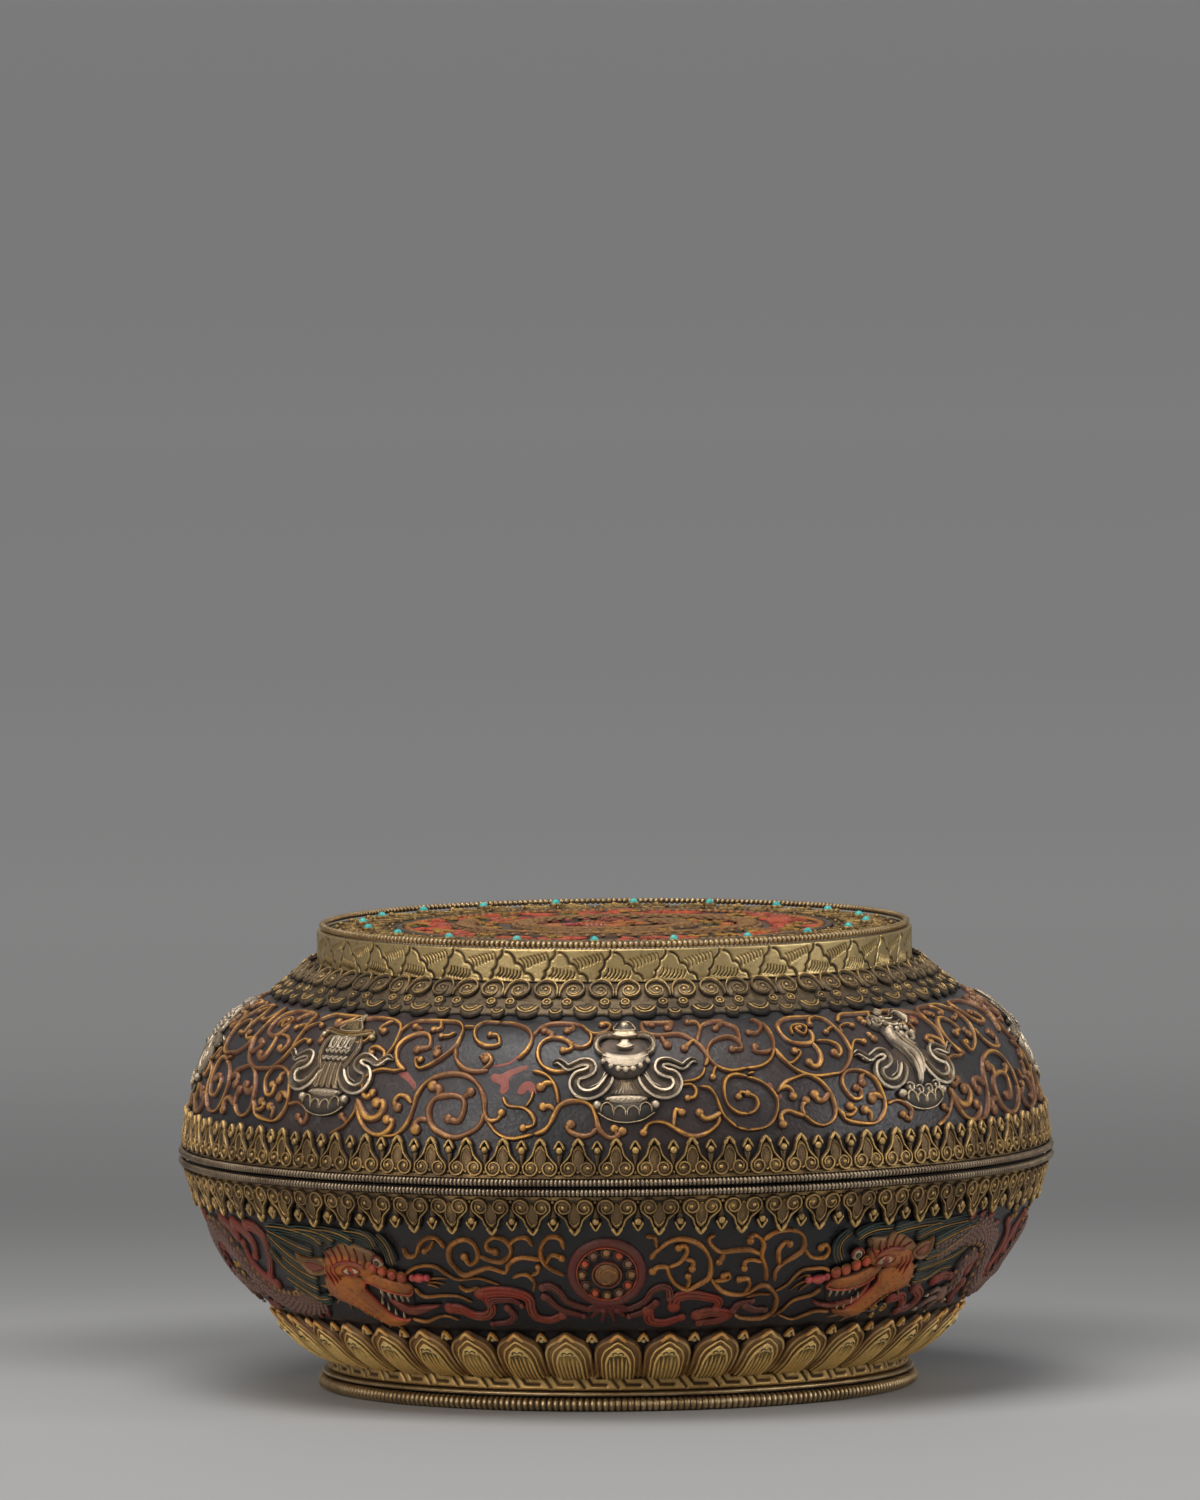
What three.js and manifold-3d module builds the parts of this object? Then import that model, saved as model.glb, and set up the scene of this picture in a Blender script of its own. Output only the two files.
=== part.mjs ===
// Round lidded treasure box in two turned wooden halves: a bowl on a foot, and a lid that lifts off
// and turns on the lip of the bowl. Gilt relief rings, beaded wires, a brass top band, eight silver
// emblems and a jewelled top plate are fixed to the wood.

import * as THREE from 'three';
import { mergeVertices } from 'three/addons/utils/BufferGeometryUtils.js';
import Module from 'manifold-3d';

const wasm = await Module();
wasm.setup();

// Sizes are in millimetres. The box stands on z = 0 about the Z axis, and its front faces -Y.

// Clearances
const seatGap = 0.3; // between two pieces that touch
const restGap = 0.3; // between the lid and the bowl at the parting plane
const slideGap = 0.6; // round the lip and the lid's lining, so that the lid lifts and turns

// Both halves
const rimRadius = 98.6;
const partingHeight = 53.8;
const wallThickness = 3.0;
const liningThickness = 0.8;
const rimWireRadius = 0.9;
const rimWireToParting = 1.1;

// Lip in the mouth of the bowl
const lipInset = 4.0; // from the outside of the rim in to the lip
const lipThickness = 1.0;
const lipRise = 6.0;
const lipDepth = 6.0;
const lipToLining = 1.2;

// Foot of the bowl, from the table up
const footRadius = 65.6;
const footRingWidth = 8.1;
const footHollowDepth = 1.6;
const footWireRadius = 1.6;
const filletHeight = 0.9;
const filletWidth = 2.2;
const filletRound = 0.4;
const footBandHeight = 4.3;
const footBandThickness = 0.9;

// Wall of the bowl, from the lotus petals up to the rim
const lotusFootInset = 1.4; // the petals start this far outside the foot
const lotusBellyRun = 6.5;
const lotusBellyRise = 2.4;
const lotusRun = 11.6;
const lotusRise = 10.0;
const grooveRise = 0.5;
const grooveRun = 1.4;
const bowlFootRun = 8.0;
const bowlFootRise = 6.2;
const bowlHeadInset = 3.6;
const bowlHeadDrop = 15.5;
const floorRise = 2.5; // inside floor above the ledge under the petals
const floorInset = 1.0;

// Wall of the lid, from the rim up to the deck
const lidWallRise = 36.2;
const lidSideInset = 1.0;
const lidSideRise = 18.9;
const shoulderWidth = 9.6;
const shoulderEase = 12.6;
const shoulderDrop = 3.0;
const shoulderRise = 7.6;

// Drum, brass band and beaded wires round the top
const drumRadius = 66.6;
const drumInset = 1.0; // the drum stops this far below the top of the band
const bandHeight = 7.4;
const bandThickness = 1.5;
const bandFlare = 0.3;
const deckMargin = 0.3;
const topWireRadius = 0.75;
const topWireInset = 1.3;
const innerWireRadius = 0.45;
const innerWireInset = 1.25;

// Jewelled top plate and medallion
const plateThickness = 0.8;
const plateWidth = 14.3; // from the medallion out to the inner wire
const medallionRimWidth = 1.4;
const medallionRimHeight = 1.3;
const medallionFieldHeight = 0.8;
const medallionCrownHeight = 1.6;
const stoneCount = 20;
const stoneInset = 6.6; // from the plate's outer edge in to the stones' centres
const stoneTurn = -4.5; // degrees from the front to the nearest stone
const stoneRadius = 1.05;
const stoneHeight = 1.3;
const stoneTaper = 0.75; // share of the radius and height at which the dome breaks
const colletRadius = 1.45;
const colletHeight = 0.7;

// Ring of ruyi heads on the shoulder, whose lower edge hangs in drops
const ruyiCount = 36;
const ruyiDropHang = 2.6;
const ruyiValleyHang = 1.0;
const ruyiHeadRelief = 0.8;
const ruyiCreaseRelief = 1.5;
const ruyiValleyRelief = 1.0;
const ruyiFootRelief = 1.0;
const ruyiHead = 0.96; // share of the shoulder's slope that the heads cover

// Palmette rings beside the two rim wires
const lidPalmetteCount = 72;
const lidPalmetteHeight = 8.6;
const lidBudHeight = 7.4;
const bowlPalmetteCount = 64;
const bowlPalmetteHeight = 8.4;
const bowlBudHeight = 7.0;
const palmetteFootRelief = 1.3;
const palmetteTipRelief = 1.2;
const budTipRelief = 0.8;

// Lotus petals above the foot
const petalCount = 42;
const petalFootRelief = 1.0;
const petalBodyRelief = 2.1;
const petalLipRelief = 1.7;
const petalSeamRelief = 0.9;
const petalHollowRelief = 1.1; // between a petal's edge and its middle rib
const petalBelly = 0.55; // share of a petal's height at which it is fullest
const petalSeamHead = 0.86; // share of a petal's height at which its neighbours part
const petalSideHead = 0.95; // share of a petal's height to which its sides rise

// Carving on the wood, drawn on squared paper that is bent round it
const carvingRoot = 1.2; // depth to which a carved form reaches into the wood
const carvingMargin = 0.3; // between the carving and the gilt rings above and below it
const vineRelief = 0.8;
const vineWidth = 1.4;
const vineFieldCount = 4;
const dragonRelief = 1.4;
const dragonGirth = 8.4;
const dragonLockWidth = 2.6;
const ribbonCarvingWidth = 2.2;
const dragonPairCount = 2;

// Silver emblems on the lid
const emblemRise = 28.0; // along the wall from the lid's edge to an emblem's centre
const emblemTurn = 1.4; // degrees from the front to the middle of the first emblem
const emblemReach = 13.2; // along the wall from the centre to the top of the tallest emblem
const emblemDrop = 14.2; // along the wall from the centre down past the lowest cushion
const emblemRelief = 1.5;
const emblemSquare = 1.0; // side of one square of the paper that the emblems are drawn on
const ribbonWidth = 1.6;
const handleWidth = 1.3;
const emblemBlockDepth = 16.0;

// Fineness of the curved surfaces
const roundSteps = 32;
const wallSteps = 5;
const liningSteps = 3;
const lotusSteps = 2;
const layerSteps = 4;
const wireSides = 6;
const footWireSides = 8;
const stoneSides = 6;
const ellipseSteps = 10;
const searchSteps = 40; // halvings in the search for a height on a wall
const mergeDistance = 1e-4;

// Heights and radii that follow from the sizes above

const filletFoot = 2 * footWireRadius + seatGap;
const footBandFoot = filletFoot + filletHeight + seatGap;
const ledgeHeight = footBandFoot + footBandHeight + seatGap;
const lotusFootRadius = footRadius + lotusFootInset;
const lotusHeadRadius = lotusFootRadius + lotusRun;
const lotusHead = ledgeHeight + lotusRise;
const bowlWallRadius = lotusHeadRadius + grooveRun;
const bowlWallFoot = lotusHead + grooveRise;
const bowlHead = partingHeight - restGap / 2;
const floorHeight = ledgeHeight + floorRise;
const floorRadius = lotusFootRadius - floorInset;

const lidFoot = partingHeight + restGap / 2;
const shoulderHeight = partingHeight + lidWallRise;
const deckHeight = shoulderHeight + shoulderRise;
const bandInnerRadius = drumRadius + seatGap;
const bandOuterRadius = bandInnerRadius + bandThickness;
const deckRadius = bandOuterRadius + bandFlare + deckMargin;
const shoulderRadius = deckRadius + shoulderWidth;
const bandFoot = deckHeight + seatGap;
const bandHead = bandFoot + bandHeight;
const drumHead = bandHead - drumInset;
const plateFoot = drumHead + seatGap;
const topWireCircle = bandOuterRadius - topWireInset;
const innerWireCircle = drumRadius - innerWireInset;
const plateOuterRadius = innerWireCircle - innerWireRadius - seatGap;
const plateInnerRadius = plateOuterRadius - plateWidth;
const medallionRadius = plateInnerRadius - seatGap;
const stoneCircleRadius = plateOuterRadius - stoneInset;

const lipRadius = rimRadius - lipInset;
const lipOuterBore = lipRadius + seatGap;
const lidBore = lipRadius + slideGap;
const lipHead = partingHeight + lipRise;
const lipFoot = partingHeight - lipDepth;
const liningFoot = lipHead + lipToLining;
const liningHead = lipFoot - lipToLining;

// Materials

function finish(name, color, roughness, metalness) {
  return new THREE.MeshStandardMaterial({ name, color, roughness, metalness });
}

const lacquer = finish('lacquer', 0x262426, 0.45, 0.0);
const lining = finish('lining', 0x7a2a22, 0.8, 0.0);
const gilt = finish('gilt', 0x8a6a3a, 0.5, 0.7);
const brass = finish('brass', 0xb29a66, 0.4, 1.0);
const beadedWire = finish('wire', 0x8c7a5c, 0.45, 1.0);
const silver = finish('silver', 0xbeaa92, 0.4, 1.0);
const enamel = finish('enamel', 0x3a3634, 0.5, 0.2);
const turquoise = finish('turquoise', 0x3cb4af, 0.35, 0.0);

// Shape helpers

const point = (x, y) => new THREE.Vector2(x, y);

function range(from, to, steps) {
  return Array.from({ length: steps + 1 }, (_, index) => from + ((to - from) * index) / steps);
}

// A closed profile, or one that starts and ends on the axis, turned round the Z axis
function turned(profile, steps = roundSteps) {
  const onAxis = profile[0].x === 0;
  const loop = THREE.ShapeUtils.isClockWise(profile) ? [...profile].reverse() : [...profile];
  if (!onAxis) loop.push(loop[0].clone());
  const geometry = new THREE.LatheGeometry(loop, steps);
  geometry.rotateX(Math.PI / 2);
  return geometry;
}

// A plain ring with a square section
function hoop(inner, outer, foot, head) {
  return turned([point(inner, foot), point(outer, foot), point(outer, head), point(inner, head)]);
}

// A wire bent into a ring, its section turned by an angle about the wire
function wireRing(ringRadius, height, wireRadius, sides = wireSides, turn = 0) {
  const corners = range(0, sides - 1, sides - 1).map((side) => {
    const angle = (2 * side * Math.PI) / sides + turn;
    return point(ringRadius + wireRadius * Math.cos(angle), height + wireRadius * Math.sin(angle));
  });
  return turned(corners);
}

// A point on a wall's curve, at a share of its length and a distance out from the wood
function offWall(wall, share, distance) {
  const place = wall.getPointAt(share);
  const along = wall.getTangentAt(share);
  return point(place.x + along.y * distance, place.y - along.x * distance);
}

// The share of a wall's length at which the surface at a distance out from it reaches a height
function shareAtHeight(wall, height, distance) {
  let low = 0;
  let high = 1;
  for (let pass = 0; pass < searchSteps; pass += 1) {
    const middle = (low + high) / 2;
    if (offWall(wall, middle, distance).y < height) low = middle;
    else high = middle;
  }
  return low;
}

// The sections of a ring in which shapes take turns, the first of them at the front
const byTurns = (count, ...shapes) => Array.from({ length: count }, () => shapes).flat();

// A closed ring lofted through one section at each step round the axis
function loftedRing(sections) {
  const corners = sections[0].length;
  const positions = [];
  const faces = [];
  sections.forEach((section, step) => {
    const angle = (2 * Math.PI * step) / sections.length;
    const next = (step + 1) % sections.length;
    section.forEach((spot, corner) => {
      const up = (corner + 1) % corners;
      positions.push(spot.x * Math.sin(angle), -spot.x * Math.cos(angle), spot.y);
      faces.push(step * corners + corner, next * corners + corner, next * corners + up);
      faces.push(step * corners + corner, next * corners + up, step * corners + up);
    });
  });
  const geometry = new THREE.BufferGeometry();
  geometry.setAttribute('position', new THREE.Float32BufferAttribute(positions, 3));
  geometry.setIndex(faces);
  return geometry;
}

// The section of a relief on a wall: outer points from foot to head, then back along the wood
function reliefSection(wall, from, to, reliefs, backs = 1) {
  const outer = reliefs.map(([part, relief]) => offWall(wall, from + (to - from) * part, seatGap + relief));
  const back = range(to, from, backs).map((share) => offWall(wall, share, seatGap));
  const section = [...outer, ...back];
  return THREE.ShapeUtils.isClockWise(section) ? section.reverse() : section;
}

function toSolid(geometry) {
  const bare = geometry.clone();
  bare.deleteAttribute('normal');
  bare.deleteAttribute('uv');
  const merged = mergeVertices(bare, mergeDistance);
  const vertProperties = new Float32Array(merged.attributes.position.array);
  const triVerts = new Uint32Array(merged.index.array);
  return new wasm.Manifold(new wasm.Mesh({ numProp: 3, vertProperties, triVerts }));
}

function toGeometry(solid) {
  const mesh = solid.getMesh();
  const geometry = new THREE.BufferGeometry();
  geometry.setAttribute('position', new THREE.BufferAttribute(mesh.vertProperties, 3));
  geometry.setIndex(new THREE.BufferAttribute(mesh.triVerts, 1));
  return geometry;
}

function joined(geometries) {
  return geometries.map(toSolid).reduce((whole, piece) => whole.add(piece));
}

const box = new THREE.Group();

function addPiece(name, geometry, material) {
  const mesh = new THREE.Mesh(geometry, material);
  mesh.name = name;
  box.add(mesh);
}

// Outlines of the two walls

const lotusWall = new THREE.QuadraticBezierCurve(
  point(lotusFootRadius, ledgeHeight),
  point(lotusFootRadius + lotusBellyRun, ledgeHeight + lotusBellyRise),
  point(lotusHeadRadius, lotusHead),
);
const bowlWall = new THREE.CubicBezierCurve(
  point(bowlWallRadius, bowlWallFoot),
  point(bowlWallRadius + bowlFootRun, bowlWallFoot + bowlFootRise),
  point(rimRadius - bowlHeadInset, bowlHead - bowlHeadDrop),
  point(rimRadius, bowlHead),
);
const lidWall = new THREE.CubicBezierCurve(
  point(rimRadius, lidFoot),
  point(rimRadius - lidSideInset, lidFoot + lidSideRise),
  point(shoulderRadius + shoulderEase, shoulderHeight - shoulderDrop),
  point(shoulderRadius, shoulderHeight),
);
const shoulderSlope = new THREE.LineCurve(
  point(shoulderRadius, shoulderHeight),
  point(deckRadius, deckHeight),
);

// The inside of the bowl at a depth below its outer wall, from the axis out and up to a height
function bowlInside(depth, head, steps) {
  const floor = floorHeight + depth - wallThickness;
  const corner = floorRadius - (depth - wallThickness) / 2;
  const headShare = shareAtHeight(bowlWall, head, -depth);
  const wall = range(0, headShare, steps).map((share) => offWall(bowlWall, share, -depth));
  return [point(0, floor), point(corner, floor), ...wall];
}

// The inside of the lid at a depth below its outer wall, from the axis out and down to a height
function lidInside(depth, foot, steps) {
  const ceiling = deckHeight - depth;
  const footShare = shareAtHeight(lidWall, foot, -depth);
  const wall = range(1, footShare, steps).map((share) => offWall(lidWall, share, -depth));
  return [point(0, ceiling), point(deckRadius - depth / 3, ceiling), ...wall];
}

// Flat drawings on squared paper, x to the right and y up the wall

const onPaper = ([x, y]) => point(x, y);

function outline(points) {
  return new THREE.Shape(points.map(onPaper));
}

// A symmetric outline from its right half, given from top to bottom
function twoSided(half) {
  const left = half.filter(([x]) => x > 0).map(([x, y]) => [-x, y]).reverse();
  return outline([...half, ...left]);
}

function ellipse(x, y, acrossRadius, upRadius, tilt = 0) {
  const turn = THREE.MathUtils.degToRad(tilt);
  const spots = range(0, ellipseSteps - 1, ellipseSteps - 1).map((index) => {
    const angle = (2 * Math.PI * index) / ellipseSteps;
    const across = acrossRadius * Math.cos(angle);
    const up = upRadius * Math.sin(angle);
    const aside = across * Math.cos(turn) - up * Math.sin(turn);
    return [x + aside, y + across * Math.sin(turn) + up * Math.cos(turn)];
  });
  return outline(spots);
}

// A strip of even width along a bent line
function strip(points, width) {
  const line = points.map(onPaper);
  const ways = line.slice(1).map((spot, index) => spot.clone().sub(line[index]).normalize());
  const sides = line.map((spot, index) => {
    const before = ways[Math.max(index - 1, 0)];
    const after = ways[Math.min(index, ways.length - 1)];
    const across = point(-before.y - after.y, before.x + after.x).normalize();
    const stretch = Math.max(across.dot(point(-after.y, after.x)), 0.5);
    return across.multiplyScalar(width / 2 / stretch);
  });
  const left = line.map((spot, index) => spot.clone().add(sides[index]));
  const right = line.map((spot, index) => spot.clone().sub(sides[index]));
  return new THREE.Shape([...left, ...right.reverse()]);
}

// A flat drawing bent round a wall and raised from the wood; the paper has a number of squares round
// the wall and a number from the foot to the head of the carved field
function carved(shape, field, relief) {
  const depth = carvingRoot + relief;
  const block = new THREE.ExtrudeGeometry(shape, { depth, bevelEnabled: false });
  const spots = block.attributes.position;
  const square = (field.head - field.foot) / field.squaresUp;
  range(0, spots.count - 1, spots.count - 1).forEach((index) => {
    const share = (field.foot + spots.getY(index) * square) / field.wall.getLength();
    const place = offWall(field.wall, share, spots.getZ(index) - carvingRoot);
    const angle = (2 * Math.PI * spots.getX(index)) / field.squaresRound;
    spots.setXYZ(index, place.x * Math.sin(angle), -place.x * Math.cos(angle), place.y);
  });
  return block;
}

function repeated(geometries, count, turn = 0) {
  return range(0, count - 1, count - 1).flatMap((index) => geometries.map((geometry) => {
    const copy = geometry.clone();
    return copy.rotateZ((2 * Math.PI * index) / count + THREE.MathUtils.degToRad(turn));
  }));
}

// The wheel in front, the two dragons that face it, and the scrolls and ribbons between them
const dragonBodies = [
  [[-86, 7], [-96, 5.4], [-106, 7], [-114, 15], [-123, 23], [-135, 21.6], [-148, 9]],
  [[86, 20], [94, 23.6], [105, 23], [113, 15], [115, 8], [123.4, 7.6], [138, 20.4]],
];
const dragonHeads = [
  [[-76.6, 15.2], [-74.7, 21.5], [-66.4, 25.2], [-58.4, 22], [-51.6, 16.8], [-51.2, 12.2], [-62.2, 13.8]],
  [[-78, 16], [-79.4, 9.6], [-70.2, 5.4], [-61.7, 0.8], [-55.6, 3.9], [-62.4, 7.4], [-64.6, 15.4]],
  [[60.5, 24.4], [67.5, 27], [77.4, 21.4], [76.4, 17], [66.4, 15], [52.6, 12.4], [53.2, 16.9]],
  [[76.4, 18.2], [79.6, 11.4], [71.3, 9], [66.6, 3], [57, 4.8], [64.4, 8.6], [66.8, 16]],
];
const dragonLocks = [
  [[-91, 26], [-81, 26], [-74, 23]],
  [[-94, 21], [-90, 15.6], [-82, 11.2]],
  [[76.8, 25], [84.5, 26.6], [93, 26.6]],
];
const bandScrolls = [
  [[-40, 24], [-36.6, 18.4], [-26.3, 18.4], [-17.6, 21.7]],
  [[-33.7, 12.2], [-24.3, 12.2], [-20.6, 5.6], [-12.9, 6.6]],
  [[7.8, 22.4], [14, 25.8], [21.3, 20], [16.5, 13.6]],
  [[13.9, 8.3], [17.4, 11.4], [25, 9.6]],
  [[22.6, 15.6], [28.3, 11.7], [36.4, 13.4], [40.2, 8.8], [34, 4.2]],
];

function dragonBand() {
  const foot = 0;
  const borderDepth = rimWireToParting + rimWireRadius + seatGap - restGap / 2 + bowlPalmetteHeight;
  const head = bowlWall.getLength() - borderDepth - carvingMargin;
  const field = { wall: bowlWall, foot, head, squaresRound: 590, squaresUp: 28 };
  const wheel = ellipse(-2.4, 18, 9.3, 9.3);
  wheel.holes.push(ellipse(-2.4, 18, 6.9, 6.9));
  const noses = [ellipse(-47.8, 16.4, 2.4, 1.6), ellipse(49.2, 15, 2.6, 1.4)];
  const high = [
    wheel,
    ...noses,
    ...dragonHeads.map(outline),
    ...dragonBodies.map((line) => strip(line, dragonGirth)),
    ...dragonLocks.map((line) => strip(line, dragonLockWidth)),
  ];
  const low = bandScrolls.map((line) => strip(line, ribbonCarvingWidth));
  return repeated([
    ...high.map((shape) => carved(shape, field, dragonRelief)),
    ...low.map((shape) => carved(shape, field, vineRelief)),
  ], dragonPairCount);
}

// Vines in the two fields on the two sides of the first emblem
const vineLines = [
  [[24.5, 29], [19.2, 27.6], [19.7, 18.6], [15.9, 13.6]],
  [[37.2, 20], [39.9, 15.5], [45.6, 12.9], [52.9, 13.6], [56.6, 17.4]],
  [[48.5, 25], [46.4, 21.4], [41.5, 22.4], [41.6, 28], [47, 29.2], [54, 28], [57, 23.6]],
  [[35.1, 9.5], [43.1, 13.3], [49.1, 7], [46.6, 1.9], [40.9, 3.6]],
  [[50.2, 3.8], [56, 1.4], [62.8, 5.2], [60.4, 10.6]],
  [[-59.5, 25.1], [-56.5, 29], [-43.2, 28], [-42.4, 20.4], [-49.8, 15.6]],
  [[-56, 1.6], [-50.7, 2.5], [-47.6, 11.4], [-39.3, 14.6], [-32.6, 9], [-31, 4.4]],
  [[-23.1, 25.4], [-19, 29], [-12.6, 28.6]],
];

function lidVines() {
  const borderHeight = rimWireToParting + rimWireRadius + seatGap - restGap / 2 + lidPalmetteHeight;
  const foot = borderHeight + carvingMargin;
  const head = lidWall.getLength() - ruyiDropHang - seatGap - carvingMargin;
  const field = { wall: lidWall, foot, head, squaresRound: 597, squaresUp: 30 };
  const vines = vineLines.map((line) => carved(strip(line, vineWidth), field, vineRelief));
  return repeated(vines, vineFieldCount, emblemTurn);
}

// Bowl

function bowlWood() {
  const footHollowRadius = footRadius - footRingWidth;
  const outside = [
    point(0, footHollowDepth),
    point(footHollowRadius, footHollowDepth),
    point(footHollowRadius + footHollowDepth, 0),
    point(footRadius, 0),
    point(footRadius, ledgeHeight),
    ...range(0, 1, lotusSteps).map((share) => offWall(lotusWall, share, 0)),
    ...range(0, 1, wallSteps).map((share) => offWall(bowlWall, share, 0)),
    point(lipOuterBore, bowlHead),
    point(lipOuterBore, lipFoot - seatGap),
  ];
  return turned([...outside, ...bowlInside(wallThickness, lipFoot - seatGap, wallSteps).reverse()]);
}

function bowlLining() {
  const outer = bowlInside(wallThickness + seatGap, liningHead, liningSteps);
  const inner = bowlInside(wallThickness + seatGap + liningThickness, liningHead, liningSteps);
  return turned([...outer, ...inner.reverse()]);
}

function lipRing() {
  const inner = lipRadius - lipThickness;
  return hoop(inner, lipRadius, lipFoot, lipHead);
}

function footFillet() {
  const inner = footRadius + seatGap;
  const outer = inner + filletWidth;
  const head = filletFoot + filletHeight;
  return turned([
    point(inner, filletFoot),
    point(outer - filletRound, filletFoot),
    point(outer, filletFoot + filletHeight / 2),
    point(outer - filletRound, head),
    point(inner, head),
  ]);
}

function footBand() {
  const inner = footRadius + seatGap;
  return hoop(inner, inner + footBandThickness, footBandFoot, footBandFoot + footBandHeight);
}

function lotusRing() {
  const petal = reliefSection(
    lotusWall, 0, 1, [[0, petalFootRelief], [petalBelly, petalBodyRelief], [1, petalLipRelief]], lotusSteps,
  );
  const seamParts = [0, petalBelly, petalSeamHead];
  const seam = reliefSection(lotusWall, 0, 1, seamParts.map((part) => [part, petalSeamRelief]), lotusSteps);
  const sideParts = [[0, petalFootRelief], [petalBelly, petalHollowRelief], [petalSideHead, petalLipRelief]];
  const side = reliefSection(lotusWall, 0, 1, sideParts, lotusSteps);
  return loftedRing(byTurns(petalCount, seam, side, petal, side));
}

function bowlBorder() {
  const length = bowlWall.getLength();
  const head = 1 - (rimWireToParting + rimWireRadius + seatGap - restGap / 2) / length;
  const section = (height, tipRelief) => reliefSection(
    bowlWall, head - height / length, head, [[0, tipRelief], [1, palmetteFootRelief]],
  );
  const palmette = section(bowlPalmetteHeight, palmetteTipRelief);
  const bud = section(bowlBudHeight, budTipRelief);
  return loftedRing(byTurns(bowlPalmetteCount, palmette, bud));
}

// The foot wire stands on a flat side of its section
function footWire() {
  const halfSide = Math.PI / footWireSides;
  const circle = footRadius + seatGap + footWireRadius;
  return wireRing(circle, footWireRadius, footWireRadius / Math.cos(halfSide), footWireSides, halfSide);
}

function rimWire(height) {
  return wireRing(rimRadius + seatGap + rimWireRadius, height, rimWireRadius);
}

addPiece('base_shell', toGeometry(joined([bowlWood(), ...dragonBand()])), lacquer);
addPiece('base_lining', bowlLining(), lining);
addPiece('lip_ring', lipRing(), brass);
addPiece('foot_wire', footWire(), beadedWire);
addPiece('foot_fillet', footFillet(), beadedWire);
addPiece('foot_band', footBand(), brass);
addPiece('lotus_ring', lotusRing(), gilt);
addPiece('base_border', bowlBorder(), gilt);
addPiece('base_rim_wire', rimWire(partingHeight - rimWireToParting), beadedWire);

// Lid

function lidWood() {
  const outside = [
    point(lidBore, lidFoot),
    ...range(0, 1, wallSteps).map((share) => offWall(lidWall, share, 0)),
    point(deckRadius, deckHeight),
    point(drumRadius, deckHeight),
    point(drumRadius, drumHead),
    point(0, drumHead),
  ];
  return turned([...lidInside(wallThickness, liningFoot, wallSteps), point(lidBore, liningFoot), ...outside]);
}

function lidLining() {
  const outer = lidInside(wallThickness + slideGap, liningFoot, liningSteps);
  const inner = lidInside(wallThickness + slideGap + liningThickness, liningFoot, liningSteps);
  return turned([...outer, ...inner.reverse()]);
}

function lidBorder() {
  const length = lidWall.getLength();
  const foot = (rimWireToParting + rimWireRadius + seatGap - restGap / 2) / length;
  const section = (height, tipRelief) => reliefSection(
    lidWall, foot, foot + height / length, [[0, palmetteFootRelief], [1, tipRelief]],
  );
  const palmette = section(lidPalmetteHeight, palmetteTipRelief);
  const bud = section(lidBudHeight, budTipRelief);
  return loftedRing(byTurns(lidPalmetteCount, palmette, bud));
}

function shoulderBorder() {
  const length = lidWall.getLength();
  const creaseOut = offWall(lidWall, 1, 1).add(offWall(shoulderSlope, 0, 1)).multiplyScalar(0.5);
  const creaseWay = creaseOut.sub(point(shoulderRadius, shoulderHeight)).normalize();
  const crease = (distance) => point(shoulderRadius, shoulderHeight).addScaledVector(creaseWay, distance);
  const section = (hang, relief) => [
    offWall(lidWall, 1 - hang / length, seatGap + ruyiFootRelief),
    crease(seatGap + relief),
    offWall(shoulderSlope, ruyiHead, seatGap + ruyiHeadRelief),
    offWall(shoulderSlope, ruyiHead, seatGap),
    crease(seatGap),
    offWall(lidWall, 1 - hang / length, seatGap),
  ];
  const drop = section(ruyiDropHang, ruyiCreaseRelief);
  const valley = section(ruyiValleyHang, ruyiValleyRelief);
  return loftedRing(byTurns(ruyiCount, drop, valley));
}

function topBand() {
  return turned([
    point(bandInnerRadius, bandFoot),
    point(bandOuterRadius + bandFlare, bandFoot),
    point(bandOuterRadius, bandFoot + bandFlare),
    point(bandOuterRadius, bandHead),
    point(bandInnerRadius, bandHead),
  ]);
}

addPiece('lid_shell', toGeometry(joined([lidWood(), ...lidVines()])), lacquer);
addPiece('lid_lining', lidLining(), lining);
addPiece('lid_rim_wire', rimWire(partingHeight + rimWireToParting), beadedWire);
addPiece('lid_border', lidBorder(), gilt);
addPiece('shoulder_border', shoulderBorder(), gilt);
addPiece('top_band', topBand(), brass);
addPiece('top_wire', wireRing(topWireCircle, bandHead + seatGap + topWireRadius, topWireRadius), beadedWire);
addPiece('inner_wire', wireRing(innerWireCircle, plateFoot + innerWireRadius, innerWireRadius), beadedWire);

// Top plate with its stones, and the medallion inside it

function medallion() {
  const rimHead = plateFoot + medallionRimHeight;
  const rimInner = medallionRadius - medallionRimWidth;
  return turned([
    point(0, plateFoot),
    point(medallionRadius, plateFoot),
    point(medallionRadius, rimHead),
    point(rimInner, rimHead),
    point(rimInner - seatGap, plateFoot + medallionFieldHeight),
    point(rimInner / 2, plateFoot + (medallionFieldHeight + medallionCrownHeight) / 2),
    point(0, plateFoot + medallionCrownHeight),
  ]);
}

function stonePlace(index) {
  const angle = THREE.MathUtils.degToRad(stoneTurn + (360 * index) / stoneCount);
  return new THREE.Vector3(stoneCircleRadius * Math.sin(angle), -stoneCircleRadius * Math.cos(angle), 0);
}

function jewelPlate() {
  const head = plateFoot + plateThickness;
  const plate = turned([
    point(plateInnerRadius, plateFoot),
    point(plateOuterRadius, plateFoot),
    point(plateOuterRadius, head),
    point(plateInnerRadius, head),
  ]);
  const collets = range(0, stoneCount - 1, stoneCount - 1).map((index) => {
    const collet = turned([
      point(0, head - plateThickness / 2),
      point(colletRadius, head - plateThickness / 2),
      point(colletRadius, head + colletHeight),
      point(0, head + colletHeight),
    ], stoneSides);
    const place = stonePlace(index);
    return collet.translate(place.x, place.y, 0);
  });
  return toGeometry(joined([plate, ...collets]));
}

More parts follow.
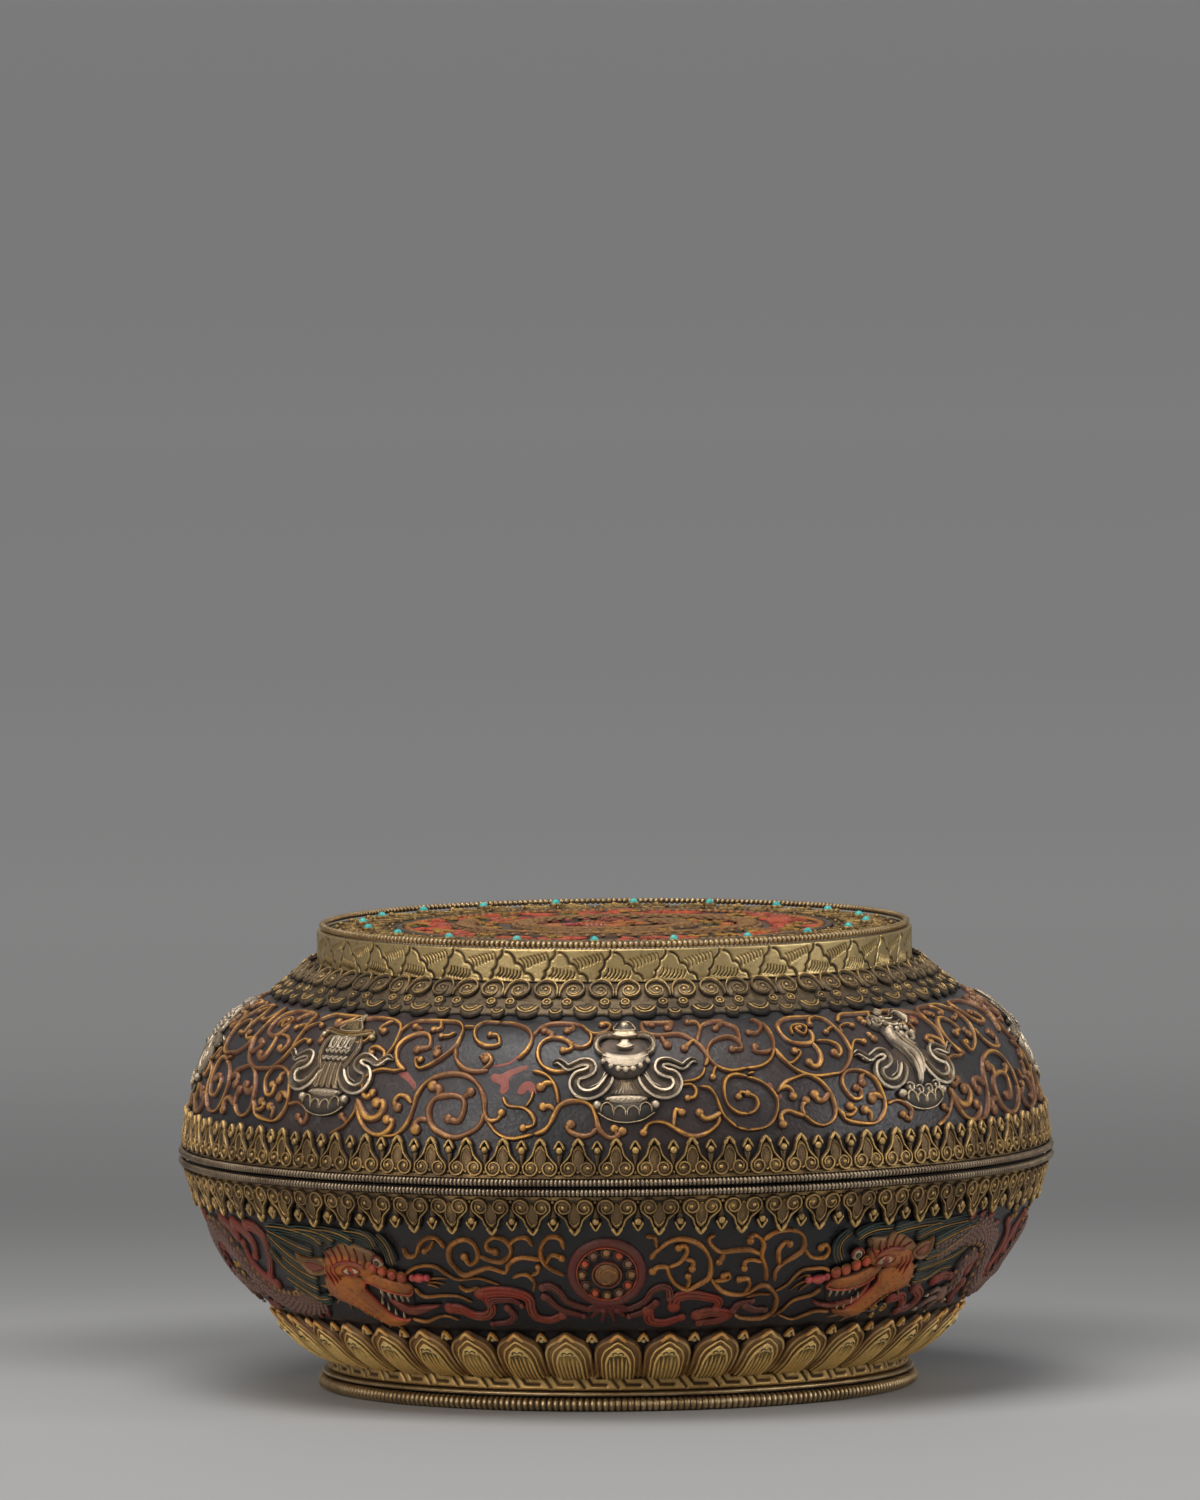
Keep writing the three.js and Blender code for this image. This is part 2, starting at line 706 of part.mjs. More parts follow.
function stone(index) {
  const foot = plateFoot + plateThickness + colletHeight + seatGap;
  const place = stonePlace(index);
  return turned([
    point(0, foot),
    point(stoneRadius, foot),
    point(stoneRadius * stoneTaper, foot + stoneHeight * stoneTaper),
    point(0, foot + stoneHeight),
  ], stoneSides).translate(place.x, place.y, 0);
}

addPiece('medallion', medallion(), enamel);
addPiece('jewel_plate', jewelPlate(), gilt);
for (let index = 0; index < stoneCount; index += 1) {
  addPiece(`stone_${String(index + 1).padStart(2, '0')}`, stone(index), turquoise);
}

// Emblems, drawn flat on squared paper from their centres

const onBothSides = (draw) => [draw(1), draw(-1)];

const ribbonLine = [[0.6, -4.4], [6.6, -7.0], [10.4, -6.4], [11.2, -3.2], [9.4, -1.0], [16.0, 0.6]];
const handleLine = [[2.6, 8.0], [6.6, 6.8], [4.8, 2.0]];

const ribbons = () => onBothSides((side) => strip(ribbonLine.map(([x, y]) => [side * x, y]), ribbonWidth));
const cushion = () => twoSided([[0, -8.4], [5.0, -8.6], [6.6, -9.4], [6.4, -11.0], [4.4, -12.9], [0, -13.7]]);

function vase() {
  const body = twoSided([
    [0, 13.0], [1.9, 12.0], [2.4, 9.6], [3.2, 9.0], [3.2, 7.4], [1.5, 6.9], [1.5, 4.8], [4.6, 3.0],
    [5.6, 1.2], [5.0, -1.2], [3.0, -3.0], [1.7, -3.6], [3.3, -7.2], [4.9, -7.6], [4.9, -9.2], [0, -9.2],
  ]);
  return [body, ...onBothSides((side) => strip(handleLine.map(([x, y]) => [side * x, y]), handleWidth))];
}

function conch() {
  const spire = outline([[-5.4, 4.6], [1.0, 8.6], [-1.2, 11.8], [-3.6, 12.9], [-4.6, 10.4]]);
  const body = ellipse(-0.6, 3.4, 5.4, 5.9, 20);
  const mouth = ellipse(3.4, -2.4, 3.0, 6.6, 28);
  return [spire, body, mouth, ellipse(0, -6.6, 3.4, 3.0)];
}

function lotusFlower() {
  const petals = [-62, -31, 0, 31, 62].map((tilt) => {
    const turn = THREE.MathUtils.degToRad(tilt);
    const along = 4.8;
    return ellipse(-along * Math.sin(turn), along * Math.cos(turn), 3.0, 6.4, tilt);
  });
  return [...petals, ellipse(0, -1.2, 5.4, 3.4), ellipse(0, -6.4, 2.0, 4.4)];
}

function dharmaWheel() {
  const centre = 4.2;
  const tyre = ellipse(0, centre, 8.2, 8.2);
  tyre.holes.push(ellipse(0, centre, 6.6, 6.6));
  const spokes = [0, 45, 90, 135].map((turn) => {
    const angle = THREE.MathUtils.degToRad(turn);
    const x = 7.4 * Math.cos(angle);
    const y = 7.4 * Math.sin(angle);
    return strip([[-x, centre - y], [x, centre + y]], handleWidth);
  });
  const stem = twoSided([[0, -2.0], [2.6, -3.4], [1.6, -6.0], [4.4, -9.2], [0, -9.2]]);
  return [tyre, ...spokes, ellipse(0, centre, 2.4, 2.4), stem];
}

function endlessKnot() {
  const centre = 3.4;
  const reach = 8.8;
  const bars = [-3.4, 0, 3.4].flatMap((aside) => onBothSides((side) => {
    const along = reach - Math.abs(aside);
    return strip([
      [side * (aside - along), centre + aside + along],
      [side * (aside + along), centre + aside - along],
    ], ribbonWidth);
  }));
  const loops = onBothSides((side) => ellipse(side * 7.4, centre, 1.9, 2.2));
  const stem = twoSided([[0, -2.0], [1.6, -4.4], [1.4, -7.0], [4.4, -9.2], [0, -9.2]]);
  return [...bars, ...loops, stem];
}

function parasol() {
  return [twoSided([
    [0, 13.0], [1.0, 12.2], [1.2, 10.8], [5.0, 8.8], [7.2, 5.6], [7.6, 2.6], [6.2, 1.2], [4.8, 2.6],
    [3.4, 1.2], [2.0, 2.6], [0.8, 2.2], [0.8, -7.6], [3.6, -9.2], [0, -9.2],
  ])];
}

function goldenFish() {
  const fish = onBothSides((side) => ellipse(side * 3.3, 1.8, 2.6, 7.2, side * 12));
  const tails = onBothSides((side) => outline([[side * 1.6, 6.4], [side * 0.4, 12.6], [side * 4.6, 10.8]]));
  return [...fish, ...tails, ellipse(0, -6.8, 3.6, 3.4)];
}

function victoryBanner() {
  return [twoSided([
    [0, 13.0], [1.2, 12.2], [1.6, 10.6], [4.4, 9.6], [3.7, 8.0], [5.0, 4.8], [4.2, 4.4], [5.4, 1.2],
    [4.5, 0.8], [5.8, -2.6], [3.6, -3.4], [1.4, -3.6], [1.4, -7.6], [3.6, -9.2], [0, -9.2],
  ])];
}

const emblems = {
  vase,
  conch,
  lotus: lotusFlower,
  wheel: dharmaWheel,
  endless_knot: endlessKnot,
  parasol,
  golden_fish: goldenFish,
  victory_banner: victoryBanner,
};

const wallLength = lidWall.getLength();
const emblemShare = emblemRise / wallLength;
const layerFoot = (emblemRise - emblemDrop) / wallLength;
const underRuyi = wallLength - ruyiDropHang - seatGap;
const layerHead = Math.min(emblemRise + emblemReach, underRuyi) / wallLength;
const layerShares = range(layerFoot, layerHead, layerSteps);
const emblemLayer = toSolid(turned([
  ...layerShares.map((share) => offWall(lidWall, share, seatGap)),
  ...layerShares.map((share) => offWall(lidWall, share, seatGap + emblemRelief)).reverse(),
]));

// Stands a flat drawing against the front of the lid and keeps what lies in the emblems' layer
function onLid(shapes, turn) {
  const place = lidWall.getPointAt(emblemShare);
  const along = lidWall.getTangentAt(emblemShare);
  const frame = new THREE.Matrix4().makeBasis(
    new THREE.Vector3(1, 0, 0),
    new THREE.Vector3(0, -along.x, along.y),
    new THREE.Vector3(0, -along.y, -along.x),
  ).setPosition(0, -place.x, place.y);
  const blocks = shapes.map((shape) => {
    const block = new THREE.ExtrudeGeometry(shape, { depth: emblemBlockDepth, bevelEnabled: false });
    block.scale(emblemSquare, emblemSquare, 1).translate(0, 0, -emblemBlockDepth / 2);
    return block.applyMatrix4(frame).rotateZ(turn);
  });
  return toGeometry(joined(blocks).intersect(emblemLayer));
}

Object.entries(emblems).forEach(([name, draw], index, all) => {
  const turn = (2 * Math.PI * index) / all.length + THREE.MathUtils.degToRad(emblemTurn);
  addPiece(`emblem_${name}`, onLid([...draw(), cushion(), ...ribbons()], turn), silver);
});

export default box;
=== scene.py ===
# Round lidded treasure box: dark lacquer over turned wood, gilt relief rings, beaded wires,
# an engraved brass band, eight silver emblems, dragons round the bowl and a jewelled top.
import math
import random

import bpy
import numpy as np
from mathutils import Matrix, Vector


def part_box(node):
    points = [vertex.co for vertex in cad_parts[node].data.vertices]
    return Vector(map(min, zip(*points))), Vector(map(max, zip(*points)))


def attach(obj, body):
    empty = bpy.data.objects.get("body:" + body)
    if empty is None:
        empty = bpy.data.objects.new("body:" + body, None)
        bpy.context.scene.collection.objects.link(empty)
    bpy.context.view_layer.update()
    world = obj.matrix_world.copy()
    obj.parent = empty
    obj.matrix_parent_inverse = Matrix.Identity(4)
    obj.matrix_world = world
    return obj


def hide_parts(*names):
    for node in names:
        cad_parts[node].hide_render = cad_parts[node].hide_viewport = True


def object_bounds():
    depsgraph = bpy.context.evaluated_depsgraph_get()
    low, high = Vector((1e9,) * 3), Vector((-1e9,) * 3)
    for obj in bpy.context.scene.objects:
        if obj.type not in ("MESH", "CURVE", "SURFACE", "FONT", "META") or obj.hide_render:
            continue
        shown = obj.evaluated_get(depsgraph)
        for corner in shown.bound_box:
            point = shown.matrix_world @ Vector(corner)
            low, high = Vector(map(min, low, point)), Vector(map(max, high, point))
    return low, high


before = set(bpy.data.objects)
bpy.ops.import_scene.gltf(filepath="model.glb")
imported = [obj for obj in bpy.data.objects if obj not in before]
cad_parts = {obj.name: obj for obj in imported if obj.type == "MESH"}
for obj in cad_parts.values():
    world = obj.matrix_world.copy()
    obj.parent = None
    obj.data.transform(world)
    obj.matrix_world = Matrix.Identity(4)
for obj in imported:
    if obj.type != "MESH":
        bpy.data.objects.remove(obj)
cadBounds = [list(corner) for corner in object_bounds()]
random.seed(7)
mm = 0.001


def report(stage):
    print("treasure box:", stage)


# Colours and nodes
def tone(red, green, blue):
    # screen colour 0-255 to the linear value that the shader wants
    return tuple((v / 255 / 12.92) if v <= 10 else ((v / 255 + 0.055) / 1.055) ** 2.4
                 for v in (red, green, blue))


def addNode(tree, kind, inputs=None, **settings):
    new = tree.nodes.new(kind)
    for key, value in settings.items():
        setattr(new, key, value)
    for key, value in (inputs or {}).items():
        if isinstance(value, bpy.types.NodeSocket):
            tree.links.new(value, new.inputs[key])
        else:
            socket = new.inputs[key]
            wide = isinstance(value, tuple) and len(value) == 3 and len(socket.default_value) == 4
            socket.default_value = (*value, 1.0) if wide else value
    return new


def blend(tree, share, first, second, mode="MIX"):
    mixed = addNode(tree, "ShaderNodeMix", data_type="RGBA", blend_type=mode)
    for place, value in ((0, share), (6, first), (7, second)):
        if isinstance(value, bpy.types.NodeSocket):
            tree.links.new(value, mixed.inputs[place])
        else:
            mixed.inputs[place].default_value = (*value, 1.0) if isinstance(value, tuple) else value
    return mixed.outputs[2]


def between(tree, value, low, high, start=0.0, end=1.0):
    # a value from low..high spread over start..end, smoothly
    limits = {"Value": value, "From Min": low, "From Max": high, "To Min": start, "To Max": end}
    return addNode(tree, "ShaderNodeMapRange", limits, interpolation_type="SMOOTHSTEP").outputs[0]


def times(tree, first, second, operation="MULTIPLY"):
    return addNode(tree, "ShaderNodeMath", {0: first, 1: second}, operation=operation).outputs[0]


def newGroup(name, inputs, outputs):
    group = bpy.data.node_groups.new(name, "ShaderNodeTree")
    for label, kind, value in inputs:
        socket = group.interface.new_socket(label, in_out="INPUT", socket_type=kind)
        socket.default_value = value
    for label, kind in outputs:
        group.interface.new_socket(label, in_out="OUTPUT", socket_type=kind)
    return group, group.nodes.new("NodeGroupInput").outputs, group.nodes.new("NodeGroupOutput").inputs


def useGroup(tree, group, inputs):
    placed = addNode(tree, "ShaderNodeGroup", node_tree=group)
    for key, value in inputs.items():
        if isinstance(value, bpy.types.NodeSocket):
            tree.links.new(value, placed.inputs[key])
        else:
            placed.inputs[key].default_value = value
    return placed.outputs


def objectPlace(tree):
    return addNode(tree, "ShaderNodeTexCoord").outputs["Object"]


def mottleGroup():
    # soft clouds, small spots and a fine grain, at one scale
    group, given, result = newGroup(
        "mottle",
        [("Scale", "NodeSocketFloat", 60.0), ("Contrast", "NodeSocketFloat", 0.2)],
        [("Cloud", "NodeSocketFloat"), ("Spots", "NodeSocketFloat"), ("Grain", "NodeSocketFloat")],
    )
    place = objectPlace(group)

    def noise(scale, detail, roughness):
        look = {"Vector": place, "Scale": scale, "Detail": detail, "Roughness": roughness}
        return addNode(group, "ShaderNodeTexNoise", look).outputs[0]

    low = times(group, 0.5, given["Contrast"], "SUBTRACT")
    high = times(group, 0.5, given["Contrast"], "ADD")
    wide = noise(given["Scale"], 5.0, 0.6)
    finer = noise(times(group, given["Scale"], 7.0), 4.0, 0.65)
    group.links.new(between(group, wide, low, high), result["Cloud"])
    group.links.new(between(group, finer, 0.56, 0.68), result["Spots"])
    group.links.new(noise(times(group, given["Scale"], 28.0), 3.0, 0.7), result["Grain"])
    return group


def wearGroup():
    # old dirt and painted shade low in a relief, rubbed bare metal and painted highlight on its highest
    # places
    group, given, result = newGroup(
        "wear",
        [("Rise", "NodeSocketFloat", 0.5), ("Cloud", "NodeSocketFloat", 0.5),
         ("Grain", "NodeSocketFloat", 0.5)],
        [("Dirt", "NodeSocketFloat"), ("BareAndHighlight", "NodeSocketFloat")],
    )
    uneven = times(group, times(group, given["Cloud"], 0.34), times(group, given["Grain"], 0.3), "ADD")
    shifted = times(group, given["Rise"], times(group, uneven, 0.32, "SUBTRACT"), "ADD")
    group.links.new(between(group, shifted, 0.55, 0.05), result["Dirt"])
    group.links.new(between(group, shifted, 0.62, 1.02), result["BareAndHighlight"])
    return group


mottle = mottleGroup()
wear = wearGroup()


def startMaterial(name):
    material = bpy.data.materials.new(name)
    material.use_nodes = True
    shader = material.node_tree.nodes["Principled BSDF"]
    return material, material.node_tree, shader


def connect(tree, shader, **sockets):
    for label, value in sockets.items():
        socket = shader.inputs[label.replace("_", " ")]
        if isinstance(value, bpy.types.NodeSocket):
            tree.links.new(value, socket)
        else:
            socket.default_value = value


def bumped(tree, height, distance, strength=1.0):
    return addNode(tree, "ShaderNodeBump", {"Height": height, "Distance": distance,
                                            "Strength": strength}).outputs[0]


# Materials
def rubbedMaterial(name, look):
    # relief with dirt and painted shade in its recesses and rubbed metal and painted highlight on top; its
    # own colour may come from its paint
    material, tree, shader = startMaterial(name)
    cloudy = useGroup(tree, mottle, {"Scale": look["scale"], "Contrast": look["contrast"]})
    rise = addNode(tree, "ShaderNodeAttribute", attribute_name="rise").outputs["Fac"]
    marked = useGroup(tree, wear, {"Rise": rise, "Cloud": cloudy["Cloud"], "Grain": cloudy["Grain"]})
    body = look["body"]
    metal = look["metal"]
    if body is None:
        paint = addNode(tree, "ShaderNodeAttribute", attribute_name="paint")
        body = paint.outputs["Color"]
        metal = paint.outputs["Alpha"]
    faded = blend(tree, times(tree, cloudy["Cloud"], look["fade"]), body, look["faded"])
    kept = between(tree, cloudy["Cloud"], 0.1, 0.9, look["bare"], look["bare"] * (1.0 - look["patchy"]))
    # rubbed metal and painted highlight brighten the tops
    bared = blend(tree, times(tree, marked["BareAndHighlight"], kept), faded, look["top"])
    # dirt and painted shade darken the recesses
    colour = blend(tree, times(tree, marked["Dirt"], look["dirt"]), bared, look["recess"])
    spotted = blend(tree, times(tree, cloudy["Spots"], look["spots"]), colour, look["recess"])
    # less metal where the dirt and painted shade lie
    freeOfDirtAndShade = times(tree, 1.0, times(tree, marked["Dirt"], 0.8), "SUBTRACT")
    connect(
        tree, shader, Base_Color=spotted, Metallic=times(tree, freeOfDirtAndShade, metal),
        Roughness=between(tree, times(tree, cloudy["Grain"], marked["Dirt"], "ADD"), 0.3, 1.4, *look["rough"]),
        Normal=bumped(tree, times(tree, cloudy["Grain"], times(tree, cloudy["Cloud"], 0.6), "ADD"),
                      look["bump"] * mm),
    )
    return material


# recess: colour of the dirt and painted shade low in a relief; top: colour of the rubbed metal and painted
# highlight on its tops
giltLook = {
    "body": tone(118, 94, 64), "faded": tone(84, 67, 50), "top": tone(232, 190, 118),
    "recess": tone(22, 18, 15),
    "metal": 0.7, "fade": 0.7, "bare": 0.72, "dirt": 0.97, "spots": 0.5, "rough": (0.34, 0.72),
    "scale": 110.0,
    "contrast": 0.16, "bump": 0.12, "patchy": 0.2,
}
rubbedLooks = {
    "giltRelief": giltLook,
    "oldGilt": dict(giltLook, body=tone(124, 104, 76), faded=tone(98, 84, 68), top=tone(242, 200, 126),
                    bare=0.78),
    "oldBrass": dict(giltLook, body=tone(192, 162, 106), faded=tone(160, 132, 86),
                     top=tone(234, 208, 150), recess=tone(50, 38, 24), metal=0.92, spots=0.3,
                     rough=(0.3, 0.58), bare=0.6, bump=0.08),
    "keyBrass": dict(giltLook, body=tone(178, 142, 84), faded=tone(142, 110, 62),
                     top=tone(226, 188, 124), recess=tone(60, 40, 20), metal=0.85, spots=0.4,
                     rough=(0.34, 0.62), bare=0.6, bump=0.1),
    "beadedWire": dict(giltLook, body=tone(118, 98, 78), faded=tone(86, 68, 54),
                       top=tone(206, 188, 158), recess=tone(34, 26, 21), metal=0.9, spots=0.3,
                       rough=(0.3, 0.6), scale=90.0),
    "footWire": dict(giltLook, body=tone(156, 128, 90), faded=tone(116, 90, 62),
                     top=tone(232, 206, 158), recess=tone(44, 31, 20), metal=0.9, spots=0.3,
                     rough=(0.3, 0.6), scale=90.0),
    "chasedSilver": dict(giltLook, body=None, faded=tone(112, 94, 78), top=tone(238, 216, 184), fade=0.5,
                         bare=0.85, recess=tone(34, 27, 23), spots=0.3, rough=(0.27, 0.58), scale=140.0),
    "paintedRelief": dict(giltLook, body=None, faded=tone(66, 44, 34), fade=0.5, contrast=0.12,
                          top=tone(222, 158, 96), bare=0.3, patchy=0.8, spots=0.45, dirt=0.88,
                          recess=tone(20, 16, 15), rough=(0.38, 0.72), scale=120.0),
    "wornGold": dict(giltLook, body=None, faded=tone(112, 72, 58), fade=0.85, top=tone(250, 184, 84),
                     bare=0.85, patchy=0.85, dirt=0.9, recess=tone(40, 25, 20), spots=0.35,
                     rough=(0.32, 0.66), scale=62.0, contrast=0.1),
    "darkPetals": dict(giltLook, body=None, faded=tone(128, 96, 54), fade=0.4, top=tone(255, 222, 148),
                       bare=0.75, dirt=0.85, spots=0.3, recess=tone(36, 26, 17)),
    "topFiligree": dict(giltLook, body=tone(134, 106, 66), faded=tone(90, 72, 50),
                        top=tone(226, 186, 112), metal=0.85, spots=0.35),
}
materials = {name: rubbedMaterial(name, look) for name, look in rubbedLooks.items()}


def lacquerMaterial():
    look = {"dark": tone(40, 39, 41), "black": tone(13, 12, 12), "brown": tone(66, 43, 35),
            "dust": tone(104, 101, 101), "scale": 42.0, "rim": 0.054, "edge": 0.004}
    material, tree, shader = startMaterial("darkLacquer")
    cloudy = useGroup(tree, mottle, {"Scale": look["scale"], "Contrast": 0.14})
    broad = useGroup(tree, mottle, {"Scale": look["scale"] * 0.6, "Contrast": 0.07})
    place = objectPlace(tree)
    height = addNode(tree, "ShaderNodeSeparateXYZ", {0: place}).outputs["Z"]
    low, high = look["rim"] - look["edge"], look["rim"]
    ground = blend(tree, between(tree, height, low, high), look["black"], look["dark"])
    upper = between(tree, height, low, high, 0.12, 0.4)
    stained = blend(tree, times(tree, broad["Cloud"], upper), ground, look["brown"])
    # grey dust with a painted sheen, laid on the lid above the rim height
    dusty = times(tree, times(tree, cloudy["Cloud"], 0.34),
                  times(tree, cloudy["Grain"], cloudy["Spots"], "ADD"))
    dustAndSheenOnLid = times(tree, dusty, between(tree, height, low, high, 0.1, 1.0))
    colour = blend(tree, dustAndSheenOnLid, stained, look["dust"])
    pebble = addNode(tree, "ShaderNodeTexVoronoi", {"Vector": place, "Scale": 900.0}, feature="SMOOTH_F1")
    relief = times(tree, times(tree, cloudy["Grain"], 0.8), times(tree, pebble.outputs[0], 0.35), "ADD")
    connect(
        tree, shader, Base_Color=colour, Roughness=between(tree, cloudy["Grain"], 0.3, 0.7, 0.3, 0.52),
        Normal=bumped(tree, relief, 0.16 * mm),
    )
    shader.inputs["Specular IOR Level"].default_value = 0.48
    return material


def liningMaterial():
    material, tree, shader = startMaterial("redLining")
    cloudy = useGroup(tree, mottle, {"Scale": 60.0, "Contrast": 0.2})
    place = objectPlace(tree)
    weave = addNode(tree, "ShaderNodeTexVoronoi", {"Vector": place, "Scale": 1400.0})
    colour = blend(tree, times(tree, cloudy["Cloud"], 0.6), tone(128, 40, 32), tone(92, 30, 26))
    marked = blend(tree, times(tree, cloudy["Spots"], 0.4), colour, tone(60, 26, 24))
    connect(tree, shader, Base_Color=marked, Roughness=0.85,
            Normal=bumped(tree, times(tree, weave.outputs[0], cloudy["Grain"], "ADD"), 0.15 * mm))
    shader.inputs["Sheen Weight"].default_value = 0.25
    return material


def turquoiseMaterial():
    material, tree, shader = startMaterial("turquoiseStone")
    cloudy = useGroup(tree, mottle, {"Scale": 420.0, "Contrast": 0.2})
    place = objectPlace(tree)
    veins = addNode(tree, "ShaderNodeTexVoronoi", {"Vector": place, "Scale": 900.0},
                    feature="DISTANCE_TO_EDGE")
    colour = blend(tree, cloudy["Cloud"], tone(38, 168, 168), tone(96, 204, 192))
    veined = blend(tree, between(tree, veins.outputs[0], 0.05, 0.0, 0.0, 0.7), colour, tone(44, 58, 50))
    connect(tree, shader, Base_Color=veined, Roughness=between(tree, cloudy["Grain"], 0.3, 0.7, 0.15, 0.35),
            Normal=bumped(tree, cloudy["Grain"], 0.03 * mm))
    return material


materials["darkLacquer"] = lacquerMaterial()
materials["redLining"] = liningMaterial()
materials["turquoiseStone"] = turquoiseMaterial()
report("materials")


# Walls of revolution, in mm: length along the wall, radius, height and the way out
def wallAlong(points):
    line = np.array(points, float)
    way = np.gradient(line, axis=0)
    way /= np.linalg.norm(way, axis=1)[:, None]
    steps = np.linalg.norm(np.diff(line, axis=0), axis=1)
    return {"length": np.concatenate([[0], np.cumsum(steps)]), "radius": line[:, 0], "height": line[:, 1],
            "outward": way[:, 1], "upward": -way[:, 0]}


def bezierPoints(corners, steps=400):
    share = np.linspace(0, 1, steps + 1)[:, None]
    level = [np.array(corner, float) + 0 * share for corner in corners]
    while len(level) > 1:
        level = [first * (1 - share) + second * share for first, second in zip(level, level[1:])]
    return level[0]


def turnedBy(angle, x, y):
    return x * math.cos(angle) - y * math.sin(angle), x * math.sin(angle) + y * math.cos(angle)


def offWall(wall, lengths, out):
    radius, height, outward, upward = (np.interp(lengths, wall["length"], wall[key])
                                       for key in ("radius", "height", "outward", "upward"))
    return radius + outward * out, height + upward * out


def onWall(flat, wall, reach, turn=0.0):
    # x round the wall measured at the radius reach, y along it, z off it
    angle = flat[:, 0] / reach + math.radians(turn)
    radius, height = offWall(wall, flat[:, 1], flat[:, 2])
    return np.column_stack([radius * np.sin(angle), -radius * np.cos(angle), height]) * mm


def bentOn(wall, reach, move=(0, 0, 0), turn=0.0, size=1):
    # the way to place a drawing that is sized, moved and then bent onto a wall
    return lambda flat: onWall(flat * size + move, wall, reach, turn)


def edges(node):
    low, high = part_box(node)
    return {"radius": high.x / mm, "low": low.z / mm, "high": high.z / mm}


seat = 0.3  # gap that touching pieces keep
bowlBox, lidBox = edges("base_shell"), edges("lid_shell")
bandBox, footBox = edges("top_band"), edges("foot_band")
rim = lidBox["radius"]
deck = bandBox["low"] - seat
deckEdge = bandBox["radius"] + seat
crease = {"radius": deckEdge + 9.6, "height": deck - 7.6}
ledge = footBox["high"] + seat
footRadius = footBox["radius"] - 1.2
lidWall = wallAlong(bezierPoints([
    (rim, lidBox["low"]), (rim - 1.0, lidBox["low"] + 18.9),
    (crease["radius"] + 12.6, crease["height"] - 3.0), (crease["radius"], crease["height"]),
]))
bowlWall = wallAlong(bezierPoints([
    (footRadius + 14.4, ledge + 10.5), (footRadius + 22.4, ledge + 16.7),
    (rim - 3.6, bowlBox["high"] - 15.5), (rim, bowlBox["high"]),
]))
lotusWall = wallAlong(bezierPoints([
    (footRadius + 1.4, ledge), (footRadius + 7.9, ledge + 2.4), (footRadius + 13.0, ledge + 10.0),
]))
# the petals' tips reach over the groove onto the foot of the bowl's wall
petalWall = wallAlong(bezierPoints([
    (footRadius + 1.4, ledge), (footRadius + 7.9, ledge + 2.4), (footRadius + 13.6, ledge + 10.9),
]))
lidLength, bowlLength = lidWall["length"][-1], bowlWall["length"][-1]
lidReach, bowlReach = 95.0, 94.0  # radii at which x is measured on the two walls


# Turned pieces
def alone(obj):
    bpy.ops.object.select_all(action="DESELECT")
    obj.select_set(True)
    bpy.context.view_layer.objects.active = obj


def newObject(name, spots, lines=(), faces=()):
    mesh = bpy.data.meshes.new(name)
    mesh.from_pydata(spots, lines, faces)
    obj = bpy.data.objects.new(name, mesh)
    bpy.context.collection.objects.link(obj)
    return obj


def settle(obj, material, body, nodes=(), angle=40):
    alone(obj)
    obj.data.materials.clear()
    obj.data.materials.append(materials[material])
    bpy.ops.object.shade_smooth_by_angle(angle=math.radians(angle))
    if nodes:
        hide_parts(*nodes)
    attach(obj, body)
    return obj


def turnedPiece(name, outline, steps=256, closed=True, sectors=1):
    # an outline of (radius, height) in mm, spun round the box's axis, whole or as sectors laid end to end
    spots = [(radius * mm, 0.0, height * mm) for radius, height in outline]
    lines = [(i, i + 1) for i in range(len(spots) - 1)]
    obj = newObject(name, spots, lines + ([(len(spots) - 1, 0)] if closed else []))
    alone(obj)
    bpy.ops.object.mode_set(mode="EDIT")
    bpy.ops.mesh.select_all(action="SELECT")
    sector = 2 * math.pi / sectors
    bpy.ops.mesh.spin(steps=steps // sectors, angle=sector, center=(0, 0, 0), axis=(0, 0, 1))
    bpy.ops.mesh.select_all(action="SELECT")
    if sectors > 1:
        bpy.ops.mesh.spin(steps=sectors - 1, dupli=True, angle=sector * (sectors - 1), center=(0, 0, 0),
                          axis=(0, 0, 1))
        bpy.ops.mesh.select_all(action="SELECT")
    bpy.ops.mesh.remove_doubles(threshold=0.00001)
    bpy.ops.mesh.normals_make_consistent(inside=False)
    bpy.ops.object.mode_set(mode="OBJECT")
    return obj


def skin(wall, steps, out=0.0):
    # a whole wall as an outline, from its start to its end, moved off it by out
    return list(zip(*offWall(wall, np.linspace(0, wall["length"][-1], steps + 1), out)))


def belowHeight(points, height):
    return [spot for spot in points if spot[1] <= height]


def aboveHeight(points, height):
    return [spot for spot in points if spot[1] >= height]


shells = {"wall": 3.0, "lining": 0.8, "steps": 44, "lip": edges("lip_ring"), "lipWidth": 1.0, "slide": 0.6,
          "drumInset": 2.1, "floor": 2.5, "hollow": 1.6}


def bowlShell():
    lip = shells["lip"]
    foot, hollow, floor = footRadius, shells["hollow"], ledge + shells["floor"]
    outside = [(0, hollow), (foot - 8.1, hollow), (foot - 6.5, 0), (foot, 0), (foot, ledge)]
    outside += skin(lotusWall, 14) + skin(bowlWall, shells["steps"])
    outside += [(lip["radius"] + seat, bowlBox["high"]), (lip["radius"] + seat, lip["low"] - seat)]
    inside = belowHeight(skin(bowlWall, shells["steps"], -shells["wall"]), lip["low"] - seat)
    inside = [(0, floor), (foot + 0.4, floor)] + inside
    shell = turnedPiece("bowl_wood", outside + inside[::-1], closed=False)
    settle(shell, "darkLacquer", "base", ["base_shell"])


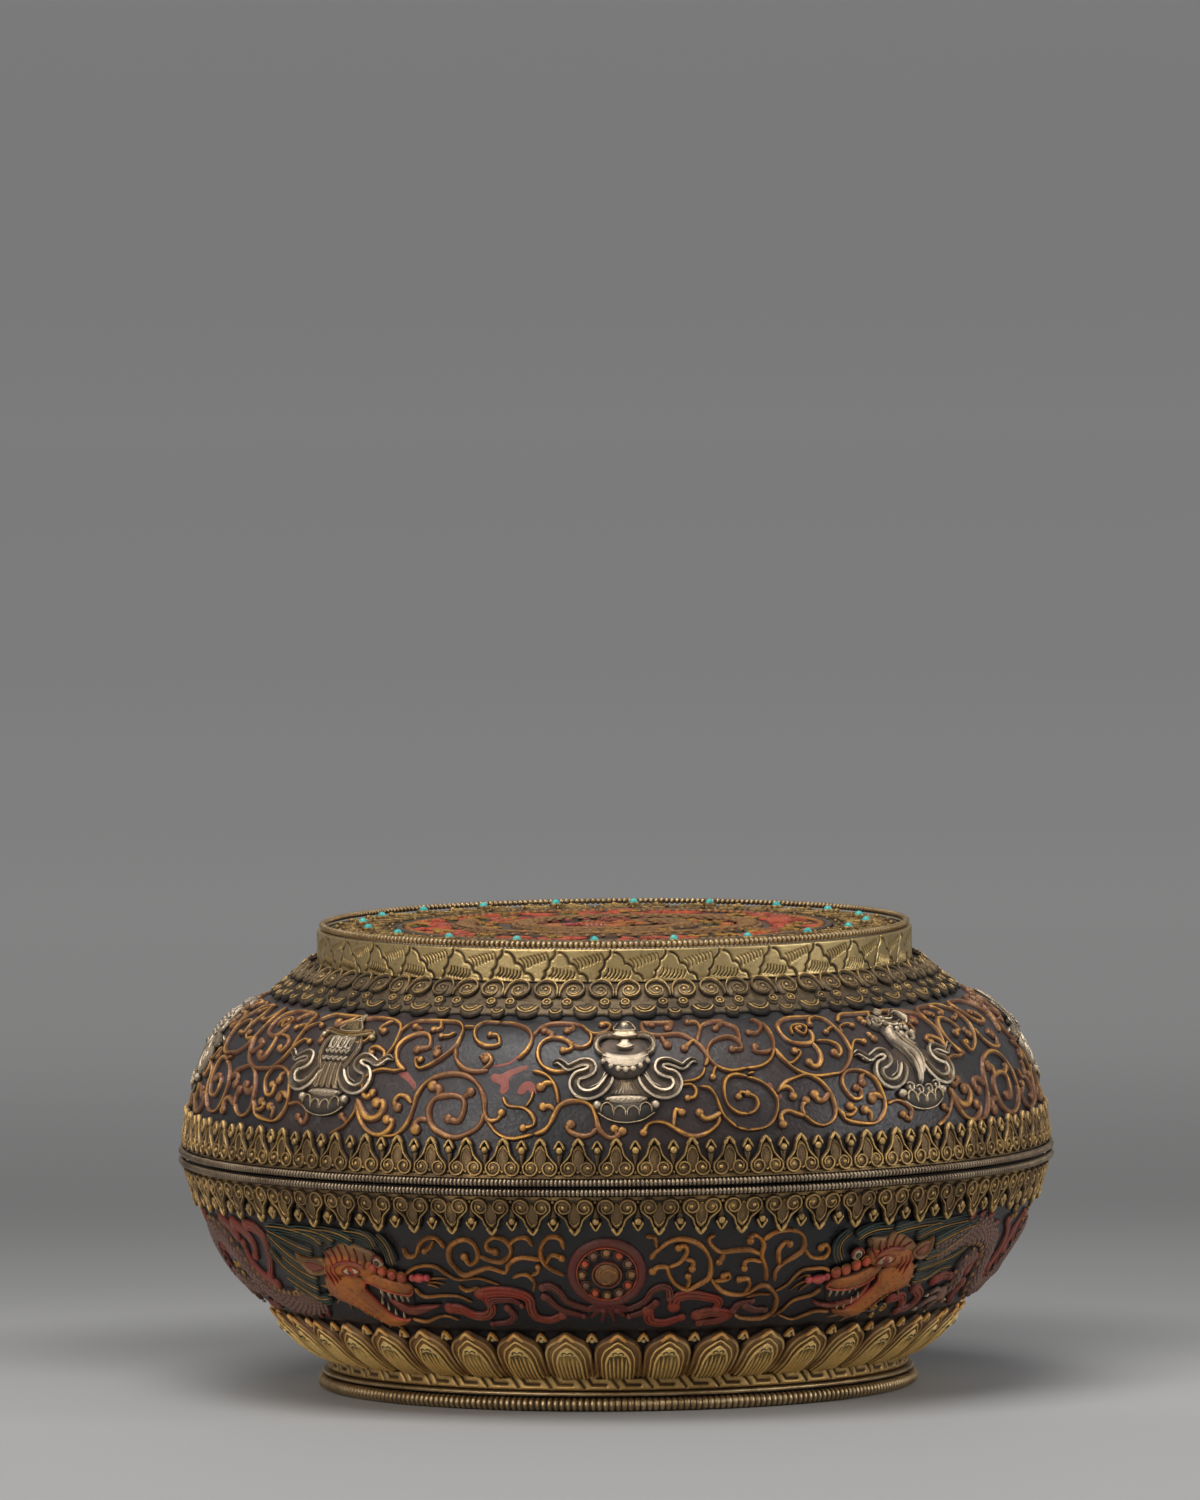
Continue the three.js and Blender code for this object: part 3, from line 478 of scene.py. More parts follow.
def lidShell():
    lip = shells["lip"]
    bore = lip["radius"] + shells["slide"]
    lining = edges("lid_lining")
    ceiling = deck - shells["wall"]
    inside = aboveHeight(skin(lidWall, shells["steps"], -shells["wall"])[::-1], lining["low"])
    inside = [(0, ceiling), (deckEdge - 1.0, ceiling)] + inside + [(bore, lining["low"])]
    outside = [(bore, lidBox["low"])] + skin(lidWall, shells["steps"])
    drum = bandBox["radius"] - shells["drumInset"]
    outside += [(deckEdge, deck), (drum, deck), (drum, lidBox["high"]), (0, lidBox["high"])]
    shell = turnedPiece("lid_wood", inside + outside, closed=False)
    settle(shell, "darkLacquer", "lid", ["lid_shell"])


def linings():
    low, high = edges("base_lining"), edges("lid_lining")
    for name, body, node, wall, top, bottom in (
        ("bowl_lining", "base", "base_lining", bowlWall, low["high"], None),
        ("lid_lining_cloth", "lid_lift", "lid_lining", lidWall, None, high["low"]),
    ):
        faces = []
        first = shells["wall"] + (seat if top else shells["slide"])
        for depth in (first, first + shells["lining"]):
            if top:
                side = belowHeight(skin(wall, 40, -depth), top)
                corner = (footRadius + 0.4 - (depth - shells["wall"]) / 2, ledge + depth - 0.5)
            else:
                side = aboveHeight(skin(wall, 40, -depth)[::-1], bottom)
                corner = (deckEdge - depth / 3, deck - depth)
            faces.append([(0, corner[1]), corner] + side)
        cloth = turnedPiece(name, faces[0] + faces[1][::-1], closed=False)
        settle(cloth, "redLining", body, [node])


def lipRing():
    lip = shells["lip"]
    inner, outer, soft = lip["radius"] - shells["lipWidth"], lip["radius"], 0.25
    outline = [(inner, lip["low"]), (outer, lip["low"]), (outer, lip["high"] - soft),
               (outer - soft, lip["high"]), (inner + soft, lip["high"]), (inner, lip["high"] - soft)]
    ring = turnedPiece("mouth_ring", outline)
    setRise(ring, 0.75)
    settle(ring, "oldBrass", "base", ["lip_ring"], angle=30)


def footFillet():
    box = edges("foot_fillet")
    middle, half = (box["low"] + box["high"]) / 2, (box["high"] - box["low"]) / 2
    inner = footRadius + seat
    arc = [(box["radius"] - half + half * math.sin(turn), middle - half * math.cos(turn))
           for turn in np.linspace(0, math.pi, 9)]
    wire = turnedPiece("foot_bright_wire", [(inner, box["low"])] + arc + [(inner, box["high"])])
    setRise(wire, 0.85)
    settle(wire, "footWire", "base", ["foot_fillet"])


def setPaint(obj, colours):
    layer = obj.data.attributes.new("paint", "FLOAT_COLOR", "POINT")
    layer.data.foreach_set("color", np.ravel(colours))


# rise runs from 0 low in a relief, where the rubbed materials paint dirt and shade, to 1 on its tops, where
# they paint rubbed metal and highlight
def setRise(obj, values):
    layer = obj.data.attributes.new("rise", "FLOAT", "POINT")
    count = len(obj.data.vertices)
    layer.data.foreach_set("value", np.broadcast_to(np.asarray(values, float), count).copy())


bowlShell()
lidShell()
linings()
lipRing()
footFillet()
report("turned pieces")


# Beaded wires: a circle spun round the box, whose rings then swell and shrink
rimWire = {"radius": 0.9, "beads": 640, "cuts": 4, "sides": 8, "waist": 0.66, "finish": "beadedWire"}
wireSettings = {
    "bowl_rim_wire": dict(rimWire, node="base_rim_wire", body="base"),
    "lid_edge_wire": dict(rimWire, node="lid_rim_wire", body="lid"),
    "foot_bead_wire": {"node": "foot_wire", "body": "base", "radius": 1.6, "beads": 300, "cuts": 6,
                       "sides": 12, "waist": 0.76, "finish": "footWire"},
    "top_bead_wire": {"node": "top_wire", "body": "lid", "radius": 0.75, "beads": 340, "cuts": 6,
                      "sides": 10, "waist": 0.5, "finish": "footWire"},
    "inner_bead_wire": {"node": "inner_wire", "body": "lid", "radius": 0.45, "beads": 420, "cuts": 5,
                        "sides": 8, "waist": 0.4, "finish": "beadedWire"},
}


def beadedWire(name, look):
    box = edges(look["node"])
    thick = look["radius"]
    middle = (box["low"] + box["high"]) / 2
    reach = box["radius"] - thick
    turns = 2 * math.pi * np.arange(look["sides"]) / look["sides"]
    outline = [(reach + thick * math.cos(turn), middle + thick * math.sin(turn)) for turn in turns]
    wire = turnedPiece(name, outline, look["beads"] * look["cuts"], sectors=20)
    spots = np.empty(len(wire.data.vertices) * 3)
    wire.data.vertices.foreach_get("co", spots)
    spots = spots.reshape(-1, 3)
    angle = np.arctan2(spots[:, 1], spots[:, 0])
    swell = np.abs(np.cos(angle * look["beads"] / 2)) ** 0.7
    centre = np.column_stack([np.cos(angle) * reach, np.sin(angle) * reach, np.full(len(angle), middle)]) * mm
    uneven = 1 - 0.035 * (1 + np.sin(angle * 7) * np.cos(angle * 23 + 1))
    factor = (look["waist"] + (1 - look["waist"]) * swell) * uneven
    wire.data.vertices.foreach_set("co", (centre + (spots - centre) * factor[:, None]).ravel())
    wire.data.update()
    # the waists get little rise, so painted shade and dirt lie between the beads and painted highlight on
    # them
    setRise(wire, 0.1 + 0.85 * swell)
    settle(wire, look["finish"], look["body"], [look["node"]], angle=80)


for wireName, wireLook in wireSettings.items():
    beadedWire(wireName, wireLook)
report("beaded wires")

# Flat relief drawings in mm: x to the right, y up, z off the wall
def smoothLine(knots, step=0.6, closed=False):
    # an even line through given knots (x, y) or (x, y, width share)
    spots = np.array([tuple(knot) + (1.0,) * (3 - len(knot)) for knot in knots], float)
    ends = (2 * spots[:1] - spots[1:2], 2 * spots[-1:] - spots[-2:-1])
    if closed:
        ends = (spots[-1:], spots[:2])
    padded = np.vstack([ends[0], spots, ends[1]])
    line = []
    for i in range(1, len(padded) - 2):
        before, first, second, after = padded[i - 1:i + 3]
        pieces = max(1, int(math.ceil(np.linalg.norm((second - first)[:2]) / step)))
        for t in np.arange(pieces) / pieces:
            line.append(0.5 * (2 * first + (second - before) * t
                               + (2 * before - 5 * first + 4 * second - after) * t * t
                               + (3 * first - before - 3 * second + after) * t ** 3))
    if not closed:
        line.append(spots[-1])
    return np.array(line)


def arcLine(x, y, start, end, first, last, step=14):
    # a spiral about (x, y): radius from start to end while it turns from first to last degrees
    count = max(2, int(abs(last - first) / step) + 1)
    return [(x + (start + (end - start) * t) * math.cos(math.radians(first + (last - first) * t)),
             y + (start + (end - start) * t) * math.sin(math.radians(first + (last - first) * t)))
            for t in np.linspace(0, 1, count)]


def circle(x, y, radius, count):
    turns = np.linspace(0, 2 * math.pi, count + 1)[:-1]
    return [(x + radius * math.cos(turn), y + radius * math.sin(turn)) for turn in turns]


def bothSides(points):
    # a symmetric outline from its right half, given from top to bottom
    return [tuple(spot) for spot in points] + [(-x, y) for x, y in points[::-1] if x > 0]


def flip(points, side):
    return [(side * spot[0], *spot[1:]) for spot in points]


def paintOf(colour, metal=0.0):
    return (*tone(*colour), metal)


# paints by name: colour and share of metal
paints = {"gilt": paintOf((176, 132, 62), 0.7), "soot": paintOf((40, 34, 30), 0.1)}


def pair(draw, art, points, *settings, **more):
    # the same shape on the right and on the left; a single spot makes two beads
    for side in (1, -1):
        if isinstance(points, tuple):
            draw(art, side * points[0], points[1], *settings, **more)
        else:
            draw(art, flip(points, side), *settings, **more)


def newDrawing():
    return {"spots": [], "faces": [], "paint": [], "rise": []}


def strip(one, two, count):
    # faces between two closed rings of points, whose first points are one and two
    return [[one + i, one + (i + 1) % count, two + (i + 1) % count, two + i] for i in range(count)]


def addShape(art, spots, faces, paint, rise):
    first = sum(len(block) for block in art["spots"])
    art["spots"].append(np.asarray(spots, float))
    art["faces"] += [[first + i for i in face] for face in faces]
    art["paint"].append(np.tile(paints[paint], (len(spots), 1)))
    art["rise"].append(np.asarray(rise, float))


# across the ridge from -1 to 1, and share of its height
sections = {
    "round": [(-1, 0), (-0.8, 0.6), (-0.35, 0.96), (0.35, 0.96), (0.8, 0.6), (1, 0)],
    "thin": [(-1, 0), (-0.55, 0.85), (0.55, 0.85), (1, 0)],
    "twin": [(-1, 0), (-0.92, 0.8), (-0.66, 1), (-0.4, 0.45), (0.4, 0.45), (0.66, 1), (0.92, 0.8), (1, 0)],
    "sharp": [(-1, 0), (-0.5, 0.45), (0, 1), (0.5, 0.45), (1, 0)],
    "vine": [(-1, 0), (-0.78, 0.5), (-0.24, 1), (0.24, 1), (0.78, 0.5), (1, 0)],
    "flat": [(-1, 0), (-0.9, 0.8), (-0.72, 1), (-0.5, 1), (-0.4, 0.62), (-0.3, 1), (0.3, 1), (0.4, 0.62),
             (0.5, 1), (0.72, 1), (0.9, 0.8), (1, 0)],
    "ribbon": [(-1, 0), (-0.94, 0.86), (-0.56, 1), (-0.38, 0.2), (0.38, 0.2), (0.56, 1), (0.94, 0.86),
               (1, 0)],
}


def ridge(art, knots, width, height, paint, foot=0.0, section="round", closed=False, step=0.6,
          ends=(0.3, 0.3), lift=1.0):
    line = smoothLine(knots, step, closed)
    way = np.gradient(line[:, :2], axis=0)
    if closed:
        way = np.roll(line[:, :2], -1, 0) - np.roll(line[:, :2], 1, 0)
    way /= np.maximum(np.linalg.norm(way, axis=1), 1e-9)[:, None]
    across = np.column_stack([-way[:, 1], way[:, 0]])
    share = line[:, 2].copy()
    if not closed:
        gone = np.concatenate([[0], np.cumsum(np.linalg.norm(np.diff(line[:, :2], axis=0), axis=1))])
        for distance, end in ((gone, ends[0]), (gone[-1] - gone, ends[1])):
            near = np.clip(distance / max(width * 0.5, 0.01), 0, 1)
            share *= end + (1 - end) * np.sqrt(near * (2 - near))
    profile = np.array(sections[section])
    count, rings = len(profile), len(line)
    half = share[:, None] * width / 2
    x = line[:, :1] + across[:, :1] * half * profile[:, 0]
    y = line[:, 1:2] + across[:, 1:] * half * profile[:, 0]
    z = foot + height * np.sqrt(share)[:, None] * profile[:, 1]
    spots = np.stack([x, y, z], axis=2).reshape(-1, 3)
    faces = []
    for ring in range(rings if closed else rings - 1):
        one, two = ring * count, ((ring + 1) % rings) * count
        faces += strip(one, two, count)
    if not closed:
        faces += [list(range(count))[::-1], [(rings - 1) * count + i for i in range(count)]]
    rise = lift * np.tile(profile[:, 1], rings) * np.repeat(share ** 0.25, count)
    addShape(art, spots, faces, paint, rise)


# share of the way in from the outline, and share of the height
crowns = {
    "dome": [(0, 0), (0.05, 0.42), (0.2, 0.74), (0.5, 0.94)],
    "plate": [(0, 0), (0.05, 0.75), (0.14, 1.0), (0.6, 1.0)],
    "rimmed": [(0, 0), (0.04, 0.85), (0.12, 1.0), (0.2, 0.9), (0.28, 0.6), (0.6, 0.66)],
    "dished": [(0, 0), (0.06, 0.9), (0.16, 1.0), (0.4, 0.5), (0.75, 0.3)],
}


def leaf(art, outline, height, paint, foot=0.0, crown="dome", heart=None, step=0.8, smooth=True, lift=1.0):
    # a raised patch whose rings close in on its heart, a point or a line between two points
    rim = smoothLine(outline, step, True)[:, :2] if smooth else np.array(outline, float)[:, :2]
    area = np.sum(rim[:, 0] * np.roll(rim[:, 1], -1) - np.roll(rim[:, 0], -1) * rim[:, 1])
    if area < 0:
        rim = rim[::-1]
    middle = rim.mean(axis=0)
    start, end = (np.array(spot, float) for spot in (heart or (middle, middle)))
    run = end - start
    along = np.clip(((rim - start) @ run) / max(run @ run, 1e-9), 0, 1)
    target = start + along[:, None] * run
    count = len(rim)
    spots, rise = [], []
    for inward, up in crowns[crown]:
        ring = rim * (1 - inward) + target * inward
        spots.append(np.column_stack([ring, np.full(count, foot + height * up)]))
        rise += [up * lift] * count
    last = crowns[crown][-1][1]
    top = 1.0 if crown == "dome" else last
    ring = rim * 0.08 + target * 0.92
    spots.append(np.column_stack([ring, np.full(count, foot + height * top)]))
    rise += [top * lift] * count
    rings = len(spots)
    faces = [list(range(count))[::-1]]
    for level in range(rings - 1):
        one, two = level * count, (level + 1) * count
        faces += strip(one, two, count)
    faces.append([(rings - 1) * count + i for i in range(count)])
    addShape(art, np.vstack(spots), faces, paint, rise)


def bead(art, x, y, radius, height, paint, foot=0.0, sides=8, crown="dome", lift=1.0):
    leaf(art, circle(x, y, radius, sides), height, paint, foot, crown, smooth=False, lift=lift)


def buildRelief(name, art, place, material, body, nodes=(), count=1, angle=50):
    # bends the drawing onto its place and repeats it round the box
    flat = np.vstack(art["spots"])
    first = place(flat)
    turns = 2 * math.pi * np.arange(count) / count
    spots = np.concatenate([np.column_stack([*turnedBy(turn, first[:, 0], first[:, 1]), first[:, 2]])
                            for turn in turns])
    faces = [[i + step * len(flat) for i in face] for step in range(count) for face in art["faces"]]
    obj = newObject(name, spots.tolist(), faces=faces)
    setPaint(obj, np.tile(np.vstack(art["paint"]), (count, 1)))
    setRise(obj, np.tile(np.concatenate(art["rise"]), count))
    return settle(obj, material, body, nodes, angle)


# Palmette rings beside the rim wires
palmettes = {
    "inset": 2.15,  # from the edge of the wall, clear of the rim wire
    "lid": {"count": 72, "height": 8.4, "curl": (2.2, 1.95, 1.66), "waist": 1.95, "bud": (5.0, 8.0)},
    "bowl": {"count": 64, "height": 8.4, "curl": (2.5, 2.0, 1.8), "waist": 2.2, "bud": (4.6, 7.5)},
}


def chevron(x, tip, reach, drop, bow=0.45):
    return [(x + reach * share, tip - drop * down) for share, down in
            ((-1, 1), (-0.55, bow), (0, 0), (0.55, bow), (1, 1))]


def palmetteTile(look):
    tile = newDrawing()
    height, waist = look["height"], look["waist"]
    curlX, curlY, curlR = look["curl"]
    budLow, budTip = look["bud"]
    half = math.pi * rim / look["count"]
    base = [(-half, -0.35), (half, -0.35), (half, 0.5), (-half, 0.5)]
    leaf(tile, base, 0.5, "gilt", crown="plate", smooth=False, heart=((-half, 0.1), (half, 0.1)), lift=0.72)
    ground = [(-waist, height - 3.6), (-curlX - 1.2, curlY), (-curlX, 0.3), (curlX, 0.3),
              (curlX + 1.2, curlY), (waist, height - 3.6), (0, height - 0.8)]
    leaf(tile, ground, 0.5, "gilt", heart=((0, curlY), (0, height - 3)), lift=0.36)
    heart = [(0, height - 1.7), (1.45, height - 3.9), (0.7, curlY - 0.2), (0, curlY - 1.1),
             (-0.7, curlY - 0.2), (-1.45, height - 3.9)]
    leaf(tile, heart, 0.85, "gilt", 0.3, "rimmed", ((0, curlY + 0.4), (0, height - 3.6)), 0.7, lift=0.92)
    for y in np.linspace(curlY + 1.0, height - 3.2, 5):
        ridge(tile, [(-0.55, y - 0.45), (0.55, y + 0.45)], 0.24, 0.3, "gilt", 0.66, "thin", step=1.4,
              lift=0.9)
    for side in (1, -1):
        hood = [(0, height), (0.85, height - 1.1), (waist * 0.72, height - 2.3), (waist * 0.9, height - 3.5)]
        curl = arcLine(curlX, curlY, curlR, curlR * 0.95, 60, -200, 32)
        rolled = arcLine(curlX, curlY, curlR * 0.85, 0.55, -235, -430, 32)
        bead(tile, side * curlX, curlY, curlR * 1.12, 0.8, "gilt", 0.2, 14, lift=0.66)
        ridge(tile, flip(hood + curl + rolled, side), 0.72, 1.05, "gilt", 0.3, step=0.7, lift=0.92)
        bead(tile, side * curlX, curlY, 0.6, 1.15, "gilt", 0.35, 8, lift=1.1)
    ridge(tile, chevron(0, height - 1.5, 1.3, 1.6), 0.4, 0.5, "gilt", 0.5, "thin", lift=0.95)
    ridge(tile, chevron(0, height, 1.3, 1.7), 1.1, 1.15, "gilt", 0.45, lift=1.15)
    bud = [(half - 0.8, budLow + 0.4), (half + 0.8, budLow + 0.4), (half + 0.35, 3.0), (half, 1.4),
           (half - 0.35, 3.0)]
    leaf(tile, bud, 0.6, "gilt", heart=((half, budLow), (half, 3)), lift=0.55)
    bead(tile, half, budLow + 0.9, 1.0, 1.25, "gilt", 0.15, 12)
    ridge(tile, chevron(half, budTip, 1.25, 2.0), 0.84, 1.1, "gilt", 0.2, lift=1.1)
    bead(tile, half, 0.95, 0.5, 0.7, "gilt", 0.1, 8, lift=0.8)
    return tile


def palmetteRings():
    inset, lid, bowl = palmettes["inset"], palmettes["lid"], palmettes["bowl"]
    buildRelief("lid_palmettes", palmetteTile(lid), bentOn(lidWall, rim, (0, inset, seat)),
                "giltRelief", "lid", ["lid_border"], lid["count"])
    buildRelief("bowl_palmettes", palmetteTile(bowl),
                bentOn(bowlWall, rim, (0, bowlLength - inset, seat), size=(-1, -1, 1)),
                "giltRelief", "base", ["base_border"], bowl["count"])


# Lotus petals above the foot
lotusLook = {"count": 42, "reach": 78.6, "tip": 15.6}
paints["petalGold"] = paintOf((255, 210, 122), 0.25)
paints["petalBrown"] = paintOf((158, 112, 62), 0.2)
paints["petalTip"] = paintOf((226, 150, 62), 0.4)


def lotusTile():
    tile = newDrawing()
    half = math.pi * lotusLook["reach"] / lotusLook["count"]
    tip = lotusLook["tip"]
    edge = half - 0.25

    def outlineAt(inset, drop, low=-0.1):
        side = edge - inset
        right = [(side, low), (side, 8.8 - drop * 0.7), (side * 0.95, 11.0 - drop),
                 (side * 0.76, 12.9 - drop), (side * 0.4, 14.2 - drop), (0, tip - drop * 1.1)]
        return right + [(-x, y) for x, y in right[-2::-1]]
    leaf(tile, outlineAt(0, 0), 1.15, "petalBrown", crown="plate", heart=((0, 0.5), (0, 11)), step=1.2,
         lift=0.58)
    ridge(tile, outlineAt(0.45, 0.4, 0.3), 0.9, 0.6, "petalBrown", 0.95, step=1.0, ends=(1, 1), lift=0.8)
    leaf(tile, outlineAt(1.35, 1.35), 0.65, "petalBrown", 0.85, "plate", ((0, 0.5), (0, 10)), 1.2, lift=0.58)
    ridge(tile, outlineAt(1.75, 1.75, 0.3), 0.5, 0.4, "petalGold", 1.4, step=1.0, ends=(1, 1), lift=0.8)
    leaf(tile, outlineAt(2.5, 2.9, 0.2), 0.65, "petalGold", 1.25, "plate", ((0, 0.5), (0, 8.5)), 1.2,
         lift=0.16)
    ridge(tile, outlineAt(2.75, 3.1, 0.2), 0.66, 0.6, "petalGold", 1.65, step=1.0, ends=(1, 1), lift=1.05)
    for x, top in ((-1.96, 8.8), (-0.98, 9.6), (0, 9.2), (0.98, 9.6), (1.96, 8.8)):
        ridge(tile, [(x * 0.96, 0.3), (x, 4.5), (x, top)], 0.7, 0.6, "petalGold", 1.7, "vine", step=2.4,
              lift=1.0)
    leaf(tile, bothSides([(0, 12.1), (1.3, 11.7), (2.1, 10.7), (2.0, 9.7), (1.0, 10.0), (0, 10.4)]),
         0.6, "petalGold", 1.75, lift=0.95)
    pair(ridge, tile, [(0, 10.8), (0.6, 11.3), (1.2, 11.0), (1.1, 10.4)], 0.3, 0.15, "soot", 2.3, "thin",
         lift=0.1)
    ridge(tile, chevron(0, tip - 0.1, 2.1, 1.9, 0.55), 1.05, 0.7, "petalTip", 1.1, step=0.9)
    ridge(tile, chevron(half, tip - 0.5, 1.3, 2.1, 0.55), 0.9, 0.9, "petalTip", 0.1, step=0.9)
    bead(tile, half, tip - 2.3, 0.75, 0.7, "soot", 0.1)
    return tile


def lotusRing():
    buildRelief("lotus_petals", lotusTile(), bentOn(petalWall, lotusLook["reach"], (0, 0, seat * 0.6)),
                "darkPetals", "base", ["lotus_ring"], lotusLook["count"])


# Cloud border on the shoulder
cloudLook = {"count": 36, "reach": 77.0}


def shoulderWall():
    # the last of the lid's wall, the crease softly rounded, and the slope up to the deck
    low = list(zip(*offWall(lidWall, np.linspace(lidLength - 9.0, lidLength - 1.2, 13), 0)))
    slope = [(crease["radius"] + (deckEdge - crease["radius"]) * t, crease["height"] + 7.6 * t)
             for t in (0.12, 0.5, 1.0)]
    corner = bezierPoints([low[-1], (crease["radius"], crease["height"]), slope[0]], 12)
    return wallAlong(low[:-1] + [tuple(spot) for spot in corner] + slope[1:])


def cloudTile():
    tile = newDrawing()
    half = math.pi * cloudLook["reach"] / cloudLook["count"]
    slab = [(-half, 9.4), (half, 9.4), (half, -1.2), (half * 0.62, -0.9), (half * 0.36, -0.8), (0, -1.9),
            (-half * 0.36, -0.8), (-half * 0.62, -0.9), (-half, -1.2)]
    leaf(tile, slab, 0.5, "soot", crown="plate", smooth=False, heart=((-half, 4), (half, 4)), lift=0.42)

    def drop(x, y, wide, tall, crescents):
        # a hanging pad with bright crescents on it
        pad = [(x + wide * beside, y + tall * up) for beside, up in
               ((-1, 0), (-0.92, -0.5), (-0.5, -0.9), (0, -1), (0.5, -0.9), (0.92, -0.5), (1, 0), (0.5, 0.28),
                (0, 0.36), (-0.5, 0.28))]
        heart = ((x - wide * 0.4, y - tall * 0.3), (x + wide * 0.4, y - tall * 0.3))
        leaf(tile, pad, 1.0, "soot", 0.2, heart=heart, step=1.0, lift=0.3)
        for share, width, lift in crescents:
            bow = [(x + wide * share * beside, y - tall * down) for beside, down in
                   ((-1, 0.02), (-0.6, share * 0.5), (0, share * 0.72), (0.6, share * 0.5), (1, 0.02))]
            ridge(tile, bow, width, 0.55, "gilt", 0.95, step=0.9, lift=lift)

    for side in (1, -1):
        lobe = flip([(0.2, 4.8), (0.6, 7.2), (2.0, 8.9), (4.3, 9.1), (5.9, 7.9), (6.1, 5.9), (4.8, 4.2),
                     (2.5, 3.8), (0.9, 4.1)], side)
        leaf(tile, lobe, 0.95, "gilt", 0.3, heart=((side * 2.6, 6.5), (side * 4.2, 6.5)), step=1.1, lift=0.56)
        rolled = [(0.3, 4.4), (0.4, 6.6), (1.4, 8.5), (3.4, 9.3), (5.3, 8.6), (6.0, 6.7), (5.1, 4.9),
                  (3.4, 4.3), (2.1, 5.1), (2.1, 6.7), (3.3, 7.5), (4.4, 6.9), (4.1, 6.0)]
        ridge(tile, flip(rolled, side), 0.8, 0.75, "gilt", 0.85, step=0.9, lift=0.74)
        ridge(tile, flip([(0.6, 7.3), (1.6, 8.8), (3.3, 9.5), (4.8, 9.1)], side), 0.5, 0.5, "gilt", 1.3,
              step=0.9, lift=1.1)
        ridge(tile, flip([(2.6, 5.4), (3.4, 5.0), (4.3, 5.2), (4.9, 6.0)], side), 0.4, 0.4, "gilt",
              1.1, "thin", lift=1.0)
        bead(tile, side * 3.3, 6.5, 0.6, 0.55, "gilt", 1.05, 8, lift=0.9)
        collar = flip([(0.9, 2.4), (1.3, 3.7), (2.5, 4.1), (3.7, 3.3), (3.8, 1.8), (2.9, 0.8),
                       (1.6, 0.9)], side)
        leaf(tile, collar, 0.95, "gilt", 0.25, step=1.0, lift=0.4)
        ridge(tile, flip(circle(2.35, 2.4, 0.95, 8), side), 0.5, 0.65, "gilt", 0.85, closed=True,
              step=0.9, lift=0.92)
        bead(tile, side * 2.35, 2.4, 0.45, 0.7, "gilt", 0.85, 8, lift=1.1)
    drop(0, 0.2, 1.7, 3.0, ((0.85, 0.5, 1.1), (0.4, 0.4, 0.9)))
    drop(half, 1.2, 2.9, 3.6, ((0.88, 0.6, 1.15), (0.55, 0.42, 1.0)))
    for x in np.linspace(-1.7, 1.7, 7):
        ridge(tile, [(half + x, 1.4), (half + x * 0.85, -0.2)], 0.26, 0.3, "gilt", 1.05, "thin", step=2,
              lift=0.8)
    return tile


def cloudBorder():
    wall = shoulderWall()
    start = wall["length"][-1] - 10.0
    buildRelief("shoulder_clouds", cloudTile(), bentOn(wall, cloudLook["reach"], (0, start, seat * 0.5)),
                "oldGilt", "lid", ["shoulder_border"], cloudLook["count"])


# Engraved bands: a fine net of faces pressed in along the graver's lines
def grooveDepth(x, y, lines, pitch):
    # 0 away from the lines, 1 in the middle of a line
    depth = np.zeros(x.shape)
    for points, width in lines:
        line = np.array(points, float)
        for first, second in zip(line[:-1], line[1:]):
            run = second - first
            for shift in (-pitch, 0, pitch):
                if min(first[0], second[0]) + shift > pitch + 1 or max(first[0], second[0]) + shift < -1:
                    continue
                t = np.clip(((x - shift - first[0]) * run[0] + (y - first[1]) * run[1]) / (run @ run), 0, 1)
                away = np.hypot(x - shift - first[0] - t * run[0], y - first[1] - t * run[1])
                depth = np.maximum(depth, np.clip(1.5 - 2 * away / width, 0, 1))
    return depth


def engravedBand(name, look, lines, material, body, node):
    box = edges(node)
    pitch = 2 * math.pi * look["radius"] / look["count"]
    columns, rows = look["columns"], look["rows"]
    height = box["high"] - box["low"]
    across, up = np.meshgrid(np.arange(columns) * pitch / columns, np.linspace(0, height, rows))
    depth = grooveDepth(across, up, lines, pitch)
    total = columns * look["count"]
    angle = 2 * math.pi * np.arange(total) / total
    edge = look["edge"]
    soft = np.clip(np.minimum(up[:, 0], height - up[:, 0]) / edge["high"], 0, 1)
    flare = edge["flare"] * np.clip(1 - up[:, 0] / edge["flareHigh"], 0, 1)
    dents = 0.05 * np.sin(angle * 9 + 1)[None, :] * np.sin(np.linspace(0, 3, rows))[:, None]
    pressed = np.tile(depth, (1, look["count"])) * look["depth"]
    profile = look["radius"] - (1 - np.sqrt(soft)) * edge["round"] + flare
    radius = profile[:, None] - pressed - np.abs(dents)
    inner = look["radius"] - look["thickness"]
    radius = np.vstack([np.full(total, inner), radius, np.full(total, inner)])
    level = np.concatenate([[box["low"]], box["low"] + np.linspace(0, height, rows), [box["high"]]])
    spots = np.stack([radius * np.sin(angle), -radius * np.cos(angle),
                      np.repeat(level[:, None], total, 1)], 2) * mm
    faces = []
    for row in range(rows + 2):
        one, two = row * total, ((row + 1) % (rows + 2)) * total
        faces += strip(one, two, total)
    obj = newObject(name, spots.reshape(-1, 3).tolist(), faces=faces)
    shade = np.vstack([np.zeros(total), 0.95 * (1 - np.tile(depth, (1, look["count"]))), np.full(total, 0.9)])
    shade[1:4] *= np.array([0.35, 0.6, 0.85])[:, None]
    setRise(obj, shade.ravel())
    settle(obj, material, body, [node], angle=70)


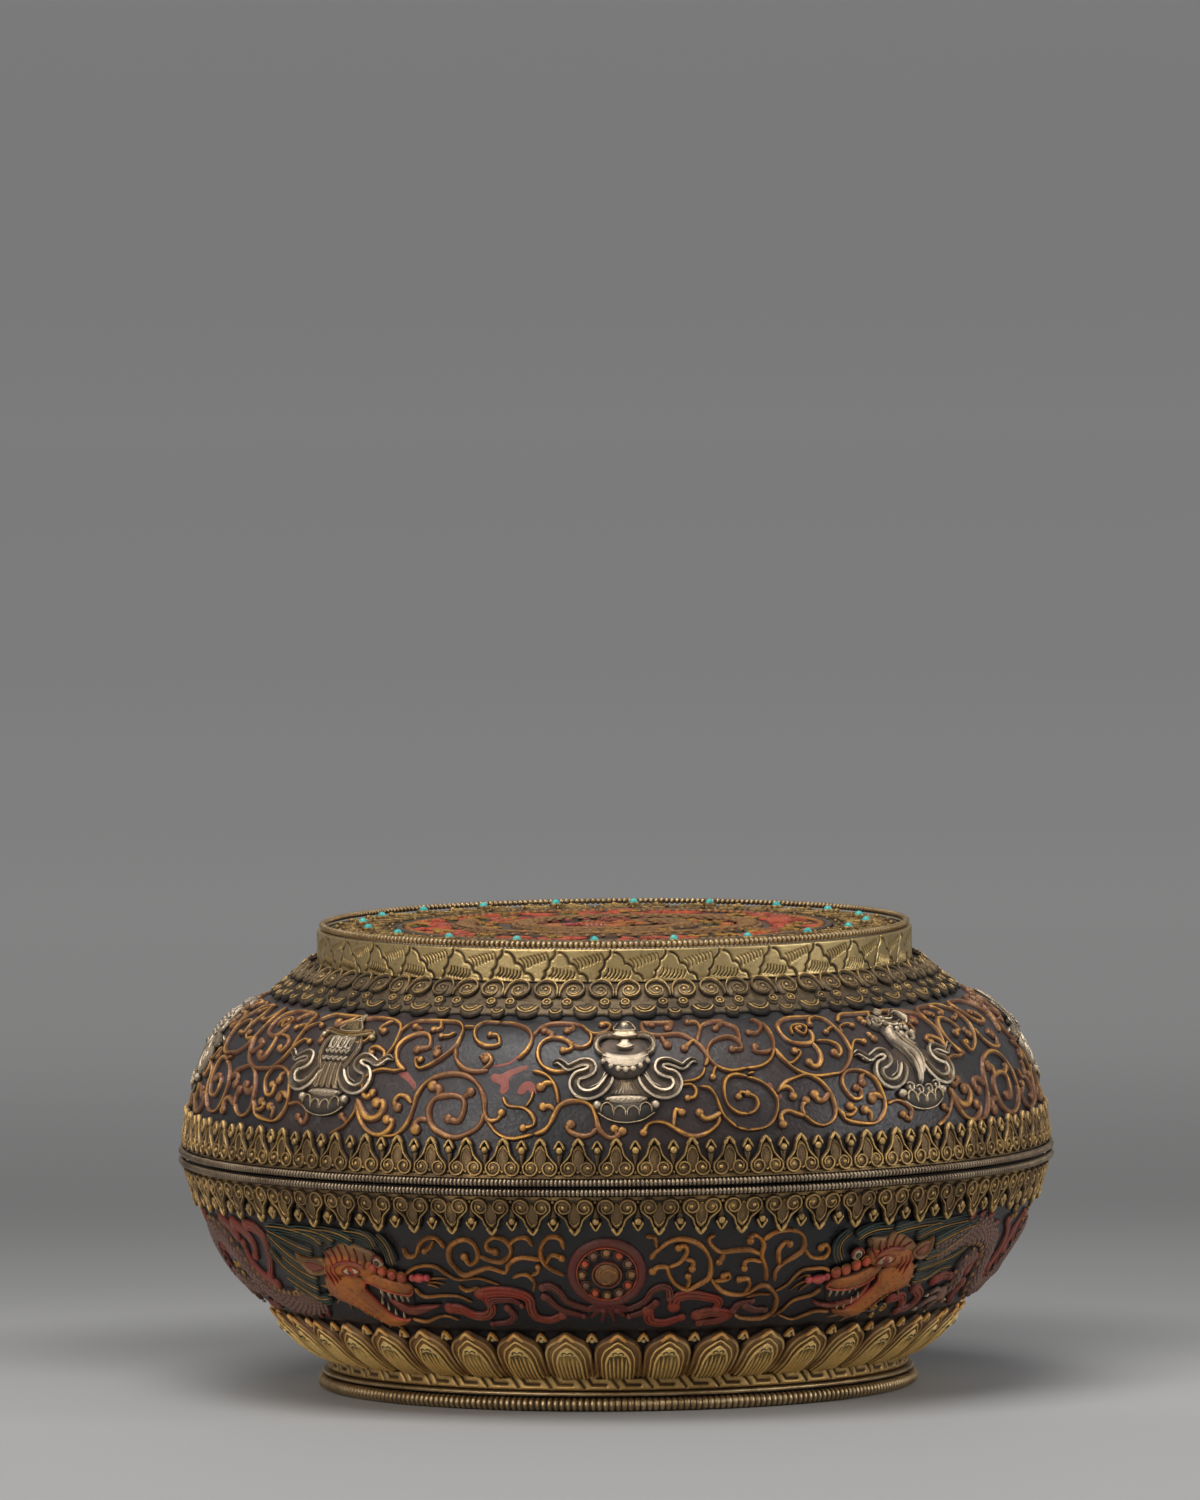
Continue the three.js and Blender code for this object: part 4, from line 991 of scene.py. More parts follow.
def scaleEngraving():
    # overlapping scallops with hatching under their edges, as feathers or waves
    top = bandBox["high"] - bandBox["low"] - 0.45
    scallops = [
        [(0, 0.3), (0.65, 0.4), (1.3, 0.8), (1.9, 1.5), (2.2, 2.4)],
        [(2.3, 2.8), (3.1, 2.9), (3.9, 3.5), (4.4, 4.8)],
        [(4.6, 5.1), (5.4, 5.2), (6.1, 5.7), (6.5, 6.7)], [(11.7, 0), (11.65, 0.8), (11.1, 1.6), (10.3, 2.1)],
        [(10.4, 2.2), (10.3, 3.3), (9.8, 4.1), (9.2, 4.6)], [(9.4, 4.7), (9.35, 5.6), (8.8, 6.4)],
    ]
    strokes, stroke = [], ((0, 0), (0.6, 0.5), (1.0, 1.2), (1.1, 2.1))
    for i in range(8):
        x, y, size = 3.4 + 0.86 * i, 1.75 - 0.2 * i, 1.05 - 0.06 * i
        strokes.append([(x + size * px, y + size * py) for px, py in stroke])
    for i in range(7):
        x, y = -1.4 + 0.82 * i, 3.8 + 0.13 * i
        strokes.append([(x, y), (x, y + 0.8), (x - 0.4, y + 1.5), (x - 1.0, y + 2.0)])
    return [([(x, top - y) for x, y in line], width) for group, width in ((scallops, 0.6), (strokes, 0.3))
            for line in group]


def keyEngraving():
    # two hooks that never meet, as a broken key fret
    first = [(0.3, 3.9), (1.9, 1.3), (5.1, 1.25)]
    second = [(3.2, 3.05), (6.1, 3.1), (7.9, 0.6)]
    return [(first, 0.6), (second, 0.6)]


bands = {
    "top": {
        "radius": bandBox["radius"] - 0.3, "count": 34, "columns": 60, "rows": 36, "depth": 0.3,
        "thickness": 1.5, "edge": {"high": 0.3, "round": 0.18, "flare": 0.25, "flareHigh": 0.5},
    },
    "foot": {
        "radius": footBox["radius"], "count": 54, "columns": 31, "rows": 19, "depth": 0.38,
        "thickness": 0.9, "edge": {"high": 0.3, "round": 0.18, "flare": 0.0, "flareHigh": 0.5},
    },
}

palmetteRings()
lotusRing()
cloudBorder()
report("gilt relief rings")
engravedBand("engraved_top_band", bands["top"], scaleEngraving(), "oldBrass", "lid", "top_band")
engravedBand("key_fret_band", bands["foot"], keyEngraving(), "keyBrass", "base", "foot_band")
report("engraved bands")

# Gold vines on the lid, in two fields that take turns between the emblems
vineLook = {"turn": 1.4, "height": 0.9, "bulb": 0.8, "swell": 0.17, "fields": 4}
# ends that swell to a bulb: s at the start, e at the end; width; knots from the field's left edge
vineStrokes = {
    "afterVase": [
        ("s", 1.5, [(11.2, 38.9), (12.6, 41.2), (10.7, 41.3), (7.1, 41.3), (4.7, 41.3), (5.1, 37.6),
                    (8.3, 36.4), (13.6, 36.7), (16.9, 34.7), (19, 32), (19.7, 29.6), (18.8, 27.5)]),
        ("e", 1.2, [(5.2, 41), (7.2, 40.3)]),
        ("e", 1.6, [(9.2, 36.1), (9.7, 34.4), (10.4, 33.4)]),
        ("e", 1.4, [(18.1, 34.3), (16.4, 34.1), (14.4, 32.3)]),
        ("", 1.6, [(26.7, 41.3), (23.6, 41.3), (20.4, 39.8), (18.9, 36.8), (17.9, 34.3)]),
        ("s", 1.3, [(16.9, 41.3), (18.6, 41.3), (19.4, 40.7), (19.5, 38)]),
        ("", 1.0, [(18.6, 27.1), (17.8, 25.3), (15.9, 24.1), (12.8, 23.7)]),
        ("e", 1.2, [(12.9, 22.9), (15, 23), (16, 21.6), (15.4, 20), (13.9, 19.8)]),
        ("", 1.1, [(16.9, 22.5), (19, 22.1), (20.4, 20.2), (21.1, 17.7), (22.1, 15.4), (24.6, 12.9)]),
        ("e", 1.5, [(21.3, 16.4), (19.7, 15.4), (17.6, 15), (16.4, 16.4)]),
        ("e", 1.3, [(20.9, 15.4), (20.5, 13.9), (18.7, 12.3), (16.3, 11.2), (13.9, 11.2), (11.4, 12.5),
                    (8.8, 14.1), (6.5, 14.5), (4.7, 13.9), (3.7, 12.1)]),
        ("e", 1.4, [(10.4, 13.1), (10.6, 15.2), (11.1, 17.2), (12.4, 16.6)]),
        ("e", 1.2, [(34.2, 41.3), (35.4, 41.3), (36.1, 39.7), (35.5, 37.6), (33.5, 36.1), (31.8, 36.4)]),
        ("s", 1.3, [(32.1, 32.1), (31.7, 31.2), (32.7, 30.6), (34.7, 30.6), (36.1, 31.3)]),
        ("", 1.3, [(36.6, 40.1), (37.3, 37.4), (37.5, 34.4), (36.9, 31.7), (35.4, 28.9), (33.1, 27.3),
                   (30.5, 26.6), (28.8, 26.6)]),
        ("", 1.0, [(28.6, 25.1), (30.3, 25.5)]),
        ("e", 1.4, [(37, 31.5), (37.8, 29.4), (39.8, 27.3), (43, 29.3), (43.1, 30.4), (41.9, 30.4)]),
        ("e", 1.2, [(38.2, 28.6), (39.9, 26.5), (42.3, 24.8), (45.6, 23.9), (49.7, 24.1), (52.9, 24.6),
                    (55.9, 27), (57.7, 29.9), (59.9, 32.3), (62.4, 31.8)]),
        ("s", 1.0, [(46.3, 37.3), (44.9, 37), (46.4, 35), (48.2, 37.3), (46.2, 38.3), (43.8, 37.4),
                    (43.4, 35.2)]),
        ("", 1.6, [(48.4, 36.4), (48.7, 34.6), (47.6, 32.7), (45, 32.3), (41.7, 33.2), (40.3, 35.8),
                   (40.9, 38.9), (44.6, 41.3), (49.6, 41.3), (52.9, 41.3)]),
        ("", 1.2, [(52.7, 41.3), (55.3, 40), (56.2, 37.3), (57, 34.7), (57.3, 31.8), (57.4, 29.4)]),
        ("s", 1.3, [(49.9, 38.2), (50.9, 40.1), (53.3, 41.2)]),
        ("s", 1.2, [(53, 35.3), (55, 36.5), (56.5, 36.7)]),
        ("e", 1.5, [(47.5, 32.4), (48.3, 30.7), (48.5, 28.5), (47.2, 26.5), (45.6, 26.3), (44.8, 27.3)]),
        ("e", 1.4, [(48.9, 32.9), (52.2, 32.6), (54.2, 31.3), (54.5, 29.6), (53.3, 28.5), (52.4, 29.4)]),
        ("e", 1.5, [(58.8, 38.6), (61.9, 41.3), (66.6, 41.3), (71.1, 41.3), (71.7, 41.3), (70.3, 39.4),
                    (67, 37.4), (66.6, 38.8)]),
        ("s", 1.2, [(62.1, 36.8), (60.6, 37.6), (57.9, 36.5), (57.6, 34.7)]),
        ("", 1.0, [(70.7, 41.3), (73.3, 41.3)]),
        ("e", 1.4, [(65, 34.3), (66.2, 32.4)]),
        ("", 1.1, [(28.4, 24.3), (30.5, 23.7), (32.7, 22.3), (34.3, 20.3), (34.9, 18.5), (34.4, 16),
                   (33, 13.7), (30.8, 12.5), (27.2, 12.1)]),
        ("e", 1.2, [(27.5, 15.8), (29.1, 16.4), (30.1, 17.9), (29.7, 19.6), (27.9, 20.5)]),
        ("", 1.3, [(35.1, 20.5), (37.4, 22.7), (40.1, 23.7), (43.1, 24.3), (46, 23), (47.8, 20.9),
                   (48.8, 18.5), (49.1, 15.6), (48, 13.5), (45.6, 12.5), (43.2, 13.1), (40.9, 15)]),
        ("e", 1.5, [(35.8, 21.1), (37.5, 21.8), (38.8, 20.9), (38.9, 19.4)]),
        ("se", 1.5, [(41.9, 18.3), (40.7, 16.8), (40.8, 15), (38.8, 15.6), (37, 16.2), (35.3, 15.2),
                     (35.6, 13.1)]),
        ("s", 1.7, [(44.3, 19.6), (45, 18.3), (46.7, 18.3), (48, 19.8)]),
        ("e", 1.3, [(49, 16.6), (50.7, 14.8), (51.1, 13.7), (52.8, 12.9), (56.2, 12.3), (59.3, 12.3),
                    (61.4, 13.7), (62.8, 16.2), (62.5, 19.1), (61.3, 22.5), (57.9, 24.6), (54.1, 24.6),
                    (52.3, 22.5), (52.6, 20.2), (54.3, 18.1), (56.4, 18.3), (56.6, 20.2), (55.6, 20.5)]),
        ("s", 1.5, [(53, 16.4), (54.4, 15.6), (53, 14.5), (51.3, 14.5)]),
        ("s", 1.6, [(56.8, 15.4), (58.2, 14.8), (58.1, 12.7)]),
        ("s", 1.6, [(59.4, 17.7), (59, 18.7), (60.9, 18.7), (62.4, 17.7)]),
        ("s", 1.4, [(57.7, 21.6), (57.8, 23), (58.8, 23.7)]),
        ("e", 1.3, [(63.5, 16.4), (66.2, 17), (69, 16), (70.3, 14.3), (69.2, 12.3), (67.4, 13.7)]),
        ("e", 1.2, [(28.8, 26.6), (24.3, 26.1), (20.9, 28), (19.8, 31), (21.6, 34), (25.6, 35.4),
                    (28.2, 34.2), (28.6, 31.8), (26.1, 31.6)]),
        ("", 1.3, [(23.6, 41.3), (26.9, 40.2), (29, 38), (28.9, 35.4), (28.6, 33.4)]),
        ("s", 1.2, [(23.5, 38.2), (24.8, 39.6), (26.4, 40.4)]),
        ("e", 1.2, [(21.4, 27.4), (20.6, 26), (20.2, 24.6)]),
        ("", 1.2, [(28.4, 24.5), (25.6, 25.1), (23.4, 24.2), (22.5, 21.6), (23, 18.2), (25.2, 16.2),
                   (27.5, 15.8)]),
        ("e", 1.2, [(27.9, 20.5), (26.4, 20.9), (25.7, 19.8)]),
        ("", 1.1, [(24.6, 12.9), (27.2, 12.1)]),
    ],
    "afterBanner": [
        ("s", 1.3, [(4.7, 35.6), (6.4, 35.8), (6.8, 33.7), (4.7, 32.4), (1.4, 33.1), (-0.3, 35.3),
                    (-0.7, 38.9), (2, 41.3), (7.6, 41.2), (11.8, 40), (14.5, 37.6), (15.6, 32.9),
                    (14.6, 29.4), (13, 27.1)]),
        ("s", 1.5, [(10, 36.4), (8.2, 37.1), (8.8, 39.2), (10, 40.4)]),
        ("s", 1.4, [(10, 29.8), (9, 31), (10.7, 31.7), (13.6, 30.4), (14.2, 28.3)]),
        ("e", 1.2, [(15.1, 36.1), (15.9, 39.2), (18.1, 41), (21.2, 41.3), (25.6, 41.3), (29.8, 40.9),
                    (32.4, 38.2), (32.8, 34.4), (32.2, 32.1), (30.2, 29.9), (27.6, 27.8), (24.8, 26.6),
                    (23.6, 27.6), (23.1, 29.1), (24.4, 28.8)]),
        ("s", 1.3, [(18.3, 38.6), (20.4, 37.9), (19.8, 37.1)]),
        ("s", 1.4, [(24.3, 37.7), (26, 38.3), (24.4, 41.3)]),
        ("s", 1.2, [(27.5, 35.6), (29.6, 35.8), (30.9, 37)]),
        ("s", 1.6, [(22.5, 31.5), (24.1, 32.1), (25.5, 32.4), (24.2, 35.5), (21.2, 36.4), (18, 34.4),
                    (16.8, 31.8), (17.6, 29.1), (19.2, 27.1), (21.1, 26.1)]),
        ("s", 1.6, [(28.2, 30.7), (27.5, 32), (28.5, 32.6)]),
        ("", 1.2, [(10.8, 20.3), (10.6, 23.2), (12.2, 25.1), (15, 26), (18.5, 25.8), (20.7, 26.5)]),
        ("s", 1.5, [(13.8, 20.3), (12.3, 19.2), (10.8, 20.3)]),
        ("s", 1.9, [(15.3, 18.1), (16.8, 18.5), (17.4, 17), (16, 14.8), (13.3, 14.6), (11.1, 16.6),
                    (9.7, 18.7)]),
        ("e", 1.7, [(9.8, 18.1), (11.2, 14.6), (13.8, 11.6), (17.1, 10.8), (19.6, 12.1), (20.2, 14.1),
                    (18.7, 14.3)]),
        ("", 1.2, [(9.8, 18.1), (9.7, 15.8), (7.2, 12.5), (3.4, 10.4)]),
        ("s", 1.2, [(6.2, 14.6), (7.7, 13.3)]),
        ("s", 1.6, [(21.1, 17.2), (20, 18.3), (20.9, 20), (22.9, 19.8), (24.6, 18.3)]),
        ("e", 1.4, [(17.7, 10.6), (21.4, 11), (23.9, 13.5), (25.1, 17.2), (25.5, 20), (26.9, 22.7),
                    (29.3, 24.6), (33.3, 25.6), (37.3, 25.1), (40.3, 23), (42, 20), (42.6, 16.6),
                    (43.6, 14.8), (45.8, 15.2), (46.5, 16.6)]),
        ("e", 1.6, [(42.4, 16.6), (41.8, 14.1), (39.6, 12.1), (35.6, 10.8), (31.7, 12.1), (29.7, 14.1),
                    (29, 17), (30, 19.4), (31.8, 20.2), (34.8, 20.5), (37.1, 19.6), (37.6, 17.5),
                    (36.6, 14.6), (34.1, 15)]),
        ("e", 1.9, [(30.8, 19.6), (31, 21.8), (29.2, 22.5)]),
        ("e", 1.6, [(37, 19.8), (38.7, 21.3)]),
        ("e", 1.9, [(29.1, 14.5), (27.4, 14.8), (26.1, 14.1), (26.3, 12.3)]),
        ("s", 1.3, [(40.4, 36.5), (42.5, 36.2), (43.5, 33.5), (40.2, 33.1), (37.1, 35), (35.7, 38.8),
                    (37.3, 41.3), (41.7, 41.3)]),
        ("", 1.1, [(32.2, 39.1), (35.5, 39.2)]),
        ("", 1.4, [(32.7, 32.1), (33.6, 29.3), (36.1, 27), (39.2, 26.3), (42.2, 26.6)]),
        ("s", 1.5, [(41.1, 29.4), (39.8, 30.1), (41.1, 30.7), (42.5, 29.4), (42, 27.8), (40.5, 26.6)]),
        ("s", 1.4, [(68.9, 40.7), (70, 41.3), (71.1, 40.1), (70.1, 37.9), (67.5, 37.1), (65.5, 38),
                    (63.7, 40.1), (60.8, 41.3), (56.6, 41.3), (53.5, 40), (51.5, 36.4)]),
        ("e", 1.3, [(65.7, 37.9), (66.4, 35.8), (65.8, 33.7), (63.9, 32.9), (61.6, 33.7)]),
        ("s", 1.5, [(60, 38.3), (61.3, 39.1), (61.5, 40.7)]),
        ("s", 1.3, [(59.7, 32), (61.4, 32.3), (61.6, 33.7), (58.9, 35.6), (55.9, 35.5), (53.9, 33.7),
                    (53.7, 30.7), (55, 28.1), (57.6, 26.6), (60, 26.5), (62.1, 27.1)]),
        ("s", 1.4, [(54.2, 38.2), (56.5, 37.1), (55.7, 35.6)]),
        ("", 1.2, [(52.9, 26.6), (55.1, 26.1), (57.1, 24.9), (58.6, 22.5), (59.4, 18.9)]),
        ("s", 1.6, [(55.1, 22.7), (56.3, 23.7), (58.1, 23.7)]),
        ("s", 1.5, [(55.9, 18.1), (57.5, 18.3), (58.7, 17.2)]),
        ("e", 1.5, [(54, 11.8), (56, 12.5), (57.4, 13.9), (58.3, 15.8), (59.6, 18.3), (61.9, 19.4),
                    (64.8, 19.4), (66.9, 18.1), (67.9, 15.6), (68.4, 13.3), (70.1, 11.4), (71.9, 11),
                    (73.6, 12.5)]),
        ("s", 1.4, [(71.9, 13.1), (72.4, 12.1), (71.9, 11.2)]),
        ("s", 1.5, [(62.2, 14.1), (61.5, 13.5), (62.4, 12.3), (64.7, 11.4), (66.7, 11.8), (68, 13.1)]),
        ("", 1.3, [(41.7, 41.3), (45.6, 40.9), (49.4, 39), (51.4, 36), (51, 32.4), (49, 29.6)]),
        ("e", 1.3, [(46.6, 20.3), (47.9, 18.3), (51.5, 17.8), (53.6, 16.1), (54, 14), (51.6, 13.2)]),
        ("", 1.1, [(53.5, 21.7), (53.1, 19.8), (52, 18.1)]),
        ("", 1.2, [(43.2, 14.9), (45.8, 12), (49.1, 10.8), (54, 11.8)]),
    ],
}
paints["vine"] = paintOf((106, 72, 48), 0.35)
paints["chip"] = paintOf((176, 96, 82))
# where the lacquer is gone down to the salmon ground: knots round the lid from its front
chipPatches = [
    [(-53.3, 25.5), (-51.2, 26.1), (-49.3, 24.6), (-47.6, 22.9), (-47.7, 21.3), (-49.5, 23.0), (-51.9, 24.4)],
    [(-29.6, 25.2), (-28.6, 26.1), (-27.2, 25.8), (-25.2, 27.0), (-22.6, 28.0), (-20.6, 28.2), (-20.8, 27.2),
     (-23.6, 26.0), (-24.8, 24.4), (-24.6, 22.2), (-25.8, 20.8), (-26.8, 21.4), (-26.8, 23.2), (-28.8, 23.9)],
    [(-76.1, 38.2), (-76.0, 39.5), (-74.1, 39.2), (-72.8, 37.6), (-73.7, 36.7)],
    [(35.4, 22.7), (36.3, 22.9), (36.9, 21.4), (36.7, 20.5), (35.7, 20.5)],
    [(37.2, 19.8), (38.5, 20.2), (38.7, 19.4), (37.5, 18.9)],
    [(90.2, 40.9), (92.2, 41.0), (92.5, 39.1), (90.0, 37.6), (87.9, 38.2)],
    [(-22.8, 21.4), (-22.0, 23.4), (-20.2, 24.4), (-18.6, 23.6), (-17.9, 21.6), (-19.0, 20.8), (-20.0, 22.0),
     (-21.4, 20.8)],
]
chipStrokes = [[(-29.4, 27.8), (-27.0, 28.2), (-24.9, 29.0), (-23.3, 30.9)]]


def vineField(art, strokes, start, paint):
    for ends, width, knots in strokes:
        line = [(x + start, y, 1 + vineLook["swell"] * math.sin(1.7 * place + x))
                for place, (x, y) in enumerate(knots)]
        if "s" in ends:
            line[0] = (*line[0][:2], 1.25)
        if "e" in ends:
            line[-1] = (*line[-1][:2], 1.25)
        ridge(art, line, width * 1.05, vineLook["height"], paint, 0.0, "vine", step=0.85, ends=(0.55, 0.55))
        for mark, (x, y) in (("s", line[0][:2]), ("e", line[-1][:2])):
            if mark in ends:
                bead(art, x, y, width * vineLook["bulb"], vineLook["height"] * 1.2, paint, 0.0, 10)


def lidVines():
    art = newDrawing()
    span = lidReach * 2 * math.pi / 8
    vineField(art, vineStrokes["afterVase"], 0.0, "vine")
    vineField(art, vineStrokes["afterBanner"], -span, "vine")
    buildRelief("lid_vines", art, bentOn(lidWall, lidReach, turn=vineLook["turn"]),
                "wornGold", "lid", count=vineLook["fields"])


def lacquerChips():
    art = newDrawing()
    for patch in chipPatches:
        leaf(art, patch, 0.1, "chip", -0.04, "plate", lift=0.5)
    for line in chipStrokes:
        ridge(art, line, 0.95, 0.1, "chip", -0.03, "thin", lift=0.5)
    buildRelief("lacquer_chips", art, bentOn(lidWall, lidReach),
                "paintedRelief", "lid")


lidVines()
lacquerChips()
report("vines on the lid")


# Eight silver emblems, drawn from their centre with x to the right and y up the wall
paints["silver"] = paintOf((196, 180, 158), 0.9)
paints["shade"] = paintOf((86, 74, 64), 0.5)
paints["oldBlack"] = paintOf((56, 53, 50), 0.4)
paints["brass"] = paintOf((184, 158, 106), 0.85)
emblemLook = {"centre": 28.0, "turn": 1.4}


def emblemBase(art):
    # a painted shade sheet under the ribbons, a pair of ribbons and the cushion that every emblem has
    shadeSheet = [(0.4, 1.4), (6.4, 0.6), (9.8, -1.2), (11.4, -3.6), (10.4, -6.4), (7.4, -7.4), (0.4, -8.4)]
    pair(leaf, art, shadeSheet, 0.4, "shade", 0.05, "plate", lift=0.35)
    knots = [(3.4, -2.4, 0.8), (4.4, -4.6), (6.2, -6.5), (8.6, -7.3), (10.8, -6.6), (11.8, -4.7),
             (11.0, -2.9), (9.2, -2.3), (7.8, -1.3), (8.2, 0.2, 0.9), (9.9, 0.5, 0.85), (11.6, -0.1, 0.75),
             (13.3, -0.8, 0.7), (14.5, 0.1, 0.62), (15.8, 0.9, 0.55), (17.2, 0.4, 0.3)]
    pair(ridge, art, knots, 2.6, 1.35, "silver", 0.1, "ribbon", step=0.6)
    pair(bead, art, (14.6, -0.6), 0.42, 0.7, "silver", 0.1)
    pair(ridge, art, [(4.6, -1.6), (6.0, -4.2), (8.2, -5.4)], 0.3, 0.35, "silver", 0.4, "thin")
    cushion = bothSides([(0, -8.6), (4.2, -8.8), (6.6, -9.2), (7.0, -10.2), (6.0, -11.8), (3.4, -13.2),
                         (0, -13.8)])
    leaf(art, cushion, 1.35, "oldBlack", 0.05, heart=((-3.4, -10.7), (3.4, -10.7)), lift=0.55)
    for x in (-4.3, -1.5, 1.5, 4.3):
        low = -12.9 + abs(x) * 0.28
        ridge(art, [(x - 1.3, low + 0.3), (x - 1.15, low + 1.7), (x, low + 2.5), (x + 1.15, low + 1.7),
                        (x + 1.3, low + 0.3)], 0.45, 0.55, "brass", 1.15)
    ridge(art, [(-6.4, -11.3), (-3.6, -13.0), (0, -13.6), (3.6, -13.0), (6.4, -11.3)], 0.45, 0.5,
          "brass", 0.5)
    pair(bead, art, (6.5, -9.6), 1.05, 1.7, "silver", 0.1, 12)
    pair(ridge, art, arcLine(6.5, -9.6, 0.5, 0.5, 0, 300, 50), 0.3, 0.3, "silver", 1.45, "thin")


def braidedDisc(art):
    disc = bothSides([(0, -7.3), (3.4, -7.5), (5.0, -8.2), (3.8, -9.2), (0, -9.7)])
    leaf(art, disc, 1.35, "silver", 0.1, heart=((-2.6, -8.4), (2.6, -8.4)), lift=0.7)
    for x in np.linspace(-3.9, 3.9, 8):
        drop = 0.035 * x * x
        ridge(art, [(x - 0.65, -9.1 + drop * 1.2), (x, -8.5), (x + 0.65, -7.9 - drop * 0.5)], 0.5,
              0.5, "silver", 1.1)


def vase(art):
    leaf(art, bothSides([(0, 7.4), (4.2, 7.2), (6.0, 5.4), (5.4, 2.6), (0, 1.4)]), 0.45, "shade",
         0.05, "plate", lift=0.3)
    leaf(art, bothSides([(0, 13.1), (1.4, 12.4), (2.3, 11.0), (2.6, 9.3)]), 1.3, "oldBlack", 0.1, lift=0.8)
    ridge(art, bothSides([(0, 13.0), (1.4, 12.3), (2.2, 11.0), (2.5, 9.5)])[::-1], 0.45, 0.7, "brass", 0.6)
    bead(art, 0, 11.0, 1.15, 1.1, "silver", 0.9, 12)
    leaf(art, bothSides([(0, 9.6), (2.4, 9.5), (3.2, 7.6), (0, 7.1)]), 1.3, "brass", 0.2,
         heart=((-1.6, 8.3), (1.6, 8.3)))
    ridge(art, [(-3.1, 7.7), (-1.6, 7.3), (0, 7.15), (1.6, 7.3), (3.1, 7.7)], 0.55, 0.55, "silver", 1.1)
    leaf(art, bothSides([(0, 7.0), (1.1, 6.9), (1.2, 5.9), (2.2, 4.9), (1.5, 4.2), (0, 3.9)]), 1.0,
         "silver", 0.3)
    ridge(art, [(-2.1, 4.9), (-1.1, 4.3), (0, 4.1), (1.1, 4.3), (2.1, 4.9)], 0.5, 0.5, "silver", 1.0)
    belly = bothSides([(0, 2.6), (2.8, 2.9), (4.9, 3.6), (5.7, 2.2), (5.4, 0.2), (4.3, -1.8), (2.4, -3.2),
                       (0, -3.7)])
    leaf(art, belly, 1.7, "silver", 0.1, heart=((-2.6, 0.6), (2.6, 0.6)), lift=0.72)
    ridge(art, [(-5.5, 2.0), (-3.2, 1.1), (0, 0.7), (3.2, 1.1), (5.5, 2.0)], 0.4, 0.45, "silver",
          1.45, "thin")
    lower = bothSides([(0, -0.1), (2.8, 0.3), (5.5, 1.6), (5.5, 0.2), (4.5, -1.9), (2.6, -3.4), (0, -3.9)])
    leaf(art, lower, 1.62, "shade", 0.12, heart=((-2.6, -0.6), (2.6, -0.6)), lift=0.15)
    for place in range(-3, 4):
        x, y = 1.72 * place, -1.75 + 0.24 * place * place
        bead(art, x, y, 0.84 - 0.05 * abs(place), 1.3, "silver", 1.2 - 0.12 * abs(place), 12)
    leaf(art, bothSides([(0, -3.6), (1.5, -3.7), (2.1, -5.4), (3.4, -7.2)]), 0.9, "silver", 0.2, lift=0.6)
    for share in np.linspace(-1, 1, 8):
        ridge(art, [(share * 1.1, -3.8), (share * 1.7, -5.4), (share * 3.1, -7.1)], 0.5, 0.5, "silver",
              0.85, "sharp")
    braidedDisc(art)
    pair(ridge, art, [(2.7, 7.9), (4.4, 8.2), (6.3, 7.4), (7.0, 5.7), (6.6, 4.0), (5.2, 2.8)], 1.35,
         1.35, "silver", 0.1, "twin")


